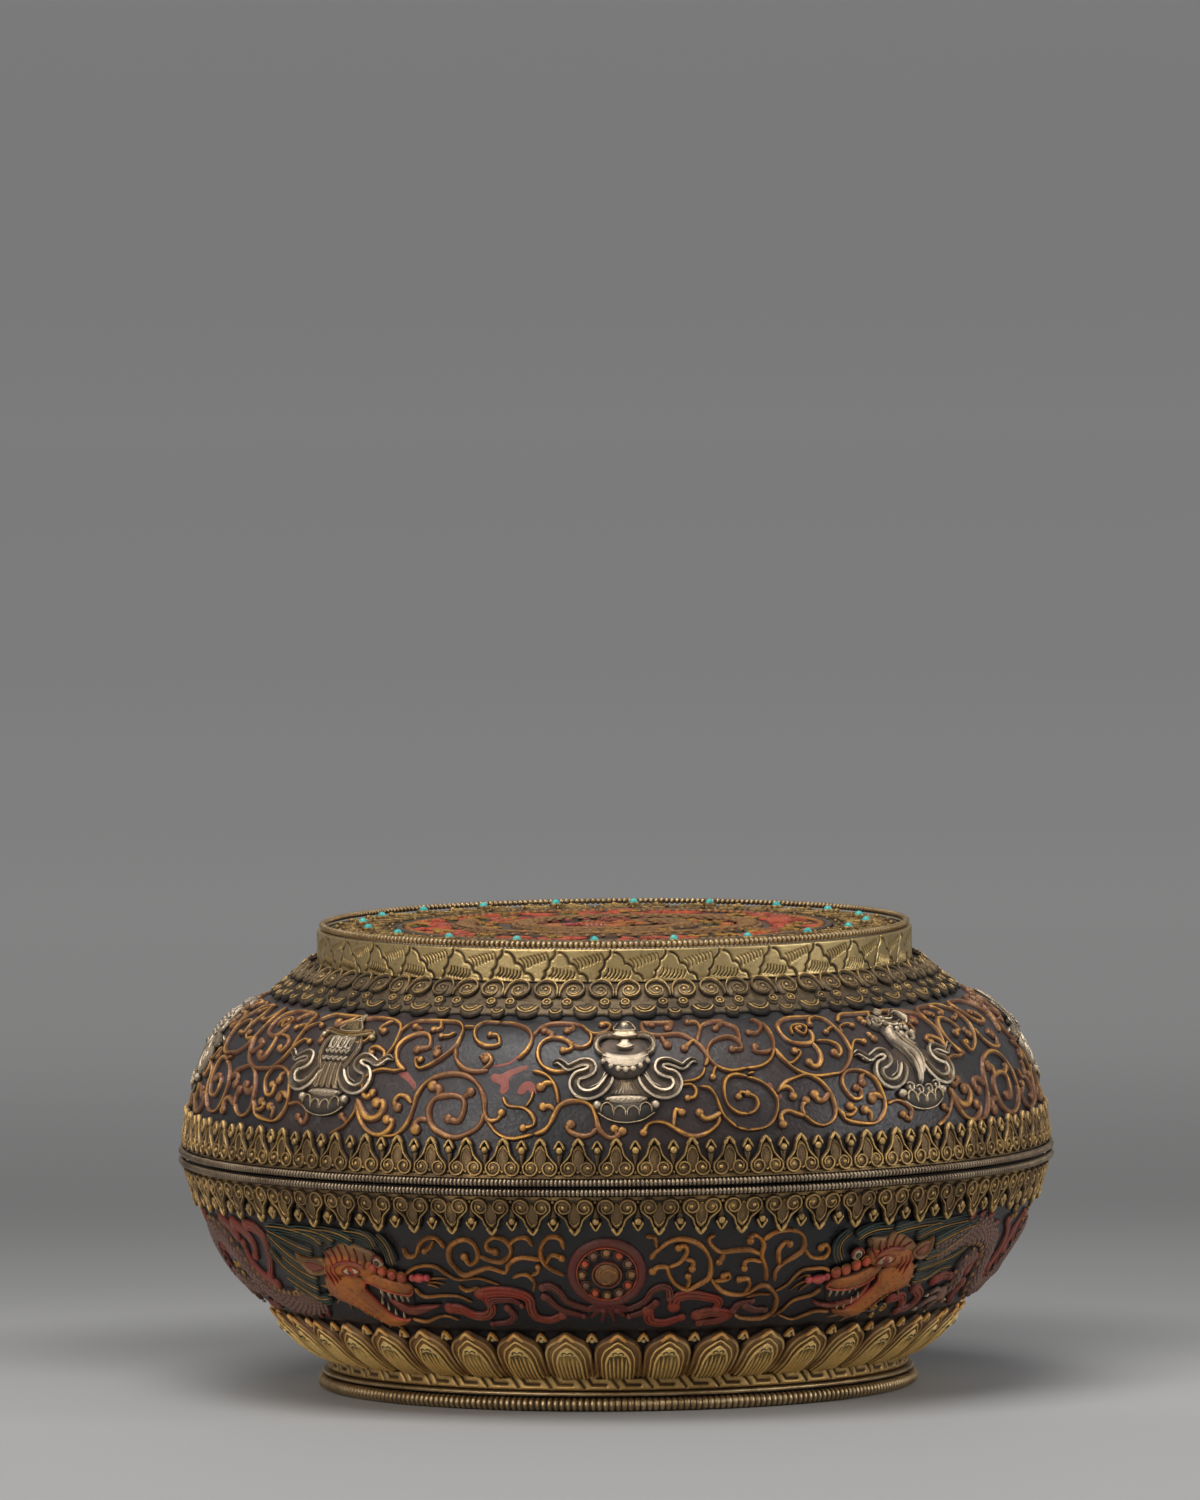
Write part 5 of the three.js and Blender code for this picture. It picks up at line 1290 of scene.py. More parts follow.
def conch(art):
    ground = [(-5.0, 7.4), (-1.6, 8.6), (2.6, 8.4), (5.2, 6.4), (5.4, 3.0), (4.2, -0.6), (3.6, -4.4),
              (2.2, -8.0), (-0.8, -8.2), (-0.6, -4.4), (-1.8, -1.0), (-4.0, 1.8), (-4.6, 4.8)]
    leaf(art, ground, 0.7, "silver", 0.1, "plate", heart=((-0.4, 5.0), (0.8, -4.8)), lift=0.14)
    shell = [(-2.9, 6.6, 1.5), (-3.1, 4.3, 1.35), (-2.4, 2.6, 1.2), (-0.9, 1.1, 1.1), (0.8, -0.1),
             (1.6, -1.8), (1.4, -3.8), (0.6, -6.4, 0.7), (0.2, -8.0, 0.4)]
    ridge(art, shell, 1.75, 1.5, "silver", 0.3, ends=(0.5, 0.3))
    for knots, width in (
        ([(-0.8, 4.8), (0.2, 2.2), (2.0, 0.7), (2.9, -1.1), (2.7, -3.3), (1.5, -5.6)], 0.75),
        ([(-1.9, 1.4), (-1.0, -0.6), (0.0, -2.4), (0.1, -5.0), (-0.3, -7.4)], 0.6),
        ([(-1.4, 5.6), (-0.6, 3.6), (0.4, 3.0)], 0.9),
    ):
        ridge(art, knots, width, 0.9, "silver", 0.7, ends=(0.2, 0.2))
    ridge(art, arcLine(2.7, 3.4, 0.4, 1.9, 200, 640, 26), 0.8, 1.1, "silver", 0.6)
    for x, y in ((-1.6, 6.8), (0.2, 6.2), (1.8, 6.7), (3.4, 6.2), (0.6, 4.7), (1.2, 7.6), (4.4, 4.8)):
        bead(art, x, y, 0.78, 0.9, "silver", 0.7, 10)
        ridge(art, arcLine(x, y, 0.85, 0.85, -160, -20, 30), 0.32, 0.35, "silver", 1.0, "thin")
    for knots in (
        [(-2.7, 10.2), (-2.0, 9.5), (-0.8, 9.2), (0.6, 9.4), (1.7, 10.2)],
        [(-3.2, 8.9), (-2.2, 7.9), (-1.0, 7.5), (1.0, 7.3), (2.4, 7.5), (3.2, 8.2)],
        [(2.9, 11.3), (4.2, 11.6), (5.4, 11.0), (6.1, 9.8), (6.1, 8.4), (4.9, 7.1)],
    ):
        ridge(art, knots, 1.25, 1.4, "silver", 0.5, "ribbon", ends=(0.4, 0.4))
    for x, y, radius, turn in ((-5.2, 8.7, 2.2, 300), (-0.8, 12.0, 1.2, 20)):
        bead(art, x, y, radius * 1.05, 0.7, "silver", 0.1, 14, lift=0.2)
        ridge(art, arcLine(x, y, 0.35, radius, turn, turn + 620, 28), 0.62, 1.1, "silver", 0.5)
    for x, y in ((-4.1, -8.5), (-1.4, -9.3), (1.6, -9.3), (4.3, -8.5)):
        bead(art, x, y, 1.25, 1.2, "silver", 0.2, 12, lift=0.3)
        ridge(art, arcLine(x, y, 0.3, 1.2, 90, 500, 34), 0.45, 0.7, "silver", 1.1)


def lotusFlower(art):
    for tilt, reach, spread in ((-74, 8.4, 2.6), (74, 8.4, 2.6), (-42, 10.8, 3.0), (42, 10.8, 3.0),
                                (0, 12.4, 3.1)):
        petal = [(0, -0.2)] + [(spread * beside, reach * up)
                               for beside, up in ((0.8, 0.35), (1, 0.62), (0.5, 0.88), (0, 1), (-0.5, 0.88),
                                                  (-1, 0.62), (-0.8, 0.35))]

        def turned(points):
            return [turnedBy(math.radians(-tilt), x, y) for x, y in points]
        lay = 0.1 + 0.35 * (1 - abs(tilt) / 90)
        leaf(art, turned(petal), 1.0, "silver", lay, "rimmed",
             heart=tuple(turned([(0, reach * 0.3), (0, reach * 0.7)])), lift=0.85)
        ridge(art, turned(petal), 0.55, 0.5, "silver", lay + 0.75, "thin", closed=True, step=0.9)
        for share in (-0.8, -0.3, 0.3, 0.8):
            rib = [(share * spread * 0.5, reach * 0.2), (share * spread * 0.75, reach * 0.5),
                   (share * 0.3, reach * 0.82)]
            ridge(art, turned(rib), 0.34, 0.35, "silver", lay + 0.62, "thin")
    leaf(art, bothSides([(0, 4.0), (2.4, 3.4), (3.2, 1.2), (1.8, -1.0), (0, -1.4)]), 1.5, "silver", 0.3,
         lift=0.8)
    for x, y in ((0, 2.8), (-1.2, 2.2), (1.2, 2.2), (-1.8, 1.0), (1.8, 1.0), (-0.6, 1.2), (0.6, 1.2), (0, 0)):
        bead(art, x, y, 0.45, 0.5, "silver", 1.6)
    ridge(art, [(0, -1.2), (-0.3, -4.2), (0, -7.6)], 1.5, 1.2, "silver", 0.2, "twin")
    for side in (1, -1):
        leaf(art, flip([(0.5, -3.0), (3.2, -1.8), (5.0, -3.2), (3.4, -5.2), (1.2, -5.6)], side),
             0.9, "silver", 0.3, "rimmed", heart=((side * 1.4, -4.2), (side * 3.4, -3.4)))
        ridge(art, flip([(0.8, -4.6), (2.4, -3.8), (4.4, -3.2)], side), 0.4, 0.4, "silver", 0.9, "thin")
    braidedDisc(art)


def dharmaWheel(art):
    centre = 4.2
    leaf(art, circle(0, centre, 8.0, 28), 0.4, "shade", 0.05, "plate", lift=0.35, step=2)
    for radius, width in ((7.7, 1.5), (6.3, 0.6), (2.5, 0.8)):
        ridge(art, circle(0, centre, radius, 24), width, 1.2, "silver", 0.2,
              "twin" if width > 1 else "round", closed=True, step=0.9)
    bead(art, 0, centre, 1.7, 1.5, "silver", 0.3, 14)
    ridge(art, arcLine(0, centre, 0.2, 1.3, 0, 460, 40), 0.45, 0.4, "silver", 1.55, "thin")
    for spoke in range(8):
        turn = math.pi * spoke / 4

        def out(radius, aside=0.0):
            return (radius * math.sin(turn) + aside * math.cos(turn),
                    centre + radius * math.cos(turn) - aside * math.sin(turn))
        ridge(art, [(*out(2.8), 0.8), (*out(4.4), 1.2), (*out(6.1), 0.7)], 1.0, 1.0, "silver", 0.4)
        bead(art, *out(7.7), 0.7, 0.6, "silver", 1.1)
        if abs(out(9.0)[1] - centre) < 8.9 or spoke == 0:
            leaf(art, [out(8.2, -0.7), out(9.2, -0.5), out(9.7), out(9.2, 0.5), out(8.2, 0.7)][::-1],
                 0.9, "silver", 0.2)
    leaf(art, bothSides([(0, -3.0), (2.8, -3.6), (1.6, -5.4), (2.2, -7.2), (0, -7.6)]), 1.2, "silver",
         0.2, lift=0.8)
    pair(ridge, art, [(0.4, -3.6), (2.6, -3.2), (4.2, -4.4), (3.4, -5.8), (2.2, -5.2)], 0.8, 0.9,
         "silver", 0.5)
    braidedDisc(art)


def endlessKnot(art):
    centre, reach = 3.6, 8.6
    leaf(art, [(0, centre + reach), (reach, centre), (0, centre - reach), (-reach, centre)], 0.4,
         "shade", 0.05, "plate", smooth=False, lift=0.35)
    for aside in (-4.2, -1.4, 1.4, 4.2):
        along = reach - abs(aside) * 0.82
        for side in (1, -1):
            steps = np.linspace(-1, 1, 9)
            knots = [(side * (aside + along * t) * 0.72, centre + (along * t - aside) * 0.72) for t in steps]
            ridge(art, knots, 1.5, 1.25 if side > 0 else 1.0, "silver", 0.22 if side > 0 else 0.15, "twin")
    for x, y in ((0, centre + 7.6), (0, centre - 7.4), (7.4, centre), (-7.4, centre)):
        ridge(art, circle(x, y, 1.5, 10), 1.0, 1.1, "silver", 0.2, "twin", closed=True, step=0.7)
        bead(art, x, y, 0.6, 0.9, "silver", 0.3)
    for x, y in ((5.6, centre + 4.6), (-5.6, centre + 4.6), (5.6, centre - 4.6), (-5.6, centre - 4.6)):
        ridge(art, [(x * 0.75, centre + (y - centre) * 0.6), (x, y), (x * 1.15, y * 0.4 + centre * 0.6)],
              0.8, 0.9, "silver", 0.2)
    ridge(art, [(0, -5.0), (0, -7.4)], 1.6, 1.2, "silver", 0.3, "twin")
    braidedDisc(art)


def parasol(art):
    dome = bothSides([(0, 11.0), (2.4, 10.4), (5.2, 8.4), (7.2, 5.4), (7.8, 2.6), (4.0, 3.2), (0, 3.5)])
    leaf(art, dome, 1.6, "silver", 0.1, heart=((-2.6, 5.4), (2.6, 5.4)), lift=0.8)
    for share in np.linspace(-1, 1, 7):
        ridge(art, [(share * 0.8, 10.8), (share * 4.6, 8.0), (share * 6.9, 3.4)], 0.5, 0.5, "silver", 1.25)
    ridge(art, [(-7.8, 2.7), (-4.0, 3.3), (0, 3.6), (4.0, 3.3), (7.8, 2.7)], 0.9, 0.9, "silver", 0.8, "twin")
    for place in range(-4, 5):
        x = place * 1.72
        hang = 0.8 + 0.05 * abs(place)
        leaf(art, [(x - 0.85, 3.2 - hang * 0.4), (x + 0.85, 3.2 - hang * 0.4), (x + 0.6, 0.6), (x, -0.2),
                   (x - 0.6, 0.6)], 0.9, "silver", 0.2, "rimmed")
        bead(art, x, -0.7, 0.42, 0.8, "silver", 0.1)
    leaf(art, bothSides([(0, 13.1), (0.8, 12.5), (1.2, 11.4), (1.6, 10.6), (0, 10.3)]), 1.3, "silver", 0.3)
    bead(art, 0, 11.9, 0.7, 0.9, "silver", 0.9, 10)
    ridge(art, [(0, 0.6), (0, -7.8)], 1.2, 1.2, "silver", 0.2)
    for y in (-1.2, -3.4, -5.6):
        ridge(art, [(-1.0, y), (0, y - 0.2), (1.0, y)], 0.6, 0.7, "silver", 0.9)
    pair(ridge, art, [(7.6, 2.6), (8.4, 4.0), (9.4, 3.6), (9.2, 2.2)], 0.8, 0.9, "silver", 0.2)
    pair(ridge, art, [(0.9, -3.4), (2.6, -3.0), (3.6, -4.6), (3.0, -6.4)], 0.8, 0.8, "silver", 0.2, "twin")
    braidedDisc(art)


def goldenFish(art):
    for side in (1, -1):
        body = [(2.6, 9.6), (4.6, 7.0), (5.4, 3.4), (4.6, -0.4), (2.8, -3.4), (1.0, -5.0), (0.6, -3.0),
                (1.2, 0.6), (1.8, 4.2)]
        leaf(art, flip(body, side), 1.5, "silver", 0.1, heart=((side * 3.0, 6.4), (side * 1.8, -2.4)),
             lift=0.7)
        for row in range(7):
            y = 6.6 - row * 1.15
            middle = 3.4 - 0.035 * (y - 4.5) ** 2
            for column in (-1, 0, 1):
                x = middle + column * 1.05 + (0.4 if row % 2 else 0.0) - 0.3
                bead(art, side * x, y, 0.62, 0.55, "silver", 1.25 - 0.15 * abs(column), 6)
        tail = [(2.8, 9.0), (4.6, 10.4), (7.0, 10.6), (5.8, 12.4), (3.2, 13.0), (0.8, 12.6), (1.4, 10.6)]
        leaf(art, flip(tail, side), 1.2, "silver", 0.2, heart=((side * 2.6, 9.8), (side * 3.4, 11.6)),
             lift=0.8)
        for share in (0.0, 0.5, 1.0):
            ridge(art, flip([(2.8, 9.6), (2.2 + share * 2.0, 11.4),
                             (1.4 + share * 4.6, 12.3 - share * 1.4)], side), 0.45, 0.5, "silver", 1.0)
        bead(art, side * 2.7, -1.6, 0.7, 0.7, "silver", 1.2, 10)
        bead(art, side * 2.7, -1.6, 0.3, 0.5, "oldBlack", 1.7, 6)
        ridge(art, flip([(3.6, 0.4), (4.4, -1.4), (2.8, -3.0)], side), 0.5, 0.6, "silver", 1.0)
        ridge(art, flip([(5.2, 3.6), (7.2, 4.6), (7.8, 2.6), (5.4, 1.4)], side), 0.8, 0.9, "silver",
              0.3, "twin")
        ridge(art, flip([(1.2, -4.6), (2.8, -5.6), (4.4, -4.8)], side), 0.5, 0.7, "silver", 0.3)
    leaf(art, bothSides([(0, -5.0), (1.8, -5.6), (2.4, -7.0), (0, -7.6)]), 1.2, "silver", 0.2)
    braidedDisc(art)


def victoryBanner(art):
    cone = bothSides([(0, 11.2), (2.0, 9.8), (3.6, 7.6), (0, 7.0)])
    leaf(art, cone, 1.3, "brass", 0.2, lift=0.3)
    ridge(art, cone, 0.5, 0.5, "brass", 0.9, closed=True, step=0.8)
    for share in np.linspace(-1, 1, 5):
        ridge(art, [(share * 0.9 - 0.3, 10.3), (share * 2.6, 7.9)], 0.42, 0.5, "brass", 1.3, "sharp")
    for y, radius in ((11.4, 0.75), (12.7, 0.65)):
        bead(art, 0, y, radius * 0.8, 0.8, "brass", 0.3, 10)
        ridge(art, circle(0, y, radius, 8), 0.55, 0.7, "brass", 0.5, closed=True, step=0.6)
    ridge(art, [(-8.2, 6.3), (-7.2, 7.3), (-5.4, 6.9), (-2.6, 6.3), (0, 6.1), (2.6, 6.3), (5.4, 6.9),
                (7.2, 7.3), (8.2, 6.3)], 1.3, 1.2, "brass", 0.2, "twin")
    pair(bead, art, (8.1, 5.9), 0.85, 1.3, "brass", 0.2, 10)
    pair(ridge, art, [(4.4, 5.8), (5.6, 4.2), (5.6, 1.6), (4.6, -0.8), (3.6, -2.4)], 1.0, 1.1, "silver",
         0.2, "twin")
    leaf(art, bothSides([(0, 5.8), (4.4, 5.8), (4.6, 2.0), (3.4, -0.4), (3.0, -5.2), (0, -5.8)]),
         0.7, "silver", 0.1, "plate", lift=0.12)
    for place in (-1, 0, 1):
        x = place * 2.75
        panel = [(x - 1.2, 5.5), (x + 1.2, 5.5), (x * 0.92 + 1.05, 2.0), (x * 0.92 - 1.05, 2.0)]
        leaf(art, panel, 0.8, "silver", 0.6, "dished", smooth=False, lift=0.9)
        for aside in (-0.3, 0.35):
            ridge(art, [(x + aside, 4.9), (x * 0.94 + aside, 2.9)], 0.34, 0.45, "silver", 1.0, "thin")
    for low in (1.6, -0.2):
        for place in range(-2, 3):
            x = place * 1.55
            ridge(art, [(x - 0.8, low + 0.5), (x, low - 0.5), (x + 0.8, low + 0.5)], 0.7, 0.7, "silver", 0.8)
    for x in (-2.4, -0.8, 0.8, 2.4):
        ridge(art, [(x, -1.0), (x * 1.05, -3.4), (x * 1.2, -6.4), (x * 1.5, -7.2)], 1.35, 1.1, "silver",
              0.4, "twin")
    braidedDisc(art)


# in their order round the lid from the front
emblemDrawings = {
    "vase": vase, "conch": conch, "lotus": lotusFlower, "wheel": dharmaWheel, "endless_knot": endlessKnot,
    "parasol": parasol, "golden_fish": goldenFish, "victory_banner": victoryBanner,
}


def silverEmblems():
    for number, (name, draw) in enumerate(emblemDrawings.items()):
        art = newDrawing()
        emblemBase(art)
        draw(art)
        turn = 360.0 * number / len(emblemDrawings) + emblemLook["turn"]
        place = bentOn(lidWall, lidReach, (0, emblemLook["centre"], seat * 0.3), turn)
        buildRelief("silver_" + name, art, place, "chasedSilver", "lid", ["emblem_" + name])


silverEmblems()
report("silver emblems")


# The carved band round the bowl: a wheel in front, two dragons that face it, and the same again behind
# screen colour and share of metal
bandPaints = {
    "gold": ((168, 108, 44), 0.45), "red": ((134, 42, 26), 0.12), "deepRed": ((104, 36, 24), 0.1),
    "orange": ((184, 106, 40), 0.25), "skin": ((128, 92, 76), 0.15), "belly": ((150, 108, 62), 0.3),
    "teal": ((30, 54, 50), 0.1), "streak": ((196, 146, 66), 0.6), "strand": ((50, 74, 64), 0.2),
    "pink": ((190, 58, 62), 0.1), "ivory": ((206, 184, 144), 0.1), "black": ((22, 19, 19), 0.05),
    "knuckle": ((184, 66, 36), 0.2), "mist": ((72, 80, 80), 0.15), "brown": ((92, 62, 44), 0.2),
    "ribbon": ((138, 46, 20), 0.1), "coil": ((164, 116, 60), 0.35), "olive": ((104, 100, 46), 0.15),
    "flame": ((188, 68, 32), 0.1),
}
paints.update({name: paintOf(*look) for name, look in bandPaints.items()})
# x round the bowl from the front and y up its wall
dragons = {
    "left": {
        "skull": [(-74.7, 21.7), (-71.8, 22.9), (-69.1, 24.4), (-66.4, 25.1), (-63.8, 24.7), (-61.5, 23.6),
                  (-59.2, 22.4), (-58.6, 20.6), (-61.7, 19.1), (-65.2, 19.3), (-69.3, 19.5), (-73.3, 18.8)],
        "face": [(-75.0, 20.4), (-71.3, 22.1), (-67.0, 22.6), (-62.5, 21.2), (-59.1, 19.8), (-58.8, 17.9),
                 (-62.0, 15.8), (-64.8, 16.6), (-69.7, 16.1), (-74.4, 15.5), (-76.6, 16.8)],
        "jaw": [(-77.6, 15.5), (-79.2, 12.4), (-79.2, 9.9), (-77.3, 8.2), (-73.8, 7.2), (-70.2, 5.7),
                (-67.0, 3.8), (-64.8, 1.2), (-61.7, 0.7), (-57.5, 2.1), (-55.8, 3.8), (-58.7, 3.8),
                (-61.1, 5.1), (-62.7, 7.5), (-64.2, 10.2), (-65.4, 12.7), (-64.1, 14.8), (-66.3, 16.6),
                (-71.6, 16.6)],
        "jawHeart": ((-71.6, 12.2), (-63.8, 3.6)), "edgeStart": 0, "edgeEnd": 9,
        "snout": [(-65.5, 16.6), (-61.6, 17.4), (-58.7, 16.4), (-55.7, 15.5), (-52.4, 15.0), (-51.0, 13.2),
                  (-52.4, 11.6), (-55.7, 11.9), (-59.3, 12.8), (-62.2, 14.3), (-64.9, 15.1)],
        "mouth": [(-65.0, 13.6), (-62.1, 13.9), (-59.8, 12.6), (-56.4, 12.0), (-52.6, 11.9), (-52.7, 8.6),
                  (-55.8, 3.8), (-58.6, 3.9), (-61.1, 5.1), (-62.9, 7.5), (-64.5, 10.5)],
        "tongue": [(-60.2, 9.8), (-57.3, 9.3), (-54.0, 7.8), (-50.3, 8.3), (-45.1, 8.5), (-48.5, 6.8),
                   (-53.3, 5.1), (-56.8, 5.2), (-58.9, 7.2)],
        "knuckles": [(-60.3, 18.7), (-57.9, 17.9), (-55.4, 17.1), (-53.0, 16.4)],
        "nose": [(-50.2, 16.4), (-48.4, 17.6), (-46.2, 16.6), (-48.2, 15.3)],
        "eye": (-66.7, 17.9),
        "eyeRim": [(-69.7, 17.9), (-67.4, 19.1), (-65.4, 19.0), (-63.9, 18.0), (-65.6, 17.0), (-68.3, 16.8)],
        "farEye": (-58.5, 20.2),
        "brow": [(-72.5, 18.6), (-68.2, 20.2), (-64.7, 20.0), (-62.0, 18.8)],
        "flames": [(-73.6, 22.6), (-71.4, 23.6), (-68.9, 24.3), (-66.4, 24.4), (-64.0, 23.8), (-61.6, 22.6)],
        "ear": [(-83.7, 21.7), (-82.0, 20.4), (-78.8, 20.3), (-75.3, 20.4), (-74.1, 18.8), (-74.8, 16.9),
                (-77.7, 15.8), (-81.2, 16.0), (-83.2, 17.7), (-84.1, 19.6)],
        "earIn": [(-81.8, 19.1), (-78.3, 19.0), (-75.5, 17.9), (-78.4, 16.9), (-81.2, 17.3)],
        "topTeeth": [(-60.5, 12.0), (-58.6, 11.4), (-56.9, 11.0), (-55.2, 10.8), (-53.5, 10.9)],
        "lowTeeth": [(-62.0, 9.3), (-61.0, 7.5), (-59.6, 6.0), (-57.6, 5.0)],
        "patch": [(-92.3, 27.0), (-81.1, 27.2), (-71.2, 27.6), (-62.1, 27.8), (-58.2, 26.5), (-57.7, 24.2),
                  (-60.7, 23.6), (-66.0, 25.4), (-72.1, 22.9), (-75.3, 20.4), (-75.9, 14.9), (-81.2, 9.8),
                  (-86.6, 10.3), (-92.5, 13.3), (-95.2, 17.1), (-95.1, 22.1)],
        "patchHeart": ((-84.0, 20.5), (-80.0, 23.0)),
        "locks": [[(-73.9, 23.6), (-76.3, 25.4), (-80.4, 26.4), (-86.0, 27.0), (-92.5, 27.0)],
                  [(-82.6, 17.7), (-86.5, 19.6), (-90.1, 22.4), (-93.2, 25.1)],
                  [(-78.0, 21.6), (-83.0, 22.8), (-88.0, 24.6), (-92.6, 26.0)],
                  [(-82.0, 11.2), (-87.7, 14.0), (-92.1, 17.4), (-94.8, 21.6)],
                  [(-80.4, 14.2), (-86.0, 16.4), (-90.4, 19.6)],
                  [(-79.6, 8.6), (-84.0, 8.4), (-88.6, 11.2), (-92.9, 13.7)],
                  [(-69.8, 24.7), (-72.8, 26.3), (-77.9, 27.0), (-83.7, 26.8)],
                  [(-64.1, 25.1), (-66.6, 26.4), (-70.3, 27.2), (-75.6, 27.4)],
                  [(-58.3, 23.7), (-59.0, 26.0), (-61.4, 27.2), (-66.2, 27.6)],
                  [(-54.5, 19.9), (-54.6, 23.1), (-55.4, 25.6), (-57.0, 27.2)]],
        "whiskers": [[(-52.0, 17.0), (-49.6, 18.6), (-46.6, 19.5), (-43.5, 19.3), (-41.0, 17.4),
                      (-38.3, 16.0), (-33.3, 16.5), (-28.3, 14.9)],
                     [(-51.0, 13.0), (-48.9, 10.8), (-43.7, 11.3), (-39.6, 11.2), (-36.4, 9.6)],
                     [(-56.0, 3.4), (-52.1, 2.6), (-47.8, 4.3), (-44.9, 4.8), (-42.1, 3.5)]],
        "hairs": [[(-46.4, 15.9), (-43.4, 16.2), (-41.3, 16.1)],
                  [(-46.8, 15.2), (-44.4, 15.0), (-42.2, 14.6)],
                  [(-47.2, 14.6), (-45.2, 14.0), (-44.0, 13.3)]],
        "body": [(-84, 9), (-90, 6.2), (-97, 5.6), (-105, 6.6), (-111.5, 11), (-115.5, 17.5),
                 (-121.5, 22.6), (-129, 23.4), (-136.5, 19.6), (-142, 13), (-149, 8)],
        "bellySide": -1,
        "leg": [(-113, 9.6), (-119.5, 8.4), (-124.6, 11.4), (-129.4, 10.4)],
        "claws": [[(-129, 10.6), (-132.4, 12.6), (-135, 11.6)],
                  [(-129, 10.2), (-132.6, 9.6), (-135.4, 7.6)],
                  [(-128.8, 9.6), (-130.6, 6.8), (-133.2, 5.2)],
                  [(-127.2, 9.6), (-126.6, 6.2), (-128.2, 3.6)]],
        "red": [[(-102.8, 26.6), (-99.4, 26.0), (-96.8, 23.9), (-97.2, 20.6), (-98.6, 17.6),
                 (-102.4, 13.4)], [(-109.8, 26.4), (-105.6, 24.6), (-103.2, 21.6), (-105.2, 18.2)],
                [(-102.2, 10.8), (-107.2, 13.4), (-109.6, 17.2), (-108.8, 21.2)],
                [(-117.3, 26.8), (-113.4, 25.0), (-111.0, 22.2), (-110.6, 25.6)],
                [(-136.6, 27.0), (-141.4, 25.6), (-144.6, 22.4), (-143.2, 19.2)],
                [(-119.6, 3.0), (-115.4, 2.6), (-112.4, 4.4)],
                [(-120.0, 17.6), (-124.0, 17.4), (-128.4, 18.8)]],
        "mist": [(-92.2, 9.4, 2.2, 200), (-140.4, 5.4, 2.6, 40), (-122.4, 13.8, 2.0, 150),
                 (-145.2, 26.0, 1.8, 300)],
    },
    "right": {
        "skull": [(60.5, 24.4), (62.2, 25.3), (65.5, 25.4), (67.5, 27.0), (70.4, 25.9), (73.8, 24.1),
                  (76.0, 22.6), (77.4, 20.8), (74.1, 20.6), (69.6, 21.2), (65.0, 21.1), (62.3, 21.7)],
        "face": [(61.2, 22.2), (64.8, 22.8), (69.2, 23.0), (74.3, 21.8), (77.2, 19.0), (75.6, 17.3),
                 (71.2, 17.1), (66.8, 17.4), (62.6, 18.6)],
        "jaw": [(76.2, 18.4), (78.6, 16.6), (79.6, 13.7), (79.4, 11.3), (76.7, 9.9), (72.3, 9.3),
                (70.1, 8.1), (68.9, 6.0), (67.2, 3.5), (63.8, 2.6), (59.3, 3.6), (57.5, 5.3), (60.2, 5.7),
                (62.7, 7.0), (64.6, 9.5), (66.5, 11.8), (67.4, 13.7), (66.8, 15.5), (69.2, 17.4),
                (72.6, 18.2)],
        "jawHeart": ((73.4, 13.8), (66.2, 5.8)), "edgeStart": 0, "edgeEnd": 11,
        "snout": [(67.3, 17.9), (64.9, 18.1), (62.4, 17.3), (59.4, 16.1), (55.7, 15.3), (52.9, 14.4),
                  (52.6, 12.7), (56.7, 11.9), (60.6, 12.2), (63.7, 13.3), (65.9, 15.2), (67.1, 16.0)],
        "mouth": [(66.6, 15.4), (67.1, 12.8), (65.1, 9.5), (62.7, 7.0), (60.2, 5.7), (57.8, 5.3),
                  (54.2, 8.5), (53.4, 12.2), (56.8, 12.3), (60.6, 12.6), (63.6, 13.8)],
        "tongue": [(50.3, 9.0), (52.4, 8.1), (55.6, 7.6), (58.9, 8.2), (62.5, 9.3), (64.3, 11.9),
                   (65.5, 13.9), (65.9, 10.9), (63.8, 7.9), (60.4, 6.4), (56.3, 6.1), (52.9, 7.0),
                   (51.1, 7.6)],
        "tongueHeart": ((62.8, 8.6), (54.0, 7.4)),
        "knuckles": [(61.4, 19.3), (58.9, 18.3), (56.3, 17.3), (53.8, 16.6)],
        "nose": [(46.9, 15.1), (49.4, 16.3), (51.7, 15.7), (50.0, 14.0)],
        "eye": (66.7, 19.5),
        "eyeRim": [(64.0, 18.7), (64.8, 20.3), (66.7, 20.9), (69.3, 20.4), (69.1, 19.1), (66.7, 18.2)],
        "farEye": (58.4, 21.2),
        "brow": [(63.2, 20.3), (65.3, 22.1), (68.2, 22.6), (71.9, 22.1)],
        "flames": [(61.6, 24.0), (63.8, 24.6), (66.0, 25.6), (68.6, 26.2), (71.2, 25.2), (73.6, 23.6)],
        "ear": [(80.5, 24.6), (79.5, 23.6), (77.0, 22.9), (75.3, 21.7), (74.8, 20.4), (77.3, 18.8),
                (79.6, 18.8), (81.1, 20.4), (81.3, 22.6)],
        "earIn": [(80.0, 22.6), (77.5, 21.9), (76.1, 20.6), (77.9, 19.8), (79.7, 20.8)],
        "topTeeth": [(54.2, 11.4), (56.1, 11.4), (58.0, 11.5), (59.8, 12.0), (61.4, 12.8)],
        "lowTeeth": [(58.4, 6.9), (60.4, 7.1), (62.1, 8.2), (63.4, 9.6)],
        "patch": [(57.1, 27.4), (66.6, 27.9), (75.9, 27.9), (83.0, 27.9), (92.0, 27.6), (97.0, 25.6),
                  (96.4, 21.4), (90.7, 17.6), (84.9, 15.0), (79.1, 14.6), (79.6, 18.0), (78.0, 22.0),
                  (72.0, 25.6), (66.6, 27.0), (61.2, 25.6)],
        "patchHeart": ((84.0, 22.4), (82.0, 24.0)),
        "locks": [[(57.1, 25.6), (59.1, 27.0), (62.2, 27.8), (66.6, 27.9)],
                  [(67.4, 26.6), (71.6, 27.4), (76.1, 27.8), (82.9, 27.9)],
                  [(74.8, 24.8), (79.2, 26.2), (84.5, 27.2), (92.4, 27.7)],
                  [(82.0, 22.6), (87.0, 24.4), (92.7, 25.8), (98.3, 26.4)],
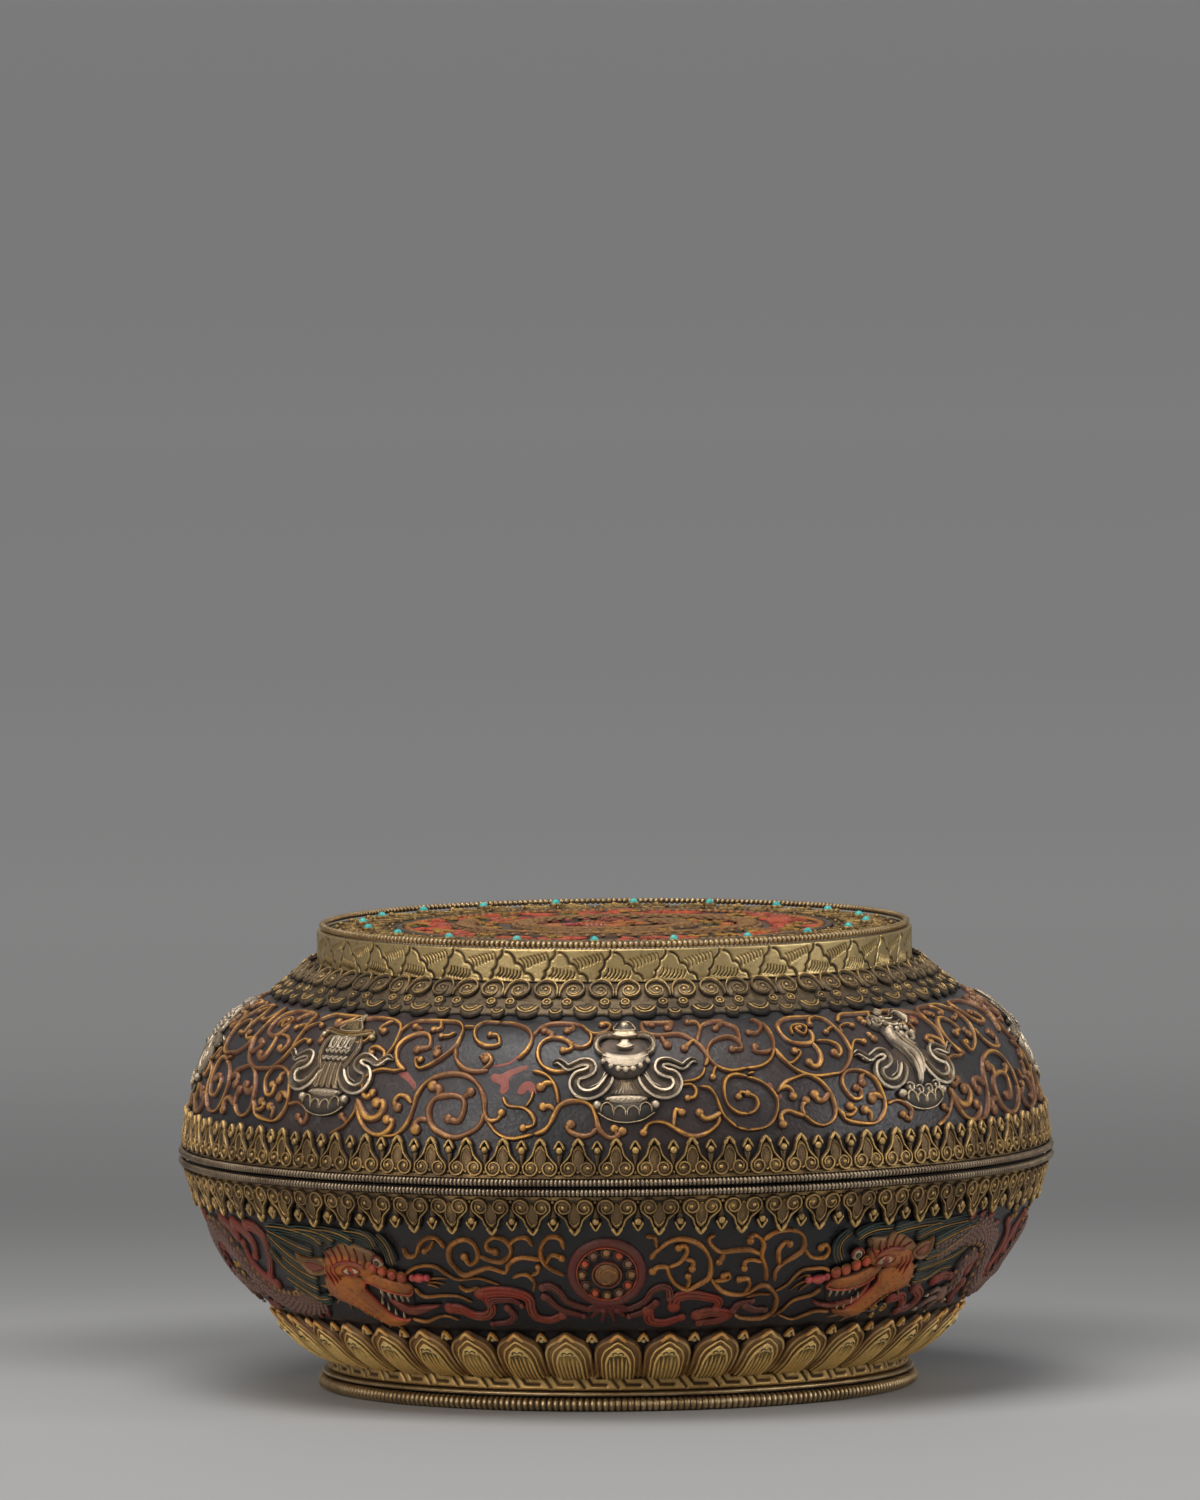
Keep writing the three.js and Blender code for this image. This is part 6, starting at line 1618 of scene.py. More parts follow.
                  [(80.6, 18.9), (85.9, 20.2), (90.2, 22.4), (94.8, 24.6)],
                  [(79.1, 16.2), (84.9, 17.2), (90.7, 18.6), (96.0, 20.8)],
                  [(79.6, 12.8), (84.2, 13.4), (88.3, 15.5), (93.0, 16.0)],
                  [(53.9, 19.9), (52.4, 22.7), (52.8, 25.4), (54.9, 27.4)]],
        "whiskers": [[(52.4, 16.9), (50.2, 17.8), (47.4, 17.8), (45.0, 17.6), (43.3, 16.0), (41.8, 13.7),
                      (39.0, 11.8)], [(51.6, 12.2), (49.6, 10.3), (44.9, 8.9), (42.6, 5.7), (40.4, 3.8)],
                     [(57.4, 4.6), (53.0, 5.0), (50.0, 3.9), (46.9, 2.6), (42.5, 4.3)]],
        "hairs": [[(47.6, 15.8), (45.8, 16.0), (44.0, 15.0)], [(47.6, 14.6), (45.1, 13.9), (42.9, 11.9)],
                  [(47.9, 14.0), (46.2, 12.6), (45.6, 11.4)]],
        "body": [(84, 18.4), (90, 21.6), (97, 23.6), (104.4, 23), (110, 18.6), (112, 12.4), (116.4, 7.2),
                 (122.6, 6.6), (128, 11.6), (134, 18), (141, 20.6), (148, 17.6)],
        "bellySide": -1,
        "leg": [(103.6, 18.6), (99.4, 14.4), (101.0, 9.6), (97.4, 6.8)],
        "claws": [[(97.6, 7.0), (94.2, 8.6), (91.6, 7.2)], [(97.2, 6.6), (93.6, 5.4), (91.2, 3.0)],
                  [(97.8, 6.2), (96.2, 3.4), (97.2, 1.4)], [(99.2, 6.6), (101.0, 4.2), (103.0, 4.4)]],
        "red": [[(104.6, 12.9), (105.3, 15.8), (107.6, 16.8)], [(90.3, 11.3), (93.6, 12.2), (96.9, 11.8)],
                [(119.8, 12.6), (121.5, 17.0), (120.4, 21.6), (116.6, 24.6)],
                [(124.6, 17.0), (127.0, 21.6), (131.6, 25.2)], [(133.0, 9.6), (138.4, 12.2), (143.6, 10.6)],
                [(84.0, 9.6), (88.0, 6.8), (87.4, 3.4), (83.0, 2.4)],
                [(76.6, 7.2), (80.4, 7.4), (82.6, 5.0)], [(107.0, 8.8), (106.4, 5.4), (109.6, 3.2)]],
        "mist": [(118.8, 26.4, 1.7, 100), (139.0, 5.4, 2.6, 200), (73.4, 4.0, 2.2, 20),
                 (133.6, 24.6, 1.6, 30)],
    },
}
bandScrolls = {
    "gold": [
        ("", 1.2, [(-50.9, 23.9), (-50.1, 21.7), (-47.9, 22.2), (-46.3, 24.9), (-44.0, 26.6), (-41.6, 26.5),
                   (-40.1, 24.4)]),
        ("s", 1.1, [(-45.3, 23.3), (-43.8, 24.2), (-42.6, 26.0)]),
        ("s", 1.3, [(-35.6, 22.2), (-34.6, 20.1), (-32.4, 21.9), (-32.8, 25.4), (-35.4, 26.5),
                    (-38.6, 24.7), (-39.6, 21.6), (-38.6, 19.1), (-36.6, 17.1), (-33.5, 18.2),
                    (-29.9, 19.3), (-26.3, 18.2), (-25.1, 20.6), (-22.1, 22.2), (-17.6, 21.7)]),
        ("e", 1.2, [(-31.8, 22.4), (-29.2, 21.2), (-26.4, 21.1), (-24.3, 23.6), (-24.9, 26.1),
                    (-27.5, 27.3), (-29.7, 25.9), (-29.7, 24.2), (-27.9, 23.6)]),
        ("", 1.2, [(-24.5, 25.4), (-22.6, 27.0), (-20.3, 27.2), (-19.1, 25.3)]),
        ("", 1.2, [(-12.0, 24.6), (-12.8, 27.2), (-15.4, 27.3), (-17.2, 24.7), (-17.2, 21.7), (-15.5, 19.3),
                   (-12.4, 17.6)]),
        ("s", 1.2, [(-12.6, 22.2), (-14.8, 22.9), (-16.4, 20.8)]),
        ("", 1.0, [(-24.6, 16.9), (-22.6, 17.7), (-20.8, 17.5), (-19.6, 15.4), (-20.3, 13.3)]),
        ("e", 1.0, [(-20.1, 17.5), (-18.4, 18.6), (-18.3, 19.9)]),
        ("", 0.7, [(-38.7, 14.3), (-37.0, 13.0), (-33.8, 13.9)]),
        ("", 1.2, [(6.5, 27.5), (8.4, 27.2), (8.9, 24.9)]),
        ("e", 1.3, [(7.6, 21.9), (9.4, 24.2), (12.4, 26.5), (15.7, 26.6), (19.1, 24.9), (21.3, 21.7),
                    (21.9, 18.3), (21.4, 16.1), (19.1, 14.5), (16.5, 13.3), (13.6, 15.1), (11.9, 18.0),
                    (11.4, 19.6), (9.4, 19.6), (8.2, 18.6)]),
        ("e", 1.2, [(12.0, 19.6), (14.6, 20.9), (15.9, 23.4), (15.3, 25.1), (13.9, 24.6)]),
        ("e", 1.2, [(15.2, 21.8), (17.5, 20.8), (17.4, 19.0)]),
        ("e", 1.1, [(16.6, 13.8), (17.0, 15.4), (16.6, 17.1)]),
        ("", 1.2, [(22.2, 16.1), (25.0, 12.8), (28.3, 11.5), (31.5, 11.6), (34.3, 13.4), (36.4, 13.6),
                   (39.1, 11.3), (40.4, 8.8), (40.4, 5.5), (37.6, 3.5), (32.3, 3.8), (30.0, 5.2)]),
        ("e", 1.1, [(23.0, 15.6), (25.0, 15.7), (26.7, 16.3), (26.3, 17.4), (25.1, 16.9)]),
        ("s", 1.1, [(29.1, 15.7), (31.2, 15.8), (32.0, 14.0), (31.4, 11.9)]),
        ("", 0.7, [(31.7, 10.8), (34.8, 11.4), (38.0, 11.2)]),
        ("", 1.2, [(22.0, 27.5), (20.8, 27.0), (21.2, 25.3), (23.6, 23.2), (27.0, 23.4), (30.5, 23.4),
                   (33.6, 22.2)]),
        ("e", 1.1, [(24.4, 23.2), (24.4, 21.8), (23.6, 20.6)]),
        ("s", 1.2, [(30.4, 25.8), (30.8, 27.2), (32.5, 26.6), (33.8, 24.7), (33.7, 21.9), (35.3, 18.5),
                    (36.0, 15.3)]),
        ("", 1.3, [(33.6, 25.9), (36.3, 27.8), (40.2, 28.0), (43.1, 26.6), (44.0, 23.6), (42.5, 21.6),
                   (39.3, 19.5), (37.9, 17.2), (38.2, 15.1)]),
        ("e", 1.2, [(44.1, 23.1), (46.5, 20.8), (49.8, 20.6), (50.7, 22.6), (49.5, 23.9), (48.3, 23.2)]),
        ("e", 1.2, [(38.4, 19.6), (37.7, 22.9), (39.0, 25.1), (40.1, 24.6)]),
        ("s", 1.1, [(29.9, 18.7), (29.9, 20.4), (31.3, 20.9), (34.0, 20.3)]),
    ],
    "broad": [
        [(-43.1, 7.4), (-40.2, 7.2), (-36.6, 5.2), (-33.3, 5.6), (-31.6, 8.2), (-32.6, 10.6), (-33.2, 12.2)],
        [(-33.7, 12.2), (-29.1, 13.0), (-24.3, 12.5), (-21.6, 10.9), (-21.6, 7.9), (-20.6, 5.1),
         (-17.2, 4.2), (-13.9, 5.8)],
        [(13.9, 8.3), (14.2, 10.9), (17.4, 11.8), (22.1, 11.0), (25.0, 9.8), (24.7, 7.1)],
        [(20.2, 5.4), (23.6, 6.3), (28.3, 5.5), (25.7, 3.2), (21.3, 2.8)],
        [(7.5, 7.1), (8.5, 3.9), (12.1, 3.1), (16.2, 4.9)],
    ],
    "narrow": [
        [(-32.0, 9.0), (-30.6, 10.4), (-28.3, 10.5), (-25.5, 10.4), (-23.8, 8.8)],
        [(-17.9, 14.2), (-15.9, 14.6), (-13.7, 12.7), (-12.1, 10.0), (-7.4, 8.0), (-3.6, 7.6)],
        [(-17.7, 11.6), (-16.8, 11.0), (-15.6, 9.2), (-13.3, 7.4), (-8.5, 5.6)],
        [(-27.6, 8.0), (-26.4, 5.4), (-28.8, 3.2), (-33.0, 2.6)],
        [(12.7, 10.9), (12.2, 13.7), (10.4, 14.3), (8.2, 13.0), (6.7, 10.3), (3.4, 8.2), (-0.2, 7.6)],
        [(9.4, 9.6), (6.4, 6.9), (2.9, 5.5)],
        [(29.3, 6.6), (30.6, 8.6), (33.7, 9.4)], [(32.2, 7.9), (34.8, 6.6), (38.0, 6.4)],
    ],
}


def besideLine(knots, aside):
    # the same line moved to its left
    line = np.array([knot[:2] for knot in knots], float)
    way = np.gradient(line, axis=0)
    way /= np.linalg.norm(way, axis=1)[:, None]
    return [tuple(spot) for spot in line + aside * np.column_stack([-way[:, 1], way[:, 0]])]


def tapered(knots, start=1.0, end=0.25):
    return [(x, y, start + (end - start) * place / (len(knots) - 1)) for place, (x, y) in enumerate(knots)]


def hairLock(art, knots):
    ridge(art, tapered(knots, 1.0, 0.3), 3.5, 1.15, "teal", 0.35, lift=0.65)
    for aside, share, paint in ((-1.15, 0.5, "strand"), (-0.45, 0.9, "streak"), (0.3, 1.0, "strand"),
                                (1.05, 0.6, "strand")):
        ridge(art, tapered(besideLine(knots, aside), 1.0, 0.5), 0.45, 0.4, paint, 0.85 + 0.4 * share,
              "thin", step=1.0)


def eyeball(art, spot, rim):
    if rim:
        leaf(art, rim, 0.7, "ivory", 1.35, step=0.7)
        ridge(art, rim + rim[:1], 0.55, 0.6, "red", 1.6, step=0.7)
    bead(art, *spot, 1.05, 0.6, "knuckle", 1.75, 12)
    bead(art, *spot, 0.55, 0.45, "black", 2.1, 10)


def dragonHead(art, look):
    leaf(art, look["patch"], 0.6, "teal", 0.02, "plate", look["patchHeart"], lift=0.35)
    for knots in look["locks"]:
        hairLock(art, knots)
    leaf(art, look["mouth"], 0.4, "black", 0.05, "plate", lift=0.3)
    leaf(art, look["tongue"], 1.0, "red", 0.3, heart=look.get("tongueHeart"))
    leaf(art, look["jaw"], 1.7, "orange", 0.1, heart=look["jawHeart"], lift=0.85)
    start, end = (np.array(spot) for spot in look["jawHeart"])
    run = (end - start) / np.linalg.norm(end - start)
    for place in range(13):
        for aside in (-2.3, -0.8, 0.8, 2.3):
            share = (place + (0.5 if aside > 0 else 0.0)) / 13
            spot = start + (end - start) * share + np.array([-run[1], run[0]]) * aside * (1 - 0.45 * share)
            paint = ("streak", "knuckle")[place % 2]
            ridge(art, [tuple(spot - run * 0.35), tuple(spot + run * 0.4)], 0.5, 0.34, paint, 1.58, "thin")
    edge = look["jaw"][look["edgeStart"]:look["edgeEnd"]]
    for x, y in edge[1:]:
        middle = look["jawHeart"][0] if abs(x) > abs(look["jawHeart"][1][0]) + 2 else look["jawHeart"][1]
        run = np.array([x - middle[0], y - middle[1]])
        run /= np.linalg.norm(run)
        tip = np.array([x, y]) + run * 2.1
        ridge(art, tapered([(x - run[0] * 1.4, y - run[1] * 1.4), (x, y), tuple(tip)], 1.0, 0.2), 1.2, 0.8,
              "belly", 0.55)
    ridge(art, look["jaw"][look["edgeEnd"] + 1:-2], 0.75, 0.7, "knuckle", 0.85)
    leaf(art, look["snout"], 1.5, "orange", 0.3, lift=0.75)
    ridge(art, look["snout"][5:11], 0.7, 0.6, "knuckle", 0.9)
    leaf(art, look["skull"], 1.3, "belly", 0.3, lift=0.75)
    leaf(art, look["face"], 1.5, "orange", 0.45, lift=0.85)
    leaf(art, look["ear"], 1.2, "belly", 0.6, "rimmed", lift=0.9)
    leaf(art, look["earIn"], 0.5, "red", 1.3)
    side = 1 if look["eye"][0] < 0 else -1
    for place in range(3):
        x, y = look["eye"][0] - side * (4.6 + 1.5 * place), look["eye"][1] - 1.6
        ridge(art, [(x, y + 2.6), (x - side * 0.7, y + 1.0), (x + side * 0.2, y - 1.0 - place)], 0.55, 0.5,
              "knuckle", 1.7 - 0.1 * place, "thin")
    for x, y in look["knuckles"]:
        bead(art, x, y, 1.3, 1.15, "knuckle", 0.8, 12)
        ridge(art, arcLine(x, y, 1.35, 1.35, 10, 170, 32), 0.45, 0.5, "gold", 0.75, "thin")
    leaf(art, look["nose"], 1.4, "pink", 0.5)
    for x, y in look["nose"][::2]:
        bead(art, x, y, 0.95, 1.0, "pink", 0.6, 10)
    eyeball(art, look["eye"], look["eyeRim"])
    bead(art, *look["farEye"], 1.5, 1.0, "ivory", 0.5, 12)
    bead(art, *look["farEye"], 0.75, 0.5, "black", 1.35, 8)
    ridge(art, arcLine(*look["farEye"], 1.6, 1.6, 0, 200, 28), 0.6, 0.7, "red", 0.9)
    ridge(art, look["brow"], 1.0, 0.9, "red", 1.5)
    rooted = smoothLine(look["brow"], 0.4)
    for place, (x, y) in enumerate(look["flames"]):
        root = rooted[int((place + 0.5) / len(look["flames"]) * len(rooted))][:2]
        bend = ((root[0] + x) / 2 + side * 0.5, (root[1] + y) / 2)
        ridge(art, tapered([tuple(root), bend, (x, y)], 1.0, 0.2), 1.1, 0.8, "red", 1.35)
    for x, y in look["topTeeth"]:
        ridge(art, tapered([(x, y + 1.0), (x, y - 0.2), (x - side * 0.2, y - 1.5)], 1.0, 0.25), 0.95, 0.75,
              "ivory", 0.8)
    for x, y in look["lowTeeth"]:
        ridge(art, tapered([(x, y - 0.9), (x + side * 0.3, y + 0.2), (x + side * 0.7, y + 1.3)], 1.0,
                           0.25), 0.85, 0.7, "ivory", 0.8)
    for knots in look["whiskers"]:
        ridge(art, tapered(knots, 1.0, 0.4), 1.05, 0.85, "gold", 0.1)
    for knots in look["hairs"]:
        ridge(art, tapered(knots, 1.0, 0.3), 0.6, 0.6, "gold", 0.1)


def scaledBody(art, knots, width, bellySide, scale=1.4, paint="skin"):
    # a round body under staggered scales, with plates along its belly and flames along its back
    height = 1.3
    ridge(art, tapered(knots, 1.0, 0.8), width, height, paint, 0.05, step=1.6, lift=0.5)
    line = smoothLine(knots, 0.25)
    gone = np.concatenate([[0], np.cumsum(np.linalg.norm(np.diff(line[:, :2], axis=0), axis=1))])

    def at(distance, aside):
        place = min(max(distance, 0.05), gone[-1] - 0.05)
        before, after = (np.array([np.interp(place + d, gone, line[:, i]) for i in (0, 1)])
                         for d in (-0.05, 0.05))
        run = (after - before) / np.linalg.norm(after - before)
        return (before + after) / 2 + aside * np.array([-run[1], run[0]]), run

    rows = int(gone[-1] / scale * 1.1)
    for row in range(1, rows):
        distance = gone[-1] * row / rows
        slim = 1 - 0.2 * distance / gone[-1]
        for column in range(-3, 4):
            aside = (column + (0.5 if row % 2 else 0.0) + bellySide * -0.45) * scale * 0.9 * slim
            if abs(aside) > width * 0.4 * slim or aside * bellySide > width * 0.24 * slim:
                continue
            spot, run = at(distance, aside)
            up = height * (1 - 0.55 * (2 * aside / width) ** 2) - 0.2
            across = np.array([-run[1], run[0]])
            scaleLine = [tuple(spot + run * along * scale + across * beside * scale)
                         for along, beside in ((-0.5, 0.3), (-0.5, -0.3), (0.1, -0.52), (0.62, 0.0),
                                               (0.1, 0.52))]
            leaf(art, scaleLine, 0.4, paint, up, smooth=False, lift=0.8)
        if row % 2:
            first, _ = at(distance, bellySide * width * 0.27 * slim)
            last, _ = at(distance + 0.5, bellySide * width * 0.47 * slim)
            ridge(art, [tuple(first), tuple(last)], 1.5, 0.6, "belly", 0.5)
        if row % 3 == 0:
            first, _ = at(distance, -bellySide * width * 0.4 * slim)
            last, _ = at(distance + 2.2, -bellySide * width * 0.66 * slim)
            ridge(art, tapered([tuple(first), tuple((first + last) / 2), tuple(last)], 1.0, 0.2), 1.7, 0.9,
                  "red", 0.2)


def clawedLeg(art, look):
    scaledBody(art, look["leg"], 4.6, look["bellySide"], 1.35)
    x, y = look["leg"][-1]
    bead(art, x, y, 2.2, 1.3, "skin", 0.3, 12)
    for knots in look["claws"]:
        ridge(art, tapered(knots, 1.0, 0.55), 1.5, 1.1, "skin", 0.3)
        tip, before = np.array(knots[-1]), np.array(knots[-2])
        nail = [tuple(tip), tuple(tip + (tip - before) * 0.45)]
        ridge(art, tapered(nail, 1.0, 0.2), 1.0, 0.8, "ivory", 0.4)
    ridge(art, tapered(besideLine(look["leg"], 2.6), 1.0, 0.3), 1.2, 0.8, "red", 0.1)


def ahead(x, y, turn, away):
    return x + math.cos(math.radians(turn)) * away, y + math.sin(math.radians(turn)) * away


def mistCurl(art, x, y, size, turn):
    for start, radius in ((0, 1.0), (130, 0.8), (240, 0.7)):
        middle = ahead(x, y, turn + start, size * 0.75)
        bead(art, *middle, size * radius * 0.62, 0.6, "mist", 0.05, 12, lift=0.7)
        curl = arcLine(*middle, 0.25, size * radius * 0.6, turn + start, turn + start + 450, 36)
        ridge(art, curl, 0.55, 0.5, "streak", 0.5, "thin")
    back = -size * math.cos(math.radians(turn))
    tail = [(x, y), (x + back * 1.3, y - size * 0.2), (x + back * 2.1, y + size * 0.3)]
    ridge(art, tapered(tail), 1.5, 0.7, "mist", 0.05)


def redRibbon(art, knots, width=3.2, paint="ribbon"):
    ridge(art, tapered(knots, 1.0, 0.62), width, 0.8, paint, 0.03, "flat", ends=(0.6, 0.5), lift=0.8)
    for (x, y), share in ((knots[0], 0.55), (knots[-1], 0.4)):
        bead(art, x, y, width * share, 0.95, paint, 0.02, 14, lift=0.85)


def wheelDisc(art):
    x, y = -2.4, 18.0

    def around(radius, count):
        return [(x + radius * math.sin(2 * math.pi * i / count),
                 y + radius * math.cos(2 * math.pi * i / count)) for i in range(count)]
    leaf(art, around(8.4, 28), 0.35, "black", 0.02, "plate", lift=0.3)
    ridge(art, around(8.1, 28), 2.5, 0.9, "deepRed", 0.1, closed=True, lift=0.72)
    for spread in (-64, -40, -14, 14, 40, 64):
        petal = [ahead(x, y - 7.6, spread - 90, away) for away in (1.4, 4.2, 7.2)]
        ridge(art, tapered(petal, 1.0, 0.4), 1.9, 0.75, "deepRed", 0.02, "flat", lift=0.72)
    ridge(art, around(7.0, 28), 0.4, 0.6, "knuckle", 0.3, closed=True)
    bead(art, x, y, 3.1, 1.1, "belly", 0.25, 20, lift=0.8)
    ridge(art, around(3.3, 20), 0.7, 0.8, "deepRed", 0.3, closed=True)
    for turn in (0, 120, 240):
        ridge(art, tapered(arcLine(x, y, 2.3, 0.2, turn, turn + 200, 24)), 0.9, 0.5, "gold", 1.05)
    for place, (beadX, beadY) in enumerate(around(5.7, 12)):
        paint = ("belly", "knuckle", "skin")[place % 3]
        bead(art, beadX, beadY, 0.95, 1.1, paint, 0.25, 12)
        ridge(art, arcLine(beadX, beadY, 1.2, 1.2, 0, 320, 40), 0.35, 0.5, "brown", 0.3, "thin")


def dragonBand():
    for name, look in dragons.items():
        head, body = newDrawing(), newDrawing()
        dragonHead(head, look)
        scaledBody(body, look["body"], 8.4, look["bellySide"])
        clawedLeg(body, look)
        for knots in look["red"]:
            redRibbon(body, knots)
        for curl in look["mist"]:
            mistCurl(body, *curl)
        for part, art in (("head", head), ("body", body)):
            buildRelief("dragon_" + part + "_" + name, art, bentOn(bowlWall, bowlReach),
                        "paintedRelief", "base", count=2)


def wheelAndScrolls():
    art = newDrawing()
    wheelDisc(art)
    vineField(art, bandScrolls["gold"], 0.0, "gold")
    for knots in bandScrolls["broad"]:
        redRibbon(art, knots)
    for knots in bandScrolls["narrow"]:
        redRibbon(art, knots, 2.1, "deepRed")
    buildRelief("wheel_and_scrolls", art, bentOn(bowlWall, bowlReach), "paintedRelief",
                "base", count=2)


dragonBand()
wheelAndScrolls()
report("dragons, wheel and scrolls round the bowl")


# The top of the lid: a painted disc with a coiled dragon, a filigree ring and twenty stones in collets
topLook = {
    "field": 105.3, "rim": 105.95, "ground": ((98, 80, 62), 0.15), "plate": edges("jewel_plate"),
    "disc": edges("medallion"), "stones": 20,
    "firstStone": -4.5, "circle": 58.0, "collet": 1.32, "scrolls": 40, "beadRing": 47.5,
    "flames": 165, "thickness": 0.8,
    "coil": [(8.0, 7.0), (14.5, 2.0), (16.0, -7.0), (9.5, -15.5), (-2.0, -18.5), (-14.0, -14.5),
             (-20.5, -4.0), (-19.0, 9.0), (-9.5, 18.5), (4.0, 22.0), (18.0, 19.0), (28.0, 9.5),
             (31.5, -3.5), (28.5, -17.0), (19.0, -27.5), (5.0, -33.0), (-9.5, -32.5), (-22.5, -26.5),
             (-31.5, -15.0), (-35.0, -1.5), (-33.0, 12.0)],
}


def onTop(flat, height, turn=0.0):
    x, y = turnedBy(math.radians(turn), flat[:, 0], flat[:, 1])
    return np.column_stack([x, y, flat[:, 2] + height]) * mm


def topDisc():
    box, field, rimTop = topLook["disc"], topLook["field"], topLook["rim"]
    radius, low = box["radius"], box["low"]
    outline = [(0, low), (radius, low), (radius, rimTop - 0.3), (radius - 0.3, rimTop),
               (radius - 1.1, rimTop), (radius - 1.5, field), (radius - 20, field + 0.1), (0, field + 0.2)]
    disc = turnedPiece("medallion_disc", outline, closed=False)
    setPaint(disc, np.tile(paintOf(*topLook["ground"]), len(disc.data.vertices)))
    setRise(disc, 0.55)
    settle(disc, "paintedRelief", "lid", ["medallion"], angle=30)


def movedHead(art, look, middle, place, size, turn):
    # a dragon's head drawn in its own place on the bowl, then carried over
    head = newDrawing()
    dragonHead(head, look)
    angle = math.radians(turn)
    for block in head["spots"]:
        x, y = (block[:, 0] - middle[0]) * size, (block[:, 1] - middle[1]) * size
        x, y = turnedBy(angle, x, y)
        block[:, 0], block[:, 1] = place[0] + x, place[1] + y
        block[:, 2] *= size
    first = sum(len(block) for block in art["spots"])
    art["faces"] += [[first + i for i in face] for face in head["faces"]]
    for key in ("spots", "paint", "rise"):
        art[key] += head[key]


def topDragon():
    art = newDrawing()
    scaledBody(art, topLook["coil"], 6.4, 1, 1.9, "coil")
    movedHead(art, dragons["right"], (66.0, 14.0), (0.0, 2.0), 0.62, 20)
    for share, turn in ((0.2, 60), (0.45, 200), (0.62, -30), (0.82, 110)):
        x, y = topLook["coil"][int(share * len(topLook["coil"]))]
        for spread in (-28, 0, 28):
            knots = [ahead(x, y, turn, 3), ahead(x, y, turn, 6.5), ahead(x, y, turn + spread, 10.5)]
            ridge(art, tapered(knots, 1.0, 0.3), 1.7, 1.1, "belly", 0.1)
    for x, y in circle(0, 0, topLook["beadRing"], 150):
        bead(art, x, y, 0.85, 0.75, "gold", 0.0)
    rng = random.Random(11)
    line = smoothLine(topLook["coil"], 1.0)
    placed = 0
    while placed < topLook["flames"]:
        radius, turn = 8 + 38 * math.sqrt(rng.random()), rng.uniform(0, 360)
        x, y = ahead(0, 0, turn, radius)
        if np.min(np.hypot(line[:, 0] - x, line[:, 1]
                           - y)) < 4.4 or radius > 46.5 or math.hypot(x, y - 2) < 10:
            continue
        placed += 1
        lean = rng.uniform(0, 360)
        if placed % 5 == 4:
            topCloud(art, x, y, rng.uniform(1.9, 2.9), lean)
            continue
        size = rng.uniform(2.3, 4.2)
        paint = "orange" if radius < 30 and placed % 4 else "flame"
        for branch, bend in ((1.0, 0.5), (0.75, -0.6), (0.6, 1.3)):
            tip = ahead(*ahead(x, y, lean, size * branch), lean + 90, size * bend * 0.3)
            knots = [ahead(x, y, lean, -size * 0.6), ahead(x, y, lean + 90, size * bend * 0.5), tip]
            ridge(art, tapered(knots, 1.0, 0.2), 1.5, 0.9, paint, 0.0)
    buildRelief("medallion_dragon", art, lambda flat: onTop(flat, topLook["field"]), "paintedRelief",
                "lid")


def topCloud(art, x, y, size, turn):
    for start, radius in ((0, 1.0), (140, 0.8), (230, 0.7)):
        middle = ahead(x, y, turn + start, size * 0.7)
        bead(art, *middle, size * radius * 0.75, 0.7, "olive", 0.0, 14, lift=0.7)
        curl = arcLine(*middle, 0.3, size * radius * 0.65, turn, turn + 430, 36)
        ridge(art, curl, 0.5, 0.5, "streak", 0.55, "thin")


def topRing():
    plate, reach = topLook["plate"], topLook["circle"]
    inner, outer = topLook["disc"]["radius"] + seat, plate["radius"]
    low, high = plate["low"], plate["low"] + topLook["thickness"]
    level = high - 0.05  # the relief stands a little in the plate
    outline = [(inner, low), (outer, low), (outer, high - 0.2), (outer - 0.2, high), (inner + 0.2, high),
               (inner, high - 0.2)]
    ring = turnedPiece("filigree_ground", outline)
    setRise(ring, 0.35)
    settle(ring, "topFiligree", "lid", ["jewel_plate"], angle=30)
    scrolls = newDrawing()
    pitch = 2 * math.pi * reach / topLook["scrolls"]
    for side in (1, -1):
        scroll = [(side * (pitch / 2 - 0.9) * share, y)
                  for share, y in ((0.0, -5.2), (0.55, -4.6), (0.9, -3.0), (0.75, -1.2), (0.2, 0.0),
                                   (-0.35, 1.2), (-0.6, 2.8), (-0.3, 4.6), (0.25, 4.9), (0.5, 4.0),
                                   (0.2, 3.2))]
        ridge(scrolls, scroll, 0.6, 0.75, "gilt", 0.0, lift=0.9)
        ridge(scrolls, arcLine(side * pitch * 0.32, -3.6, 0.25, 1.3, 30, 460, 34), 0.42, 0.6, "gilt",
              0.0, "thin")
        bead(scrolls, side * pitch * 0.3, 2.2, 0.6, 0.85, "gilt", 0.0, 8)
    bead(scrolls, 0, -6.4, 0.5, 0.7, "gilt", 0.0, 8)
    bead(scrolls, 0, 5.7, 0.75, 1.0, "gilt", 0.0, 10)
    bead(scrolls, pitch / 2, -2.0, 0.45, 0.7, "gilt", 0.0, 8)

    def place(flat):
        angle = (flat[:, 0] + pitch / 2) / reach + math.radians(topLook["firstStone"])
        radius = reach + flat[:, 1]
        return np.column_stack([radius * np.sin(angle), -radius * np.cos(angle), flat[:, 2] + level]) * mm
    buildRelief("filigree_scrolls", scrolls, place, "topFiligree", "lid",
                count=topLook["scrolls"])
    collets = newDrawing()
    ridge(collets, circle(0, 0, topLook["collet"], 12), 0.42, 1.45, "gilt", 0.0, closed=True, step=0.5)
    for x, y in circle(0, 0, topLook["collet"] + 0.43, 12):
        bead(collets, x, y, 0.26, 0.6, "gilt", 0.0, 6)
    buildRelief("collets", collets, lambda flat: onTop(flat + (0, -reach, 0), level, topLook["firstStone"]),
                "topFiligree", "lid", count=topLook["stones"])


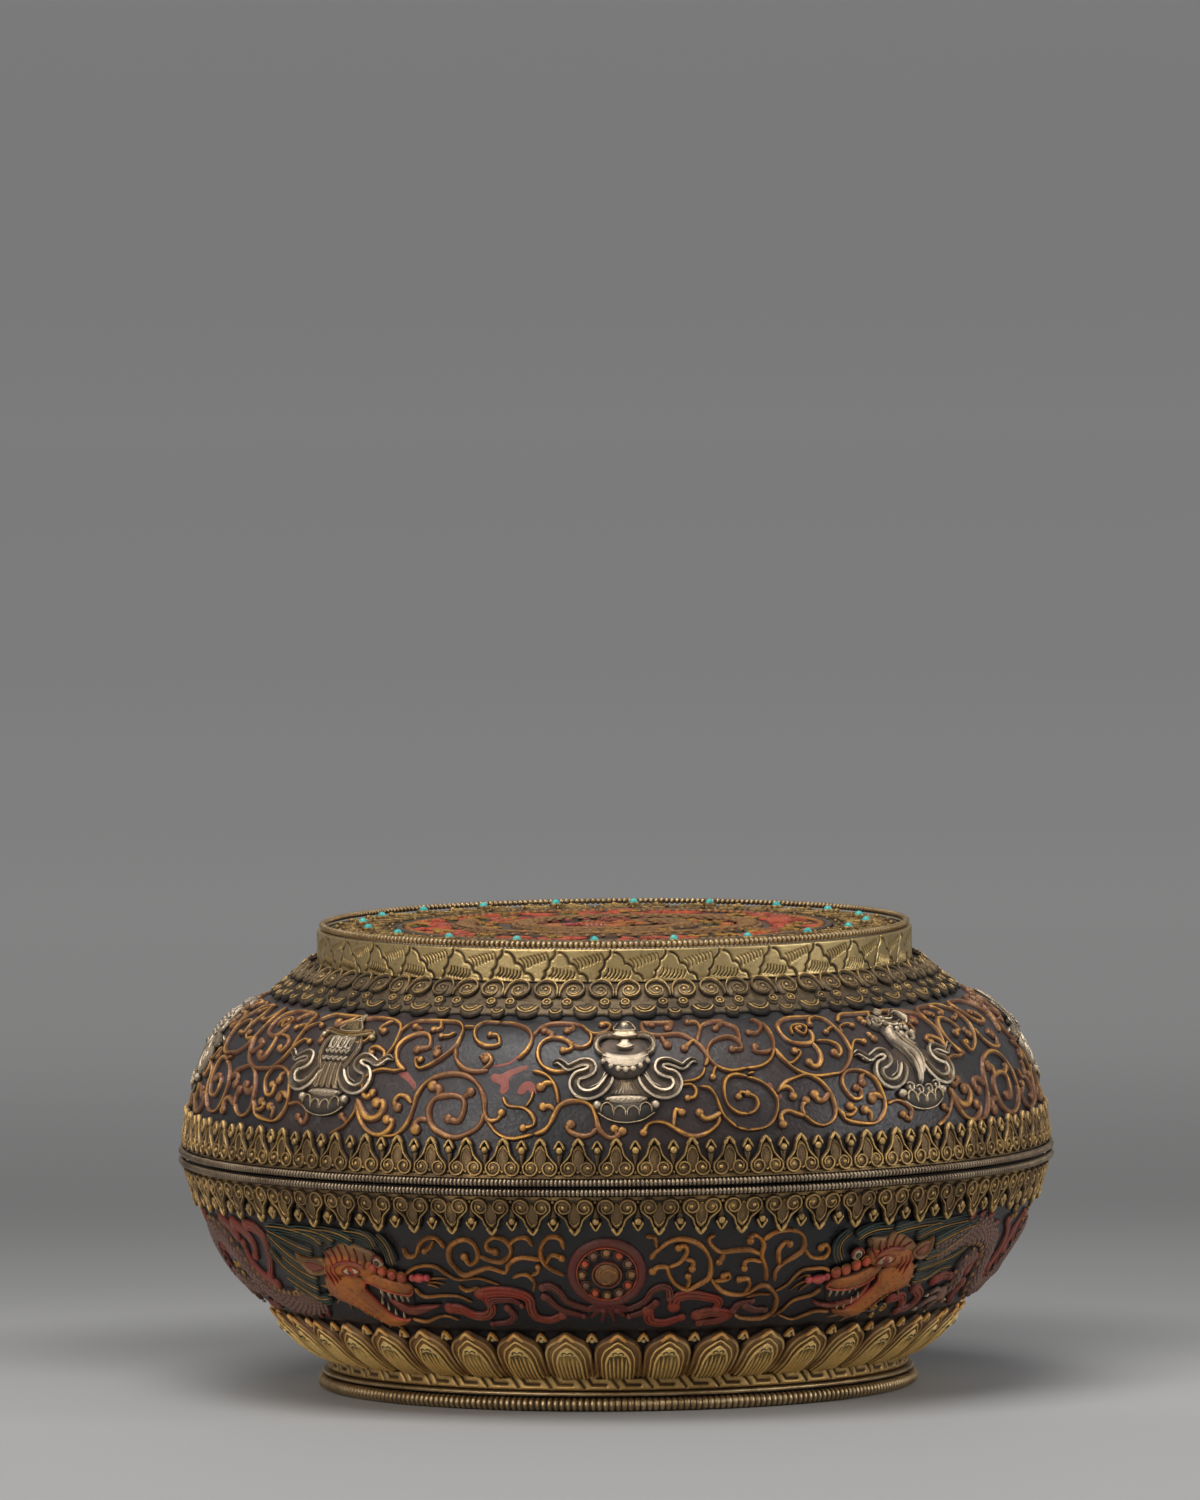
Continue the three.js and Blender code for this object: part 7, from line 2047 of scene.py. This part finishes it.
def stones():
    rng = random.Random(5)
    for number in range(topLook["stones"]):
        node = "stone_%02d" % (number + 1)
        low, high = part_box(node)
        foot = ((low.x + high.x) / 2, (low.y + high.y) / 2, low.z)
        radius = (high.z - low.z) * 0.82
        bpy.ops.mesh.primitive_uv_sphere_add(segments=24, ring_count=12, radius=radius, location=foot)
        stone = bpy.context.object
        stone.name = "turquoise_%02d" % (number + 1)
        bpy.ops.object.mode_set(mode="EDIT")
        bpy.ops.mesh.select_all(action="SELECT")
        bpy.ops.mesh.bisect(plane_co=foot, plane_no=(0, 0, 1), use_fill=True, clear_inner=True)
        bpy.ops.mesh.select_all(action="SELECT")
        height = (high.z - low.z) / radius * rng.uniform(0.9, 0.99)
        size = (rng.uniform(0.94, 1.0), rng.uniform(0.94, 1.0), height)
        bpy.ops.transform.resize(value=size, center_override=foot)
        bpy.ops.object.mode_set(mode="OBJECT")
        bpy.ops.object.transform_apply(location=True, rotation=True, scale=True)
        settle(stone, "turquoiseStone", "lid", [node], angle=50)


topDisc()
topDragon()
topRing()
stones()
report("top of the lid")


# Stage, lights and camera
scene = bpy.context.scene
scene.view_settings.view_transform = "Standard"

stageLook = {
    "radius": 12.0, "shade": (6.2, 9.5, 0.0), "shadeMiddle": (0.0, -0.95, 0.0),
    # the floor's greys are painted light and shade: light just in front of the box, a painted shade band
    # about half a metre behind it, then lighter again far behind
    "greys": [  # metres behind the box, and the floor's grey there
        (-0.12, 166), (-0.04, 171), (0.09, 158), (0.22, 137), (0.36, 118), (0.52, 108), (0.93, 132),
        (1.4, 147), (2.1, 160), (3.0, 174), (4.2, 190), (9.7, 206),
    ],
}


def paleFloor():
    bpy.ops.mesh.primitive_circle_add(vertices=96, radius=stageLook["radius"], fill_type="NGON")
    floor = bpy.context.object
    floor.name = "pale_floor"
    material, tree, shader = startMaterial("plainFloor")
    place = objectPlace(tree)
    behind = addNode(tree, "ShaderNodeSeparateXYZ", {0: place}).outputs["Y"]
    start, end = -1.0, 11.0
    share = addNode(tree, "ShaderNodeMapRange", {"Value": behind, "From Min": start,
                                                 "From Max": end}).outputs[0]
    ramp = addNode(tree, "ShaderNodeValToRGB", {0: share})
    ramp.color_ramp.interpolation = "CARDINAL"
    stops = ramp.color_ramp.elements
    stops.remove(stops[0])
    for number, (spot, grey) in enumerate(stageLook["greys"]):
        stop = stops.new((spot - start) / (end - start)) if number else stops[0]
        stop.position = (spot - start) / (end - start)
        stop.color = (*tone(grey, grey, grey), 1.0)
    cloudy = addNode(tree, "ShaderNodeTexNoise", {"Vector": place, "Scale": 3.0, "Detail": 3.0})
    uneven = blend(tree, times(tree, cloudy.outputs[0], 0.05), ramp.outputs[0], tone(178, 178, 178))
    beside = addNode(tree, "ShaderNodeVectorMath", {0: place, 1: stageLook["shade"],
                                                    2: stageLook["shadeMiddle"]},
                     operation="MULTIPLY_ADD").outputs[0]
    away = addNode(tree, "ShaderNodeVectorMath", {0: beside}, operation="LENGTH").outputs["Value"]
    shaded = blend(tree, between(tree, away, 1.15, 0.4, 0.0, 0.62), uneven, tone(70, 70, 70))
    connect(tree, shader, Base_Color=shaded, Roughness=0.6)
    floor.data.materials.append(material)


def studioLight(name, place, size, power, colour):
    data = bpy.data.lights.new(name, "AREA")
    data.shape = "RECTANGLE"
    data.size, data.size_y = size
    data.energy = power
    data.color = colour
    lamp = bpy.data.objects.new(name, data)
    bpy.context.collection.objects.link(lamp)
    lamp.location = place
    aim = np.array([0, 0, 0.05]) - np.array(place)
    lamp.rotation_euler = Vector(aim).to_track_quat("-Z", "Y").to_euler()


def studio():
    paleFloor()
    studioLight("overhead", (-0.3, -0.5, 2.6), (1.8, 1.4), 46.0, (1.0, 0.98, 0.95))
    studioLight("frontLeft", (-2.2, -2.6, 1.6), (1.2, 1.2), 40.0, (1.0, 0.97, 0.94))
    studioLight("rightSide", (2.8, -0.6, 1.2), (0.9, 1.2), 26.0, (0.94, 0.97, 1.0))
    world = bpy.data.worlds.new("studioAir")
    scene.world = world
    world.use_nodes = True
    tree = world.node_tree
    way = addNode(tree, "ShaderNodeTexCoord").outputs["Generated"]
    height = addNode(tree, "ShaderNodeSeparateXYZ", {0: way}).outputs["Z"]
    sky = blend(tree, between(tree, height, -0.1, 0.9), tone(156, 155, 154), tone(196, 196, 198))
    tree.nodes["Background"].inputs["Strength"].default_value = 0.58
    tree.links.new(sky, tree.nodes["Background"].inputs["Color"])


cameraLook = {"distance": 5.0, "elevation": 4.9, "aimAbove": 1.0545, "lens": 521.6, "roll": 0.5}


def camera():
    data = bpy.data.cameras.new("camera")
    data.lens = cameraLook["lens"]
    data.clip_end = 60.0
    eye = bpy.data.objects.new("camera", data)
    bpy.context.collection.objects.link(eye)
    centre = (cadBounds[0][2] + cadBounds[1][2]) / 2
    tilt = math.radians(cameraLook["elevation"])
    eye.location = (0, -cameraLook["distance"] * math.cos(tilt),
                    centre + cameraLook["distance"] * math.sin(tilt))
    pitch = math.radians(90 - cameraLook["elevation"] + cameraLook["aimAbove"])
    eye.rotation_euler = (pitch, math.radians(cameraLook["roll"]), 0)
    scene.camera = eye


studio()
camera()
report("stage, lights and camera")
